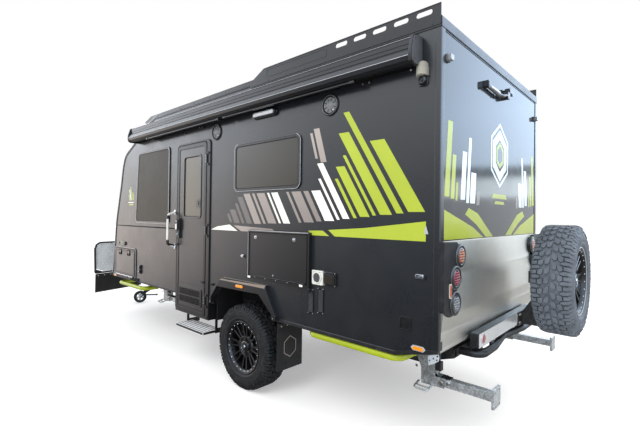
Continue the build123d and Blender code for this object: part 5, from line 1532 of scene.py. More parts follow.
# clearance lamps at the top corners
m = M().mat(CLEARGR)
for s in (1, -1):
    m.prism(rrect(min(s * 984, s * 1030), max(s * 984, s * 1030), 2654, 2693, 9, 5), "x", -38, -13)
ob = m.done("clearance_lenses", bevel=4.0, seg=3)
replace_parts(ob, "lamps")
m = M().mat(RINGGR)
for s in (1, -1):
    m.prism(rrect(min(s * 979, s * 1035), max(s * 979, s * 1035), 2649, 2698, 12, 5), "x", -15, -0.5)
m.done("clearance_bases", bevel=2.5)

# ------------------------------------------------------------------ rear lamp clusters
refine("rear_lamp_panels", TRIM, 3.0, 3, 26)
LAMPS = ((855, 1418, (TURND, TURNL)), (928, 1283, (STOPD, STOPL)), (929, 1119, (REVD, REVL)))
for s, tag in ((1, "left"), (-1, "right")):
    bz, rim_ = M().mat(FRAMEBLK), M().mat(RINGGR)
    for y, z, mt in LAMPS:
        c = (0, s * y, z)
        bz.lathe([(77, -33.8), (77, -38), (73, -43), (66, -46), (58, -46), (54, -43), (54, -36)], c, "x", 56)
        rim_.lathe([(76.8, -36.2), (78.4, -37.6), (77.2, -40.2), (75.4, -40.0)], c, "x", 56, closed=True)
    bz.done("lamp_bezels_" + tag)
    rim_.done("lamp_bright_rings_" + tag)
    for (y, z, mt), nm in zip(LAMPS, ("turn", "stop", "reverse")):
        m = M().mat(mt[0])
        c = (0, s * y, z)
        m.lathe([(53.5, -36), (53.5, -43), (50, -45.2), (34, -46.8), (16, -47.6), (1, -47.8)], c, "x", 48)
        m.done("lamp_%s_%s" % (nm, tag))
        m = M().mat(mt[1])
        for q in range(-2, 3):
            for r in range(-2, 3):
                if abs(q + r) > 2:
                    continue
                yy, zz = s * y + (q + r / 2) * 18.6, z + r * 16.1
                d = math.hypot(yy - s * y, zz - z)
                x0 = -44.8 - 2.9 * (1 - (d / 53.0) ** 2)
                rings = []
                for a in (0, 28, 55, 78):
                    rr = 7.6 * math.cos(math.radians(a))
                    rings.append([(x0 - 4.2 * math.sin(math.radians(a)), yy + rr * math.cos(2 * math.pi * k / 12),
                                   zz + rr * math.sin(2 * math.pi * k / 12)) for k in range(12)])
                m.loft(rings)
        m.done("lamp_%s_%s_leds" % (nm, tag), angle=60)
    m = M().mat(REDREF)
    m.prism(rrect(min(s * 998, s * 1016), max(s * 998, s * 1016), 1168, 1244, 8, 5), "x", -41.5, -33.5)
    m.done("reflector_" + tag, bevel=1.5)
    m = M().mat(CREAM)
    m.ring(rrect(min(s * 992, s * 1022), max(s * 992, s * 1022), 1160, 1252, 12, 5),
           rrect(min(s * 997.5, s * 1016.5), max(s * 997.5, s * 1016.5), 1167, 1245, 8, 5), "x", -33.9, -40)
    m.done("reflector_border_" + tag, bevel=1.2)

# ------------------------------------------------------------------ rear bar and bumper tube
refine("rear_bar", BARGREY, 2.2, 3, 28)
m = M().mat(TRIM)
for s in (1, -1):
    m.prism(rrect(-79, -21, 771, 869, 6, 4), "y", s * 639.5, s * 645)
    m.prism(rrect(-74, -26, 776, 864, 4, 4), "y", s * 644.5, s * 648)
m.done("rear_bar_plugs", bevel=2.0)
# painted reflection: a bright plate on the dark grey bar's rear face paints the light the face reflects
m = M().mat(BAR_FACE_PAINTED_REFLECTION)
m.prism(rrect(-636, 636, 772, 868, 5, 4), "x", -80.8, -79.8)
m.done("rear_bar_face", bevel=0.4)
m = M().mat(TRIM)
m.tube(fillet_path([(60, 606, 720), (-85, 606, 720), (-85, 350, 720), (-36, 0, 720), (-85, -350, 720), (-85, -606, 720), (60, -606, 720)], 138, 14),
       27.4, 32)
m.done("bumper_tube_sleeve")
m = M().mat(SILVER_AND_PAINTED_HIGHLIGHT)
for s in (1, -1):
    m.lathe([(36, -80.2), (36, -84), (33, -86.5), (29, -86.5)], (0, s * 560, 825), "x", 44)
m.done("bar_reflector_rings", bevel=0.8)
m = M().mat(REDREF)
for s in (1, -1):
    m.lathe([(30, -84), (30, -86.6), (24, -88), (1, -88.4)], (0, s * 560, 825), "x", 40)
m.done("bar_reflectors")
m = M().mat(ZINC)
for s in (1, -1):
    for z in (712, 738):
        m.hexhead((20, s * 449, z), (0, s, 0), 6.5, 5)
m.done("rear_bar_bolts")
# ------------------------------------------------------------------ corner steadies
refine("steady_brackets", GALV, 1.6, 2, 30)
for nm in ("rear_left", "rear_right", "front_left", "front_right"):
    refine(nm + "_steady", GALVL, 2.4, 3, 28)
for nm, px, s in (("rear_left", 117, 1), ("rear_right", 117, -1), ("front_left", 3990, 1), ("front_right", 3990, -1)):
    z, y, d = 529, s * 757, -1
    m = M().mat(ZINC)
    m.cyl((px, y - 43, z), (px, y - 49, z), 15, 6)
    m.cyl((px, y + 43, z), (px, y + 51, z), 15, 6)
    m.cyl((px, y + 43, z), (px, y + 45, z), 19, 24)
    # zinc plate with rows of holes on the outer cheek of the bracket
    yo = s * (715 + 8 + 76)
    m.done(nm + "_steady_pin", bevel=1.0)
    m = M().mat(ZINCBR)
    pl = rpoly([(px + 92, 627), (px + 94, 650), (px + 100, 688), (px + 76, 702), (px + 19, 722), (px + 12, 704), (px + 15, 674), (px + 50, 649)], 3, 3)
    m.prism(pl, "y", yo + s * 0.3, yo + s * 4.0)
    m.done(nm + "_steady_plate", bevel=1.0)
    # painted shade: black discs on the plate stand for its holes
    m = M().mat(BLACK_AND_PAINTED_SHADE)
    for xx, zz in ((px + 55, 683), (px + 26, 706), (px + 82, 664), (px + 30, 678)):
        m.cyl((xx, yo + s * 4.0, zz), (xx, yo + s * 4.7, zz), 5.6, 16)
    m.done(nm + "_steady_plate_holes")
    m = M().mat(TRIM)
    m.box(px + 2, px + 44, yo - s * 40, yo + s * 1.5, 606, 668)
    m.box(px + 8, px + 30, yo + s * 1.5, yo + s * 6, 612, 634)
    m.done(nm + "_steady_screw_block", bevel=3.0)
    m = M().mat(ZINC)
    for xx, zz in ((px + 70, 606), (px + 182, 606), (px + 128, 700), (px + 180, 716)):
        m.hexhead((xx, yo + s * 4.0, zz), (0, s, 0), 7, 5)
    m.done(nm + "_steady_bracket_bolts")
    m = M().mat(GALV)
    m.tube(fillet_path([(px + 66, s * 795, 500), (px + 66, s * 872, 478), (px + 170, s * 872, 478), (px + 170, s * 795, 500)], 18, 6), 6.4, 12)
    m.done(nm + "_steady_release_loop")
    m = M().mat(TRIM)
    m.box(px - 58, px + 14, y - 31, y + 31, z + 28.2, z + 35)
    m.done(nm + "_steady_buffer", nm + "_steady", bevel=3.0)
    m = M().mat(GALV)
    # inner drop leg showing at the end of the outer box
    m.box(px - 341, px - 335, y - 24, y + 24, z - 24, z + 24)
    m.done(nm + "_steady_inner_leg", nm + "_steady", bevel=1.5)
    m = M().mat(ZINC)
    m.cyl((px - 46, y + s * 28, z + 6), (px - 46, y + s * 40, z + 6), 9, 20)
    m.cyl((px - 46, y + s * 36, z + 6), (px - 46, y + s * 44, z + 6), 12, 6)
    for yy in (-38, 38):
        for zz in (-44, 44):
            m.hexhead((px - 359, y + yy, z + zz), (-1, 0, 0), 5.5, 4)
    m.done(nm + "_steady_pins", nm + "_steady", bevel=0.8)

# ------------------------------------------------------------------ tyres
def tyre(at, name, body, node, rub=None, floor=383.0):
    rub = rub or RUBBER
    m = M(at).mat(rub)
    car = [(237, 104), (249, 105), (258, 117), (267, 123.4), (271, 127.4), (277, 128.4), (282, 126.6), (295, 128.6),
           (310, 129.8), (335, 128.2), (352, 123.0), (364, 114.0), (374, 104), (381, 90), (385.5, 70), (387.5, 40), (388, 0)]
    prof = car + [(r, -y) for r, y in car[-2::-1]]
    prof += [(244, -88), (262, -108), (302, -114), (356, -104), (374, -76), (374, 76), (356, 104), (302, 114), (262, 108), (244, 88)]
    m.lathe(prof, (0, 0, 0), "y", 144, closed=True)
    m.done(name, body, angle=50)
    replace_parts(bpy.data.objects[name], node)

    def rout(y):
        a = abs(y)
        if a <= 84.5:
            return 401.7
        if a <= 106.5:
            return 401.7 - (a - 84.5) * 6 / 22
        return 395.7 - (a - 106.5) * 24 / 18
    m = M(at).mat(rub)
    N = 38
    rnd = random.Random(7)

    def put(poly, th0, base=floor, sh=1.6, top=None):
        """poly: (arc mm, y) pairs at the tread; walls taper outwards."""
        cxm = sum(p[0] for p in poly) / len(poly)
        cym = sum(p[1] for p in poly) / len(poly)
        ring0, ring1, ring2 = [], [], []
        for u, y in poly:
            for ring, k, inset in ((ring0, 0, -sh), (ring1, 1, 0.0), (ring2, 2, 1.1)):
                du, dy = u - cxm, y - cym
                L = math.hypot(du, dy)
                uu, yy = cxm + du * (1 - inset / L), cym + dy * (1 - inset / L)
                r = rout(yy)
                if k == 0:
                    r = min(base, r - 14)
                elif k == 1:
                    r -= 1.0
                if top is not None and k:
                    r = min(r, top - (1.0 if k == 1 else 0))
                a = th0 + uu / 402.0
                ring.append((r * math.cos(a), yy, -r * math.sin(a)))
        m.loft([ring0, ring1, ring2])
    pitch = 2 * math.pi * 402 / N
    for k in range(N):
        for sd in (1, -1):
            th = 2 * math.pi * (k + (0.0 if sd > 0 else 0.5)) / N
            j = 1.0 + 0.05 * math.sin(k * 2.4)
            # centre block, intermediate block, shoulder lug
            put([(-24, sd * 4), (10 * j, sd * 6), (26, sd * 22), (18, sd * 38), (-8, sd * 34), (-25, sd * 20)], th)
            put([(-4, sd * 40), (24, sd * 46), (33, sd * 58), (27, sd * 74), (-2, sd * 72), (-10, sd * 54)], th)
            lug = 112 if k % 2 == 0 else 106
            put([(-29, sd * 64), (-14, sd * 60), (-8, sd * 80), (-10, sd * lug), (-32, sd * lug), (-34, sd * 84)], th)
            put([(0, sd * 80), (26, sd * 82), (27, sd * (218 - lug)), (2, sd * (218 - lug))], th, top=399)
    m.done(name + "_tread", body, angle=40)
    # sidewall: shoulder cleats, rings and fine ridges
    m = M(at).mat(rub)

    def yw(r):
        pts = [(249, 105), (267, 123.4), (282, 126.6), (295, 128.6), (310, 129.8), (335, 128.2), (357, 124.0), (373, 117.5), (384, 106), (390, 95)]
        for (a, ya), (b, yb) in zip(pts, pts[1:]):
            if a <= r <= b:
                return ya + (yb - ya) * (r - a) / (b - a)
        return 100.0

    def patch(th, r0, r1, w0, w1, h, sd):
        rings = []
        for hh, ins in ((-12.0, -0.8), (h - 0.7, 0.0), (h, 0.8)):
            ring = []
            for r, w, sg in ((r0 + ins, w0 - ins, -1), (r1 - ins, w1 - ins, -1), (r1 - ins, w1 - ins, 1), (r0 + ins, w0 - ins, 1)):
                a = th + sg * w / r / 2
                ring.append((r * math.cos(a), sd * min(yw(r) + hh, 132.3), -r * math.sin(a)))
            rings.append(ring)
        m.loft(rings)
    for sd in (1, -1):
        for k in range(N):
            th = 2 * math.pi * (k + (0.0 if sd > 0 else 0.5)) / N
            patch(th - 21 / 402.0, 340 if k % 2 else 352, 387, 20, 23, 3.5, sd)
            patch(th + 13 / 402.0, 356, 386, 23, 25, 3.0, sd)
        for k in range(120):
            patch(2 * math.pi * k / 120, 287, 295, 4.2, 4.2, 1.0, sd)
        for k in range(6):
            for q in range(9):
                patch(2 * math.pi * (k / 6 + (q - 4) * 0.0088), 303, 326, 9, 10, 1.2, sd)
        for rr in (299, 333):
            rings = []
            for dy, dr in ((-1, -2), (1.3, -1.2), (1.3, 1.2), (-1, 2)):
                rings.append([((rr + dr) * math.cos(2 * math.pi * q / 96), sd * (yw(rr + dr) + dy), -(rr + dr) * math.sin(2 * math.pi * q / 96))
                              for q in range(96)])
            m.loft(rings, caps=False)
    m.done(name + "_sidewall_relief", body, angle=40)


def rim(at, name, body, node, drum=True, edge=None, lip=None):
    edge, lip = edge or MILLEDDK, lip or RIMBLK

    def wide(pts):
        """Radii past the hub stretched to the lip's size."""
        return [(r if r <= 110 else 110 + (r - 110) * 1.15, y) for r, y in pts]
    m = M(at).mat(RIMBLK)
    # barrel with its lips
    prof = [(229, 107), (229, 114), (222, 116), (214, 113), (209, 106), (206, 92), (203, 78), (197, 62), (192, 30), (192, -30),
            (203, -60), (208, -100), (214, -114), (226, -114), (229, -108), (216, -100), (214, -62), (199, -32), (199, 34), (206, 66),
            (213, 90), (216, 104)]
    m.lathe(wide(prof), (0, 0, 0), "y", 96, closed=True)
    # hub disc
    m.lathe([(20, 50), (104, 50), (108, 66), (99, 77), (86, 79), (78, 73), (60, 71), (20, 71)], (0, 0, 0), "y", 72)
    ob = m.done(name + "_barrel", body, angle=28)
    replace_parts(ob, node)
    m = M(at).mat(RIMBLK)
    e = M(at).mat(edge)
    for k in range(8):
        for sg in (-1, 1):
            a = math.radians(45 * k)
            # centre line from hub to lip, leaning apart towards the lip
            secs = []
            for t in (0.0, 0.12, 0.35, 0.62, 0.86, 1.0):
                r = 84 + (222 - 84) * t
                off = sg * (11.5 + 19.5 * t + (3 * math.sin(math.pi * t)))
                w = 17.5 - 3.0 * math.sin(math.pi * min(1, t * 1.05)) + 3.5 * max(0, t - 0.8) / 0.2 * 0.6
                top = 78 + 14 * t ** 1.25
                bot = 50 + 20 * t
                secs.append((r, off, w, top, bot))
            rings = []
            for r, off, w, top, bot in secs:
                ring = []
                for u, y in ((off - w * 0.62, bot), (off - w * 0.5, top - 3), (off - w * 0.36, top), (off + w * 0.36, top),
                             (off + w * 0.5, top - 3), (off + w * 0.62, bot)):
                    x0, z0 = r, u
                    ring.append((x0 * math.cos(a) - z0 * math.sin(a), y, -(x0 * math.sin(a) + z0 * math.cos(a))))
                rings.append(ring)
            m.loft(rings)
            # thin lighter edges
            for q in (-1, 1):
                er = []
                for r, off, w, top, bot in secs[1:]:
                    ring = []
                    for u, y in ((off + q * w * 0.42, top - 0.9), (off + q * w * 0.42, top + 0.2), (off + q * w * 0.53, top - 2.4),
                                 (off + q * w * 0.50, top - 3.4)):
                        ring.append((r * math.cos(a) - u * math.sin(a), y, -(r * math.sin(a) + u * math.cos(a))))
                    er.append(ring)
                e.loft(er)
        # web between the pair, set back
        a = math.radians(45 * k)
        ring_pts = []
        for r, w, y in ((86, 7, 61), (124, 11, 60), (156, 13, 62)):
            ring_pts.append([(r * math.cos(a) - u * math.sin(a), yy, -(r * math.sin(a) + u * math.cos(a)))
                             for u, yy in ((-w, y - 8), (-w, y), (w, y), (w, y - 8))])
        m.loft(ring_pts)
    m.done(name + "_spokes", body, bevel=0.9, angle=40)
    e.done(name + "_spoke_edges", body)
    # lip ring, rivets, nuts, cap
    m = M(at).mat(RIMBLK)
    m.lathe([(220, 84), (220, 94), (223, 100), (232, 105), (235, 111), (231, 113.5), (218, 104), (211, 92), (210, 84)], (0, 0, 0), "y", 96, closed=True)
    m.done(name + "_lip", body, angle=30)
    m = M(at).mat(lip)
    m.lathe([(240, 114), (247.2, 113.6), (247.6, 116.2), (244, 118), (240, 116.4)], (0, 0, 0), "y", 96, closed=True)
    m.done(name + "_lip_edge", body, angle=30)
    m = M(at).mat(ZINCBR)
    for k in range(24):
        a = 2 * math.pi * (k + 0.5) / 24
        c = (223 * math.cos(a), 101, -223 * math.sin(a))
        m.cyl(c, (c[0] * 0.995, 109, c[2] * 0.995), 4.6, 10)
    m.done(name + "_rivets", body, bevel=0.6)
    m = M(at).mat(MILLEDDK)
    for k in range(6):
        a = 2 * math.pi * (k + 0.5) / 6
        c = (70 * math.cos(a), 66, -70 * math.sin(a))
        m.cyl(c, (c[0], 87, c[2]), 10.5, 6)
        m.cyl((c[0], 87, c[2]), (c[0], 93, c[2]), 9.2, 18, r2=5.5)
    m.done(name + "_nuts", body, bevel=0.9)
    m = M(at).mat(RIMBLK)
    m.lathe([(55.5, 57), (55.5, 81), (52, 86), (46, 89), (30, 91), (1, 91.5)], (0, 0, 0), "y", 56)
    m.done(name + "_cap", body, bevel=0.8)
    m = M(at).mat(CHROME)
    m.cyl((0, 90, 0), (0, 96, 0), 17, 32, r2=13)
    m.lathe([(47, 89.2), (46.4, 90.9), (44.6, 91.3), (44, 89.8)], (0, 0, 0), "y", 56, closed=True)
    m.done(name + "_cap_boss", body)
    m = M(at).mat(FRAMEBLK)
    a = math.radians(22)
    m.cyl((208 * math.cos(a), 74, -208 * math.sin(a)), (202 * math.cos(a), 104, -202 * math.sin(a)), 4, 12)
    m.done(name + "_valve", body, bevel=0.8)
    if drum:
        m = M(at).mat(STEELDK)
        m.lathe([(40, -78), (148, -78), (152, -70), (152, -40), (149, -34), (152, -28), (152, 6), (146, 14), (92, 16), (60, 19), (30, 19)],
                (0, 0, 0), "y", 72)
        m.lathe([(30, 18), (92, 18), (92, 52), (30, 52)], (0, 0, 0), "y", 56)
        m.done(name + "_drum", body, bevel=1.0, angle=40)


WCY = 1087 - 265 / 2
for nm, at, bd in (("left", lambda p: (2000 + p[0], WCY + p[1], 402 + p[2]), "left_wheel"),
                   ("right", lambda p: (2000 + p[0], -WCY - p[1], 402 + p[2]), "right_wheel")):
    tyre(at, nm + "_road_tyre", bd, nm + "_tyre")
    rim(at, nm + "_road_rim", bd, nm + "_wheel_rim")
tyre(lambda p: (-450 - p[1], p[0], 1221 + p[2]), "spare_road_tyre", "caravan", "spare_tyre", SPARE_RUBBER_DUST_AND_SHEEN, 399.0)
# painted highlight: the spare rim takes bright spoke edges and a silver lip edge, where the road rims have dark ones
rim(lambda p: (-450 - p[1], p[0], 1221 + p[2]), "spare_road_rim", "caravan", "spare_wheel_rim", drum=False,
    edge=MILLED, lip=SILVER_AND_PAINTED_HIGHLIGHT)
# carrier of the spare wheel
refine("spare_wheel_carrier", CHASSIS, 3.0, 3, 28)
m = M().mat(ZINC)
for k in range(6):
    a = math.radians(60 * k + 30)
    m.hexhead((-352, 80 * math.cos(a), 1221 + 80 * math.sin(a)), (1, 0, 0), 8, 6)
for y in (-450, -420, -280, -250):
    for z in (785, 850):
        m.hexhead((-90, y, z), (-1, 0, 0), 8, 6)
m.done("carrier_bolts")
# ------------------------------------------------------------------ cabin walls: paint outside, pale lining inside
def lined(node, outer, inner, test):
    ob = refine(node, [outer, inner], 0.0, name=node + "_lined")
    me = ob.data
    for p in me.polygons:
        c, n = p.center, p.normal
        x, y, z = (c.x - OX) * 1000, (c.y - OY) * 1000, c.z * 1000
        if test(x, y, z, n):
            p.material_index = 1
    return ob


lined("left_wall", BODY, INNER, lambda x, y, z, n: n.y < -0.9 and y < W - 30)
lined("right_wall", BODY, INNER, lambda x, y, z, n: n.y > 0.9 and y > -W + 30)
lined("floor_panel", FLOORM, VINYL, lambda x, y, z, n: n.z > 0.9)
lined("wheel_arch_liners", LINERM, INNER, lambda x, y, z, n: (n.z > 0.5 and z > 790) or (abs(n.y) > 0.9 and abs(y) < 732))

# ------------------------------------------------------------------ toolbox
refine("toolbox", CHEQ, 5.0, 3, 28)
refine("toolbox_lid", CHEQ, 4.0, 3, 28)
m = M().mat(TRIM)
for s in (1, -1):                               # side access flap with frame
    m.ring([(p[0], p[1]) for p in rrect(5250, 5700, 800, 1060, 30)], [(p[0], p[1]) for p in rrect(5264, 5686, 814, 1046, 20)],
           "y", *(sorted((s * 610.0, s * 614.0))))
m.done("toolbox_flap_frames", bevel=1.0)
m = M().mat(ALUBLK)
for s in (1, -1):
    m.prism(rrect(5268, 5682, 818, 1042, 16), "y", *(sorted((s * 610.0, s * 612.5))))
m.done("toolbox_flap_leaves", bevel=0.8)
m = M().mat(CHROME)
for s in (1, -1):
    for x in (5380, 5570):                      # folding T latches
        m.prism(rrect(x - 26, x + 26, 996, 1026, 6), "y", *(sorted((s * 612.5, s * 616.0))))
        m.cyl((x, s * 616, 1011), (x, s * 622, 1011), 7, 18)
        m.box(x - 19, x + 19, *(sorted((s * 620.0, s * 626.0))), 1006, 1016)
for y in (-380, 380):                           # lid latches on the sloped face
    a = (5662, 1172)
    m.box(5664, 5672, y - 30, y + 30, 1138, 1176)
    m.cyl((5672, y, 1156), (5684, y, 1156), 7, 18)
    m.box(5680, 5687, y - 21, y + 21, 1150, 1162)
m.done("toolbox_latches", bevel=1.0)
m = M().mat(SEAL)
m.ring(rrect(5207, 5648, -606, 606, 8), rrect(5215, 5640, -598, 598, 6), "z", 1180, 1186.4)
m.done("toolbox_seal")
m = M().mat(TRIM)
for s in (1, -1):                               # louvred vents low on the sides
    for k in range(5):
        z = 772 + 6 * k
        m.box(5290, 5400, *(sorted((s * 610.0, s * 613.0))), z, z + 3)
for y in (-560, -300, 300, 560):                # front face ribs
    m.box(5760, 5764, y - 16, y + 16, 775, 1070)
m.box(5300, 5660, -26, 26, 1205, 1211)          # centre rib on the lid
m.done("toolbox_vents_and_ribs", bevel=0.8)
m = M().mat(ZINC)
for y in (-590, -200, 200, 590):
    for z in (790, 1060):
        m.screw((5760, y, z), (1, 0, 0), 5)
for s in (1, -1):
    for x in (5228, 5735):
        for z in (785, 1060):
            m.screw((x, s * 610, z), (0, s, 0), 5)
m.done("toolbox_rivets")

# ------------------------------------------------------------------ gas cylinders
refine("gas_cylinders", GASM, 4.0, 3, 24)
m = M().mat(GALV)
for y in (168, -168):
    m.lathe([(92, 1122), (95, 1122), (95, 1176), (92, 1176)], (5955, y, 0), "z", 48, closed=True)     # shroud
    m.lathe([(150.4, 986), (152.2, 986), (152.2, 1014), (150.4, 1014)], (5955, y, 0), "z", 72, closed=True)
m.done("gas_shrouds_and_straps")
m = M().mat(BRASS)
for y in (168, -168):
    m.lathe([(0, 1180), (14, 1180), (14, 1200), (20, 1200), (20, 1214), (12, 1214), (12, 1232), (0, 1232)], (5955, y, 0), "z", 24)
    m.cyl((5955, y, 1200), (5903, y, 1200), 12, 20)
    m.cyl((5911, y, 1200), (5897, y, 1200), 16, 6)
m.done("gas_valves", bevel=0.8)
m = M().mat(TRIM)
for y in (168, -168):
    prof = []
    m.lathe([(0, 1232), (26, 1232), (30, 1238), (30, 1246), (26, 1252), (0, 1252)], (5955, y, 0), "z", 32)
    for k in range(8):
        a = math.pi * k / 4
        m.cyl((5955 + 29 * math.cos(a), y + 29 * math.sin(a), 1233), (5955 + 29 * math.cos(a), y + 29 * math.sin(a), 1251), 5, 10)
m.box(5796, 5818, -34, 34, 1000, 1080)          # regulator bracket
m.done("gas_handwheels", bevel=0.8)
m = M().mat(SILVER_AND_PAINTED_HIGHLIGHT)
m.cyl((5818, 0, 1040), (5852, 0, 1040), 34, 32)
m.cyl((5852, 0, 1040), (5862, 0, 1040), 24, 24)
m.box(5790, 5797, -16, 16, 776, 1080)
m.done("gas_regulator", bevel=1.2)
m = M().mat(SEAL)
for y in (168, -168):
    s = 1 if y > 0 else -1
    m.tube(fillet_path([(5897, y, 1200), (5866, y, 1196), (5848, s * 90, 1150), (5838, s * 52, 1090), (5836, s * 18, 1066)], 26, 6), 5.5, 12)
m.tube(fillet_path([(5835, 0, 1006), (5835, 0, 900), (5812, 40, 830), (5800, 60, 780)], 30, 6), 6, 12)
m.done("gas_hoses")
m = M().mat(CHROME)
for y in (168, -168):
    s = 1 if y > 0 else -1
    m.box(5940, 5970, *(sorted((y + s * 152, y + s * 160))), 980, 1020)
    m.box(5946, 5964, *(sorted((y + s * 160, y + s * 166))), 990, 1012)
m.done("gas_strap_buckles", bevel=1.5)

# ------------------------------------------------------------------ stone guard
SGX, SGO, SGY = 6210.0, 5890.0, 1075.0


def sg(y, z, off=0.0):
    """A point in the plane of a wing; off moves it forward, square to the wing."""
    s = 1 if y >= 0 else -1
    k = (SGO - SGX) / SGY
    n = Vector((1.0, -k * s, 0)).normalized()
    return (SGX + k * abs(y) + n.x * off, y + n.y * off, z)


refine("stone_guard_frame", TRIM, 0.0)
m = M().mat(ZINC)
for s in (1, -1):
    for y, z in ((60, 1150), (60, 990), (60, 830), (300, 1172), (540, 1172), (590, 1172), (820, 1172), (1000, 1165),
                 (1070, 1010), (1066, 880), (1000, 748), (820, 728), (590, 728), (540, 728), (320, 728)):
        q = sg(s * y, z, -2)
        d = Vector(sg(0, 0, 1)) - Vector(sg(0, 0, 0)) if s > 0 else Vector((1, 0.298 * -1, 0))
        nn = Vector((1.0, (0.2977 if s > 0 else -0.2977), 0)).normalized()
        m.cyl(tuple(Vector(q) - nn * 3), tuple(Vector(q) + nn * 6), 9, 14)
        m.cyl(tuple(Vector(q) - nn * 7), tuple(Vector(q) - nn * 3), 5.5, 6)
m.done("stone_guard_mesh_clips")
m = M().mat(TRIM)
for s in (1, -1):                               # clamping strip of the skirt
    k = (SGO - SGX) / SGY
    a, b = sg(s * 256, 655), sg(s * 1078, 655)
    nn = Vector((1.0, (0.2977 if s > 0 else -0.2977), 0)).normalized()
    for o in (-6.0, 3.0):
        p0, p1 = Vector(a) + nn * o, Vector(b) + nn * o
        t = nn * 3.0
        ring = []
        for P0 in (p0, p1):
            ring.append([tuple(P0 + Vector((0, 0, dz)) + t * e) for dz, e in ((-14, 0), (14, 0), (14, 1), (-14, 1))])
        m.loft(ring)
m.done("stone_guard_skirt_strips", bevel=0.8)
m = M().mat(ZINC)
for s in (1, -1):
    nn = Vector((1.0, (0.2977 if s > 0 else -0.2977), 0)).normalized()
    for k in range(8):
        y = 290 + k * 108
        q = Vector(sg(s * y, 655))
        m.hexhead(tuple(q - nn * 6), tuple(-nn), 6.5, 5)
        m.hexhead(tuple(q + nn * 6), tuple(nn), 6.5, 5)
m.done("stone_guard_skirt_bolts")

# ------------------------------------------------------------------ drawbar and coupling
refine("drawbar", CHASSIS, 4.0, 3, 28)
refine("coupling", STEELDK, 2.5, 3, 28)


def dby(x):
    return 690 - (x - 4708) * 0.34733


ud = Vector((1.0, -0.34733, 0)).normalized()
m = M().mat(ZINC)
for y in (-58, 58):
    for z in (632, 722):
        m.hexhead((6575, y, z), (1, 0, 0), 9, 7)
for z in (650, 726):
    for y in (-44, 44):
        m.hexhead((6300, y, z), (1, 0, 0), 7, 6)
for s in (1, -1):
    n = Vector((0.34733, s * 1.0, 0)).normalized()
    for x in (4880, 5010, 5960):
        q = Vector((x, s * dby(x), 0)) + n * 25.2
        for z in (630, 720):
            m.hexhead((q.x, q.y, z), tuple(n), 8, 6)
m.done("drawbar_bolts")
m = M().mat(CHROME)
m.cyl((6760, 0, 768), (6760, 0, 786), 34, 36)
m.cyl((6760, 0, 786), (6760, 0, 792), 24, 36, r2=20)
m.cyl((6760, 0, 632), (6760, 0, 622), 30, 36)
m.tube(fillet_path([(6725, 0, 780), (6690, 0, 796), (6640, 0, 812), (6600, 0, 812)], 20, 6), 7, 14)
m.cyl((6738, 0, 774), (6718, 0, 786), 9, 14)
m.done("coupling_collar_and_handle", bevel=1.0)
m = M().mat(SEAL)
m.cyl((6600, 0, 812), (6578, 0, 812), 12, 20)
m.lathe([(36, 0), (42, 4), (36, 8), (42, 12), (36, 16), (42, 20), (36, 24)], (6578, 0, 685), "x", 36)
m.done("coupling_boot_and_grip")
m = M().mat(STEELDK)
for s in (1, -1):                               # chain lugs
    m.prism([(6450, 622), (6520, 622), (6520, 662), (6450, 662)], "y", *(sorted((s * 105.0, s * 113.0))))
    m.cyl((6470, s * 113, 642), (6470, s * 117, 642), 16, 20)
    m.cyl((6504, s * 113, 642), (6504, s * 117, 642), 12, 20)
m.box(6478, 6560, 44, 52, 750, 812)             # hand brake bracket
m.box(6478, 6560, 66, 74, 750, 812)
m.done("drawbar_lugs", bevel=1.5)
m = M().mat(GALV)
m.tube(fillet_path([(6530, 59, 790), (6480, 59, 800), (6400, 59, 850), (6352, 59, 866)], 30, 6), 8.5, 16)
for s in (1, -1):                               # safety chains
    pts = []
    for k in range(11):
        t = k / 10
        a = Vector((6470, s * 122, 634)).lerp(Vector((6700, s * 118, 610)), t)
        a.z -= 62 * 4 * t * (1 - t)
        pts.append(a)
    for k in range(10):
        c = (pts[k] + pts[k + 1]) / 2
        d = (pts[k + 1] - pts[k]).normalized()
        u = Vector((0, 1, 0)) if k % 2 else d.cross(Vector((0, 1, 0))).normalized()
        ringp = []
        for j in range(16):
            a = 2 * math.pi * j / 16
            L = 9.5 if math.cos(a) > 0 else -9.5
            ringp.append(c + d * (L + 7 * math.cos(a)) + u * (7.5 * math.sin(a)))
        m.tube(ringp, 3.2, 8, closed=True)
m.done("safety_chains_and_brake_lever")
m = M().mat(SEAL)
m.cyl((6352, 59, 866), (6318, 59, 878), 13, 20)
for s in (1, -1):                               # cables clipped along the drawbar
    p = [Vector((x, s * (dby(x) - 32), 752)) for x in (5800, 6000, 6150, 6290)] + [Vector((6350, s * 70, 756)), Vector((6440, s * 52, 762))]
    m.tube(fillet_path(p, 60, 6), 5.5, 10)
m.tube(fillet_path([(6440, -52, 762), (6540, -60, 772), (6600, -70, 700), (6560, -82, 560), (6480, -100, 560), (6470, -118, 600)], 50, 8), 6, 12)
m.done("drawbar_cables")
m = M().mat(TRIM)
m.box(6440, 6500, -96, -40, 750, 786)           # breakaway switch box
m.box(6456, 6484, -80, -56, 786, 800)
m.cyl((6470, -118, 590), (6470, -118, 640), 21, 24)     # road plug in its holder
m.cyl((6470, -118, 578), (6470, -118, 590), 12, 20)
m.done("breakaway_box_and_plug", bevel=1.5)

# ------------------------------------------------------------------ jockey wheel
refine("jockey_tube", GALV, 1.6, 2, 30)
refine("jockey_leg", ZINC, 1.2, 2, 30)
refine("jockey_fork", CHASSIS, 1.8, 2, 30)
JA = math.radians(52.4)


def jat(p):
    return (6325 + p[0] * math.cos(JA) - p[1] * math.sin(JA), p[0] * math.sin(JA) + p[1] * math.cos(JA), p[2])


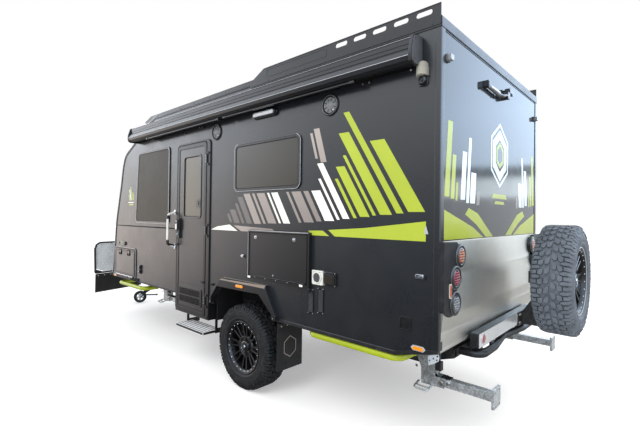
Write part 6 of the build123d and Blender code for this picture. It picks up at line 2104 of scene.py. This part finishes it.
m = M(at=jat).mat(RUBBER)
c = (164, 0, 110)
m.lathe([(68, -31), (74, -35), (92, -36), (101, -33), (106.5, -26), (109, -16), (109.8, -6), (109.8, 6), (109, 16), (106.5, 26),
         (101, 33), (92, 36), (74, 35), (68, 31), (64, 20), (64, -20)], c, "y", 72, closed=True)
for k in range(30):                             # tread bars
    a = 2 * math.pi * k / 30
    for s in (1, -1):
        aa = a + s * 0.05
        r0, r1 = 103.0, 109.9
        dt = 0.045
        ring = []
        for rr in (r0, r1):
            ring.append([(c[0] + rr * math.cos(t), y, c[2] - rr * math.sin(t)) for t, y in
                         ((aa - dt, s * 18), (aa + dt, s * 18), (aa + dt, s * 31), (aa - dt, s * 31))])
        m.loft(ring)
m.done("jockey_tyre", "jockey_wheel", bevel=0, replaces=("jockey_wheel",))
m = M(at=jat).mat(MILLED)
m.lathe([(60, -22), (67.6, -26), (67.6, -22), (63, -17), (63, 17), (67.6, 22), (67.6, 26), (60, 22)], c, "y", 64, closed=True)
m.lathe([(9.2, -36), (22, -36), (22, 36), (9.2, 36)], c, "y", 32, closed=True)
for k in range(5):                              # five spokes each side
    a = 2 * math.pi * k / 5 + 0.3
    for s in (1, -1):
        u, w = (math.cos(a), -math.sin(a)), (math.sin(a), math.cos(a))
        ring = []
        for r, hw, y in ((18, 8, 30), (40, 6.5, 24), (62, 9, 18)):
            ring.append([(c[0] + u[0] * r + w[0] * h, s * yy, c[2] + u[1] * r + w[1] * h) for h, yy in
                         ((-hw, y), (hw, y), (hw, y - 10), (-hw, y - 10))])
        m.loft(ring)
m.done("jockey_hub", "jockey_wheel", bevel=1.0)
m = M(at=jat).mat(ZINC)
m.hexhead((164, 44, 110), (0, 1, 0), 9, 7)
m.hexhead((164, -62, 110), (0, -1, 0), 9, 7)
m.hexhead((0, 0, 270), (0, 0, 1), 9, 0.5)
m.done("jockey_axle_nuts", "jockey_fork")
m = M(at=jat).mat(SEAL)
m.box(-131, -111, -86, -57, 115, 145)
m.done("jockey_pedal_pad", "jockey_fork", bevel=2.0)
m = M().mat(TRIM)
m.cyl((6445, 0, 930), (6445, 0, 974), 13, 24)
m.lathe([(0, 889), (31.5, 889), (31.5, 900), (24, 908), (0, 908)], (6325, 0, 0), "z", 36)
m.lathe([(30.3, 440), (33, 440), (33, 452), (30.3, 452)], (6325, 0, 0), "z", 36, closed=True)
m.done("jockey_tube_cap_and_grip", bevel=1.0)
m = M().mat(ZINC)
m.ring(circle(6325, 0, 38, 40), circle(6325, 0, 30.5, 40), "z", 660, 716)
m.box(6283, 6289, -40, 40, 660, 716)
m.cyl((6325, 30, 688), (6325, 62, 688), 7, 14)
m.cyl((6325, 58, 660), (6325, 58, 716), 6, 12)
m.done("jockey_clamp", bevel=1.0)

# ------------------------------------------------------------------ roof equipment
refine("air_conditioner", ACM, 9.0, 4, 24)
m = M().mat(TRIM)
for s in (1, -1):                               # side louvres
    for k in range(7):
        z = 2938 + 13 * k
        m.box(1260, 1820, *(sorted((s * 329.0, s * 333.0))), z, z + 6)
for k in range(9):                              # rear outlet
    y = -200 + 50 * k
    m.box(1146, 1151, y - 18, y + 18, 2942, 3022)
m.box(1176, 1904, -300, 300, 2920, 2930)        # seal under the shroud
m.done("air_con_louvres", bevel=0.6)
# painted shade: black sheets inside the side louvres
m = M().mat(BLACK_AND_PAINTED_SHADE)
for s in (1, -1):
    m.box(1252, 1828, *(sorted((s * 328.0, s * 330.6))), 2934, 3032)
m.done("air_con_recesses")
m = M().mat(ACM)
m.ring(rrect(1224, 1858, -256, 256, 90), rrect(1240, 1842, -240, 240, 80), "z", 3089, 3094)
for k in range(3):
    m.box(1300, 1780, -150 + 110 * k, -70 + 110 * k, 3092, 3094.5)
m.done("air_con_top_panel", bevel=1.5)
m = M().mat(ZINC)
for x in (1180, 1540, 1900):
    for s in (1, -1):
        m.screw((x, s * 330, 2950), (0, s, 0), 5)
m.done("air_con_screws")

PANELS = ((2760, 3740, 90, 760), (2760, 3740, -760, -90), (220, 900, -500, 500))
m = M().mat(ALUM)
for x0, x1, y0, y1 in PANELS:
    m.ring(rrect(x0 - 1, x1 + 1, y0 - 1, y1 + 1, 4, 2), rrect(x0 + 22, x1 - 22, y0 + 22, y1 - 22, 2, 2), "z", 2966, 2979.5)
    m.ring(rrect(x0 - 1, x1 + 1, y0 - 1, y1 + 1, 4, 2), rrect(x0 + 2, x1 - 2, y0 + 2, y1 - 2, 3, 2), "z", 2942, 2966)
m.done("solar_frames", bevel=0.8)
m = M().mat(SILVER_AND_PAINTED_HIGHLIGHT)
for x0, x1, y0, y1 in PANELS:                   # gaps between the cells and their bus bars
    nx, ny = max(2, round((x1 - x0 - 60) / 158)), max(2, round((y1 - y0 - 60) / 158))
    for i in range(nx + 1):
        x = x0 + 30 + (x1 - x0 - 60) * i / nx
        m.box(x - 1.6, x + 1.6, y0 + 30, y1 - 30, 2977, 2977.6)
    for i in range(ny + 1):
        y = y0 + 30 + (y1 - y0 - 60) * i / ny
        m.box(x0 + 30, x1 - 30, y - 1.6, y + 1.6, 2977, 2977.6)
    for i in range(ny):
        for q in (0.33, 0.67):
            y = y0 + 30 + (y1 - y0 - 60) * (i + q) / ny
            m.box(x0 + 30, x1 - 30, y - 0.6, y + 0.6, 2977, 2977.5)
m.done("solar_cell_lines")
m = M().mat(TRIM)
m.box(3780, 3860, -40, 40, 2920, 2944)          # cable gland box
m.tube(fillet_path([(3780, 20, 2930), (3760, 20, 2928), (3752, 84, 2928), (3745, 110, 2932)], 14, 4), 5, 10)
m.tube(fillet_path([(3780, -20, 2930), (3760, -20, 2928), (3752, -84, 2928), (3745, -110, 2932)], 14, 4), 5, 10)
m.done("solar_cable_gland", bevel=2.0)
refine("roof_hatch_lid", ROOFW, 6.0, 4, 26)
m = M().mat(ROOFW)
for k in range(5):
    y = -180 + 90 * k
    m.box(2120, 2540, y - 7, y + 7, 2985.5, 2988.5)
m.done("roof_hatch_ribs", "roof_hatch_lid", bevel=1.4)
m = M().mat(ACM)
m.ring(rrect(2006, 2654, -324, 324, 30), rrect(2030, 2630, -300, 300, 20), "z", 2920, 2926)
m.done("roof_hatch_flange", bevel=1.5)
m = M().mat(ZINC)
for k in range(5):
    for s in (1, -1):
        m.screw((2040 + 145 * k, s * 312, 2926), (0, 0, 1), 4.5)
        m.screw((2330 + s * 312, -290 + 145 * k, 2926), (0, 0, 1), 4.5)
m.done("roof_hatch_screws")

# ------------------------------------------------------------------ right side fittings
YR = -1107.0
m = M().mat(CREAM)
for z0 in (900, 1560):
    m.ring(rrect(2696, 3184, z0 - 4, z0 + 174, 12), rrect(2716, 3164, z0 + 16, z0 + 154, 6), "y", YR - 4, YR)
    for k in range(8):                          # sloped louvres
        z = z0 + 22 + k * 16.5
        m.loft([[(x, YR - 1, z), (x, YR - 5.5, z - 1), (x, YR - 5.5, z + 3), (x, YR - 1, z + 11)] for x in (2718, 3162)])
    for x in (2760, 3120):
        m.prism(rrect(x - 12, x + 12, z0 + 4, z0 + 14, 4), "y", YR - 7, YR - 4)
m.done("fridge_vent_grilles", bevel=0.7)
# painted shade: black sheets behind the vent louvres
m = M().mat(BLACK_AND_PAINTED_SHADE)
for z0 in (900, 1560):
    m.box(2716, 3164, YR - 1.2, YR - 0.2, z0 + 16, z0 + 154)
m.done("fridge_vent_recesses")
m = M().mat(CREAM)
m.ring(rrect(756, 1004, 976, 1234, 14), rrect(774, 986, 994, 1216, 8), "y", YR - 4, YR)
m.prism(rrect(778, 982, 998, 1212, 8), "y", YR - 2.5, YR)
m.lathe([(40, -9), (58, -9), (58, -2), (40, -2)], (880, YR, 1130), "y", 48, closed=True)
for k in range(5):
    m.box(840, 920, YR - 8, YR - 3, 1108 + k * 10, 1112 + k * 10)
m.cyl((806, YR - 2.5, 1190), (806, YR - 8, 1190), 11, 24)
m.done("heater_door", bevel=0.8)
# painted shade: a black disc and slots stand for the dark openings of the heater door
m = M().mat(BLACK_AND_PAINTED_SHADE)
m.cyl((880, YR - 2.4, 1130), (880, YR - 3.4, 1130), 41, 40)
m.box(800, 812, YR - 8.6, YR - 8, 1188, 1192)
for k in range(4):
    m.box(800, 960, YR - 3.2, YR - 2.4, 1014 + 14 * k, 1020 + 14 * k)
m.done("heater_openings")
m = M().mat(TRIM)
m.lathe([(0, -32), (40, -32), (46, -28), (46, -22), (66, -22), (66, -19), (62, 0)], (3700, -1093, 930), "y", 48)
m.box(3676, 3724, -1133, -1124, 924, 936)
m.done("water_filler_cap", bevel=1.0)
m = M().mat(ZINC)
for a in range(6):
    m.screw((3700 + 56 * math.cos(a * 1.047), -1115, 930 + 56 * math.sin(a * 1.047)), (0, -1, 0), 4)
for z0 in (900, 1560):
    for x in (2708, 2940, 3172):
        for z in (z0 + 4, z0 + 166):
            m.screw((x, YR - 4, z), (0, -1, 0), 4)
m.done("right_side_screws")

# ------------------------------------------------------------------ under the floor
refine("water_tanks", TANKM, 22.0, 4, 28)
m = M().mat(GALV)
for x0, x1 in ((686, 1204), (3106, 3650)):
    for x in (x0 + 110, x1 - 110):
        m.box(x - 16, x + 16, -618, 618, 556, 560)
        for s in (1, -1):
            m.box(x - 16, x + 16, *(sorted((s * 610.0, s * 614.0))), 556, 750)
m.done("tank_straps", bevel=1.0)
m = M().mat(TANKM)
for x0, x1 in ((686, 1204), (3106, 3650)):
    for k in range(5):
        y = -480 + 240 * k
        m.box(x0 + 40, x1 - 40, y - 14, y + 14, 552, 561)
m.done("tank_ribs", bevel=3.0)
m = M().mat(TRIM)
for x in (980, 3400):
    m.cyl((x, 300, 545), (x, 300, 562), 22, 24)
    m.cyl((x, 300, 530), (x, 300, 545), 13, 20)
m.tube(fillet_path([(980, 300, 536), (980, 420, 536), (1040, 520, 620), (1040, 640, 640), (1040, 650, 600)], 40, 6), 11, 12)
m.tube([(1300, -20, 640), (2400, -20, 640), (3060, 40, 640)], 12, 10)
m.tube([(1250, 60, 638), (2450, 60, 638), (3060, 60, 638)], 8, 10)
m.done("tank_outlets_and_pipes")
refine("chassis_frame", CHASSIS, 1.6, 2, 30)
refine("trailing_arms", STEELDK, 4.0, 3, 28)
m = M().mat(SEAL)
for s in (1, -1):
    for y0 in (436, 642):
        m.lathe([(14, s * y0), (36, s * y0), (36, s * (y0 + 8)), (14, s * (y0 + 8))], (2580, 0, 540), "y", 32, closed=True)
    m.cyl((1975, s * 595, 471), (1975, s * 595, 500), 24, 28, r2=17)
    m.cyl((1975, s * 595, 618), (1975, s * 595, 640), 20, 28, r2=30)
    for zz in range(5):
        m.lathe([(27, 0), (32, 5), (27, 10)], (1800 - 0 * zz, s * 748, 0), "y", 4) if False else None
m.done("suspension_bushes")
m = M().mat(ZINC)
for s in (1, -1):
    m.hexhead((2580, s * 670, 540), (0, s, 0), 14, 10)
    m.hexhead((2580, s * 420, 540), (0, -s, 0), 14, 10)
    m.hexhead((1864, s * 770, 412), (0, s, 0), 10, 8)
    m.hexhead((1740, s * 770, 660), (0, s, 0), 10, 8)
m.done("suspension_bolts")
m = M().mat(STEELDK)
for s in (1, -1):                               # brake drums
    m.lathe([(60, s * 834), (150, s * 834), (158, s * 840), (158, s * 868), (148, s * 880), (60, s * 880)], (2000, 0, 402), "y", 64, closed=True)
m.done("brake_back_covers", bevel=0)
m = M().mat(SEAL)
for s in (1, -1):
    m.tube(fillet_path([(2060, s * 620, 640), (2100, s * 660, 560), (2080, s * 700, 480), (2040, s * 800, 430), (2030, s * 822, 420)], 30, 6), 5.5, 10)
m.done("brake_wires")

# ------------------------------------------------------------------ step and step well
refine("step_tread", STEPAL, 2.0, 2, 30)
m = M().mat(SEAL)
for i in range(6):
    y = 947 + 37 * i
    if i < 6:
        m.box(2583, 3099, y - 3.5, y + 3.5, 440, 441.6)
m.box(2567, 3115, 1150, 1153, 416, 436)
m.done("step_grip_strips", "step_tread")
m = M().mat(TRIM)
for x in (2563, 3119):
    s = 1 if x > 3000 else -1
    m.box(*(sorted((x, x + s * 4.0))), 946, 1144, 414, 436)
m.done("step_end_caps", "step_tread", bevel=1.0)
m = M().mat(CHEQA)
m.box(2559, 3226, 784, 1046, 572, 574)
m.done("step_well_mat")
refine("side_tubes", LIMEPC, 1.6, 2, 30)


# ------------------------------------------------------------------ camera, light and floor
def camera():
    yaw, pitch, roll = -0.8329, 0.0091, 0.0131
    fw = Vector((math.cos(pitch) * math.cos(yaw), math.cos(pitch) * math.sin(yaw), math.sin(pitch)))
    r = fw.cross(Vector((0, 0, 1))).normalized()
    u = r.cross(fw)
    c, s = math.cos(roll), math.sin(roll)
    r2, u2 = r * c + u * s, u * c - r * s
    cam = bpy.data.objects.new("camera", bpy.data.cameras.new("camera"))
    bpy.context.scene.collection.objects.link(cam)
    m = Matrix((r2, u2, -fw)).transposed().to_4x4()
    m.translation = Vector((-4.20215, 3.3432, 1.6619))
    cam.matrix_world = m
    cam.data.sensor_width = 36.0
    cam.data.lens = 22.21
    cam.data.clip_start = 0.05
    cam.data.clip_end = 200
    bpy.context.scene.camera = cam


def world():
    """White card to the camera, even light on matt surfaces, and a banded sky and ground in the reflections."""
    w = bpy.data.worlds.new("studio")
    bpy.context.scene.world = w
    w.use_nodes = True
    nt = w.node_tree
    nt.nodes.clear()
    out = nt.nodes.new("ShaderNodeOutputWorld")
    lp = nt.nodes.new("ShaderNodeLightPath")
    tc = nt.nodes.new("ShaderNodeTexCoord")
    sep = nt.nodes.new("ShaderNodeSeparateXYZ")
    nt.links.new(tc.outputs["Generated"], sep.inputs["Vector"])
    el = maprange(nt, sep.outputs["Z"], -1.0, 1.0, 0.0, 1.0)

    def band(stops):
        k = 1.0 / TOP
        return ramp(nt, el, [((math.sin(math.radians(e)) + 1) / 2, tuple(c * k for c in col)) for e, col in stops])
    side = mixc(nt, maprange(nt, sep.outputs["X"], 0.66, 0.925, 0.0, 1.0), band(SIDE_REAR), band(SIDE_FRONT))
    both_ = mixc(nt, maprange(nt, sep.outputs["X"], -0.12, 0.05, 0.0, 1.0), band(BEHIND), side)
    bg1 = nt.nodes.new("ShaderNodeBackground")
    nt.links.new(both_, bg1.inputs["Color"])
    bg1.inputs["Strength"].default_value = TOP
    bg2 = nt.nodes.new("ShaderNodeBackground")
    bg2.inputs["Color"].default_value = (0.98, 0.99, 1.0, 1)
    bg2.inputs["Strength"].default_value = DIFFUSE_SKY
    bg3 = nt.nodes.new("ShaderNodeBackground")
    bg3.inputs["Color"].default_value = (1, 1, 1, 1)
    bg3.inputs["Strength"].default_value = 1.0
    m1 = nt.nodes.new("ShaderNodeMixShader")
    m2 = nt.nodes.new("ShaderNodeMixShader")
    nt.links.new(lp.outputs["Is Glossy Ray"], m1.inputs[0])
    nt.links.new(bg2.outputs[0], m1.inputs[1])
    nt.links.new(bg1.outputs[0], m1.inputs[2])
    nt.links.new(lp.outputs["Is Camera Ray"], m2.inputs[0])
    nt.links.new(m1.outputs[0], m2.inputs[1])
    nt.links.new(bg3.outputs[0], m2.inputs[2])
    nt.links.new(m2.outputs[0], out.inputs["Surface"])


TOP = 6.0
# elevation in degrees and light, seen in surfaces that face back, to the side, and to the side further forward
BEHIND = [(-60, (0.30, 0.30, 0.30)), (-12, (0.55, 0.55, 0.55)), (-3, (0.85, 0.87, 0.88)), (2.6, (1.0, 1.05, 1.1)), (3.0, (2.5, 2.8, 3.0)),
          (5.3, (2.3, 2.6, 2.8)), (5.5, (0.5, 0.56, 0.62)), (6.7, (0.7, 0.8, 0.9)), (7.1, (2.1, 2.6, 3.2)), (14, (2.3, 2.9, 3.7)),
          (22, (2.1, 2.6, 3.3)), (60, (1.6, 1.9, 2.3))]
SIDE_REAR = [(-60, (0.05, 0.05, 0.05)), (-14, (0.05, 0.05, 0.06)), (-8, (0.12, 0.13, 0.15)), (0, (0.38, 0.41, 0.45)), (8, (0.9, 0.93, 0.96)),
             (15, (1.4, 1.45, 1.5)), (30, (2.0, 2.1, 2.2)), (60, (1.7, 1.8, 2.0))]
SIDE_FRONT = [(-60, (0.35, 0.34, 0.33)), (-13, (0.6, 0.57, 0.54)), (-8, (1.55, 1.42, 1.34)), (-3, (2.3, 2.0, 1.85)), (1, (2.1, 1.95, 1.85)),
              (5, (2.4, 2.4, 2.4)), (9, (3.0, 3.1, 3.3)), (20, (3.0, 3.2, 3.5)), (60, (2.0, 2.2, 2.4))]
DIFFUSE_SKY = 1.15


def stage_set():
    me = bpy.data.meshes.new("floor")
    bm = bmesh.new()
    s = 60.0
    bm.faces.new([bm.verts.new(p) for p in ((-s, -s, 0), (s, -s, 0), (s, s, 0), (-s, s, 0))])
    bm.to_mesh(me)
    bm.free()
    ob = bpy.data.objects.new("floor", me)
    bpy.context.scene.collection.objects.link(ob)
    m, nt, b, tc = nmat("studio_floor")
    n1 = noise(nt, tc, 1.5, 3.0)
    nt.links.new(ramp(nt, n1, [(0.3, (0.80, 0.80, 0.80)), (0.7, (0.82, 0.82, 0.82))]), b.inputs["Base Color"])
    b.inputs["Roughness"].default_value = 0.9
    b.inputs["Specular IOR Level"].default_value = 0.1
    b.inputs["Emission Color"].default_value = (1, 1, 1, 1)
    b.inputs["Emission Strength"].default_value = 0.33
    me.materials.append(m)
    ob.visible_glossy = False
    for name, loc, size, power, aim in (
            ("key", (-3.5, 7.0, 6.5), 5.0, 420, (0, 0, 1.2)),
            ("rear_fill", (-8.5, -2.0, 5.0), 4.0, 160, (-2.5, 0, 1.5))):
        ld = bpy.data.lights.new(name, "AREA")
        ld.shape = "SQUARE"
        ld.size = size
        ld.energy = power
        lo = bpy.data.objects.new(name, ld)
        bpy.context.scene.collection.objects.link(lo)
        lo.location = loc
        lo.rotation_euler = (Vector(aim) - Vector(loc)).to_track_quat("-Z", "Y").to_euler()
        lo.visible_glossy = False


camera()
world()
stage_set()
bpy.context.scene.view_settings.view_transform = "Standard"
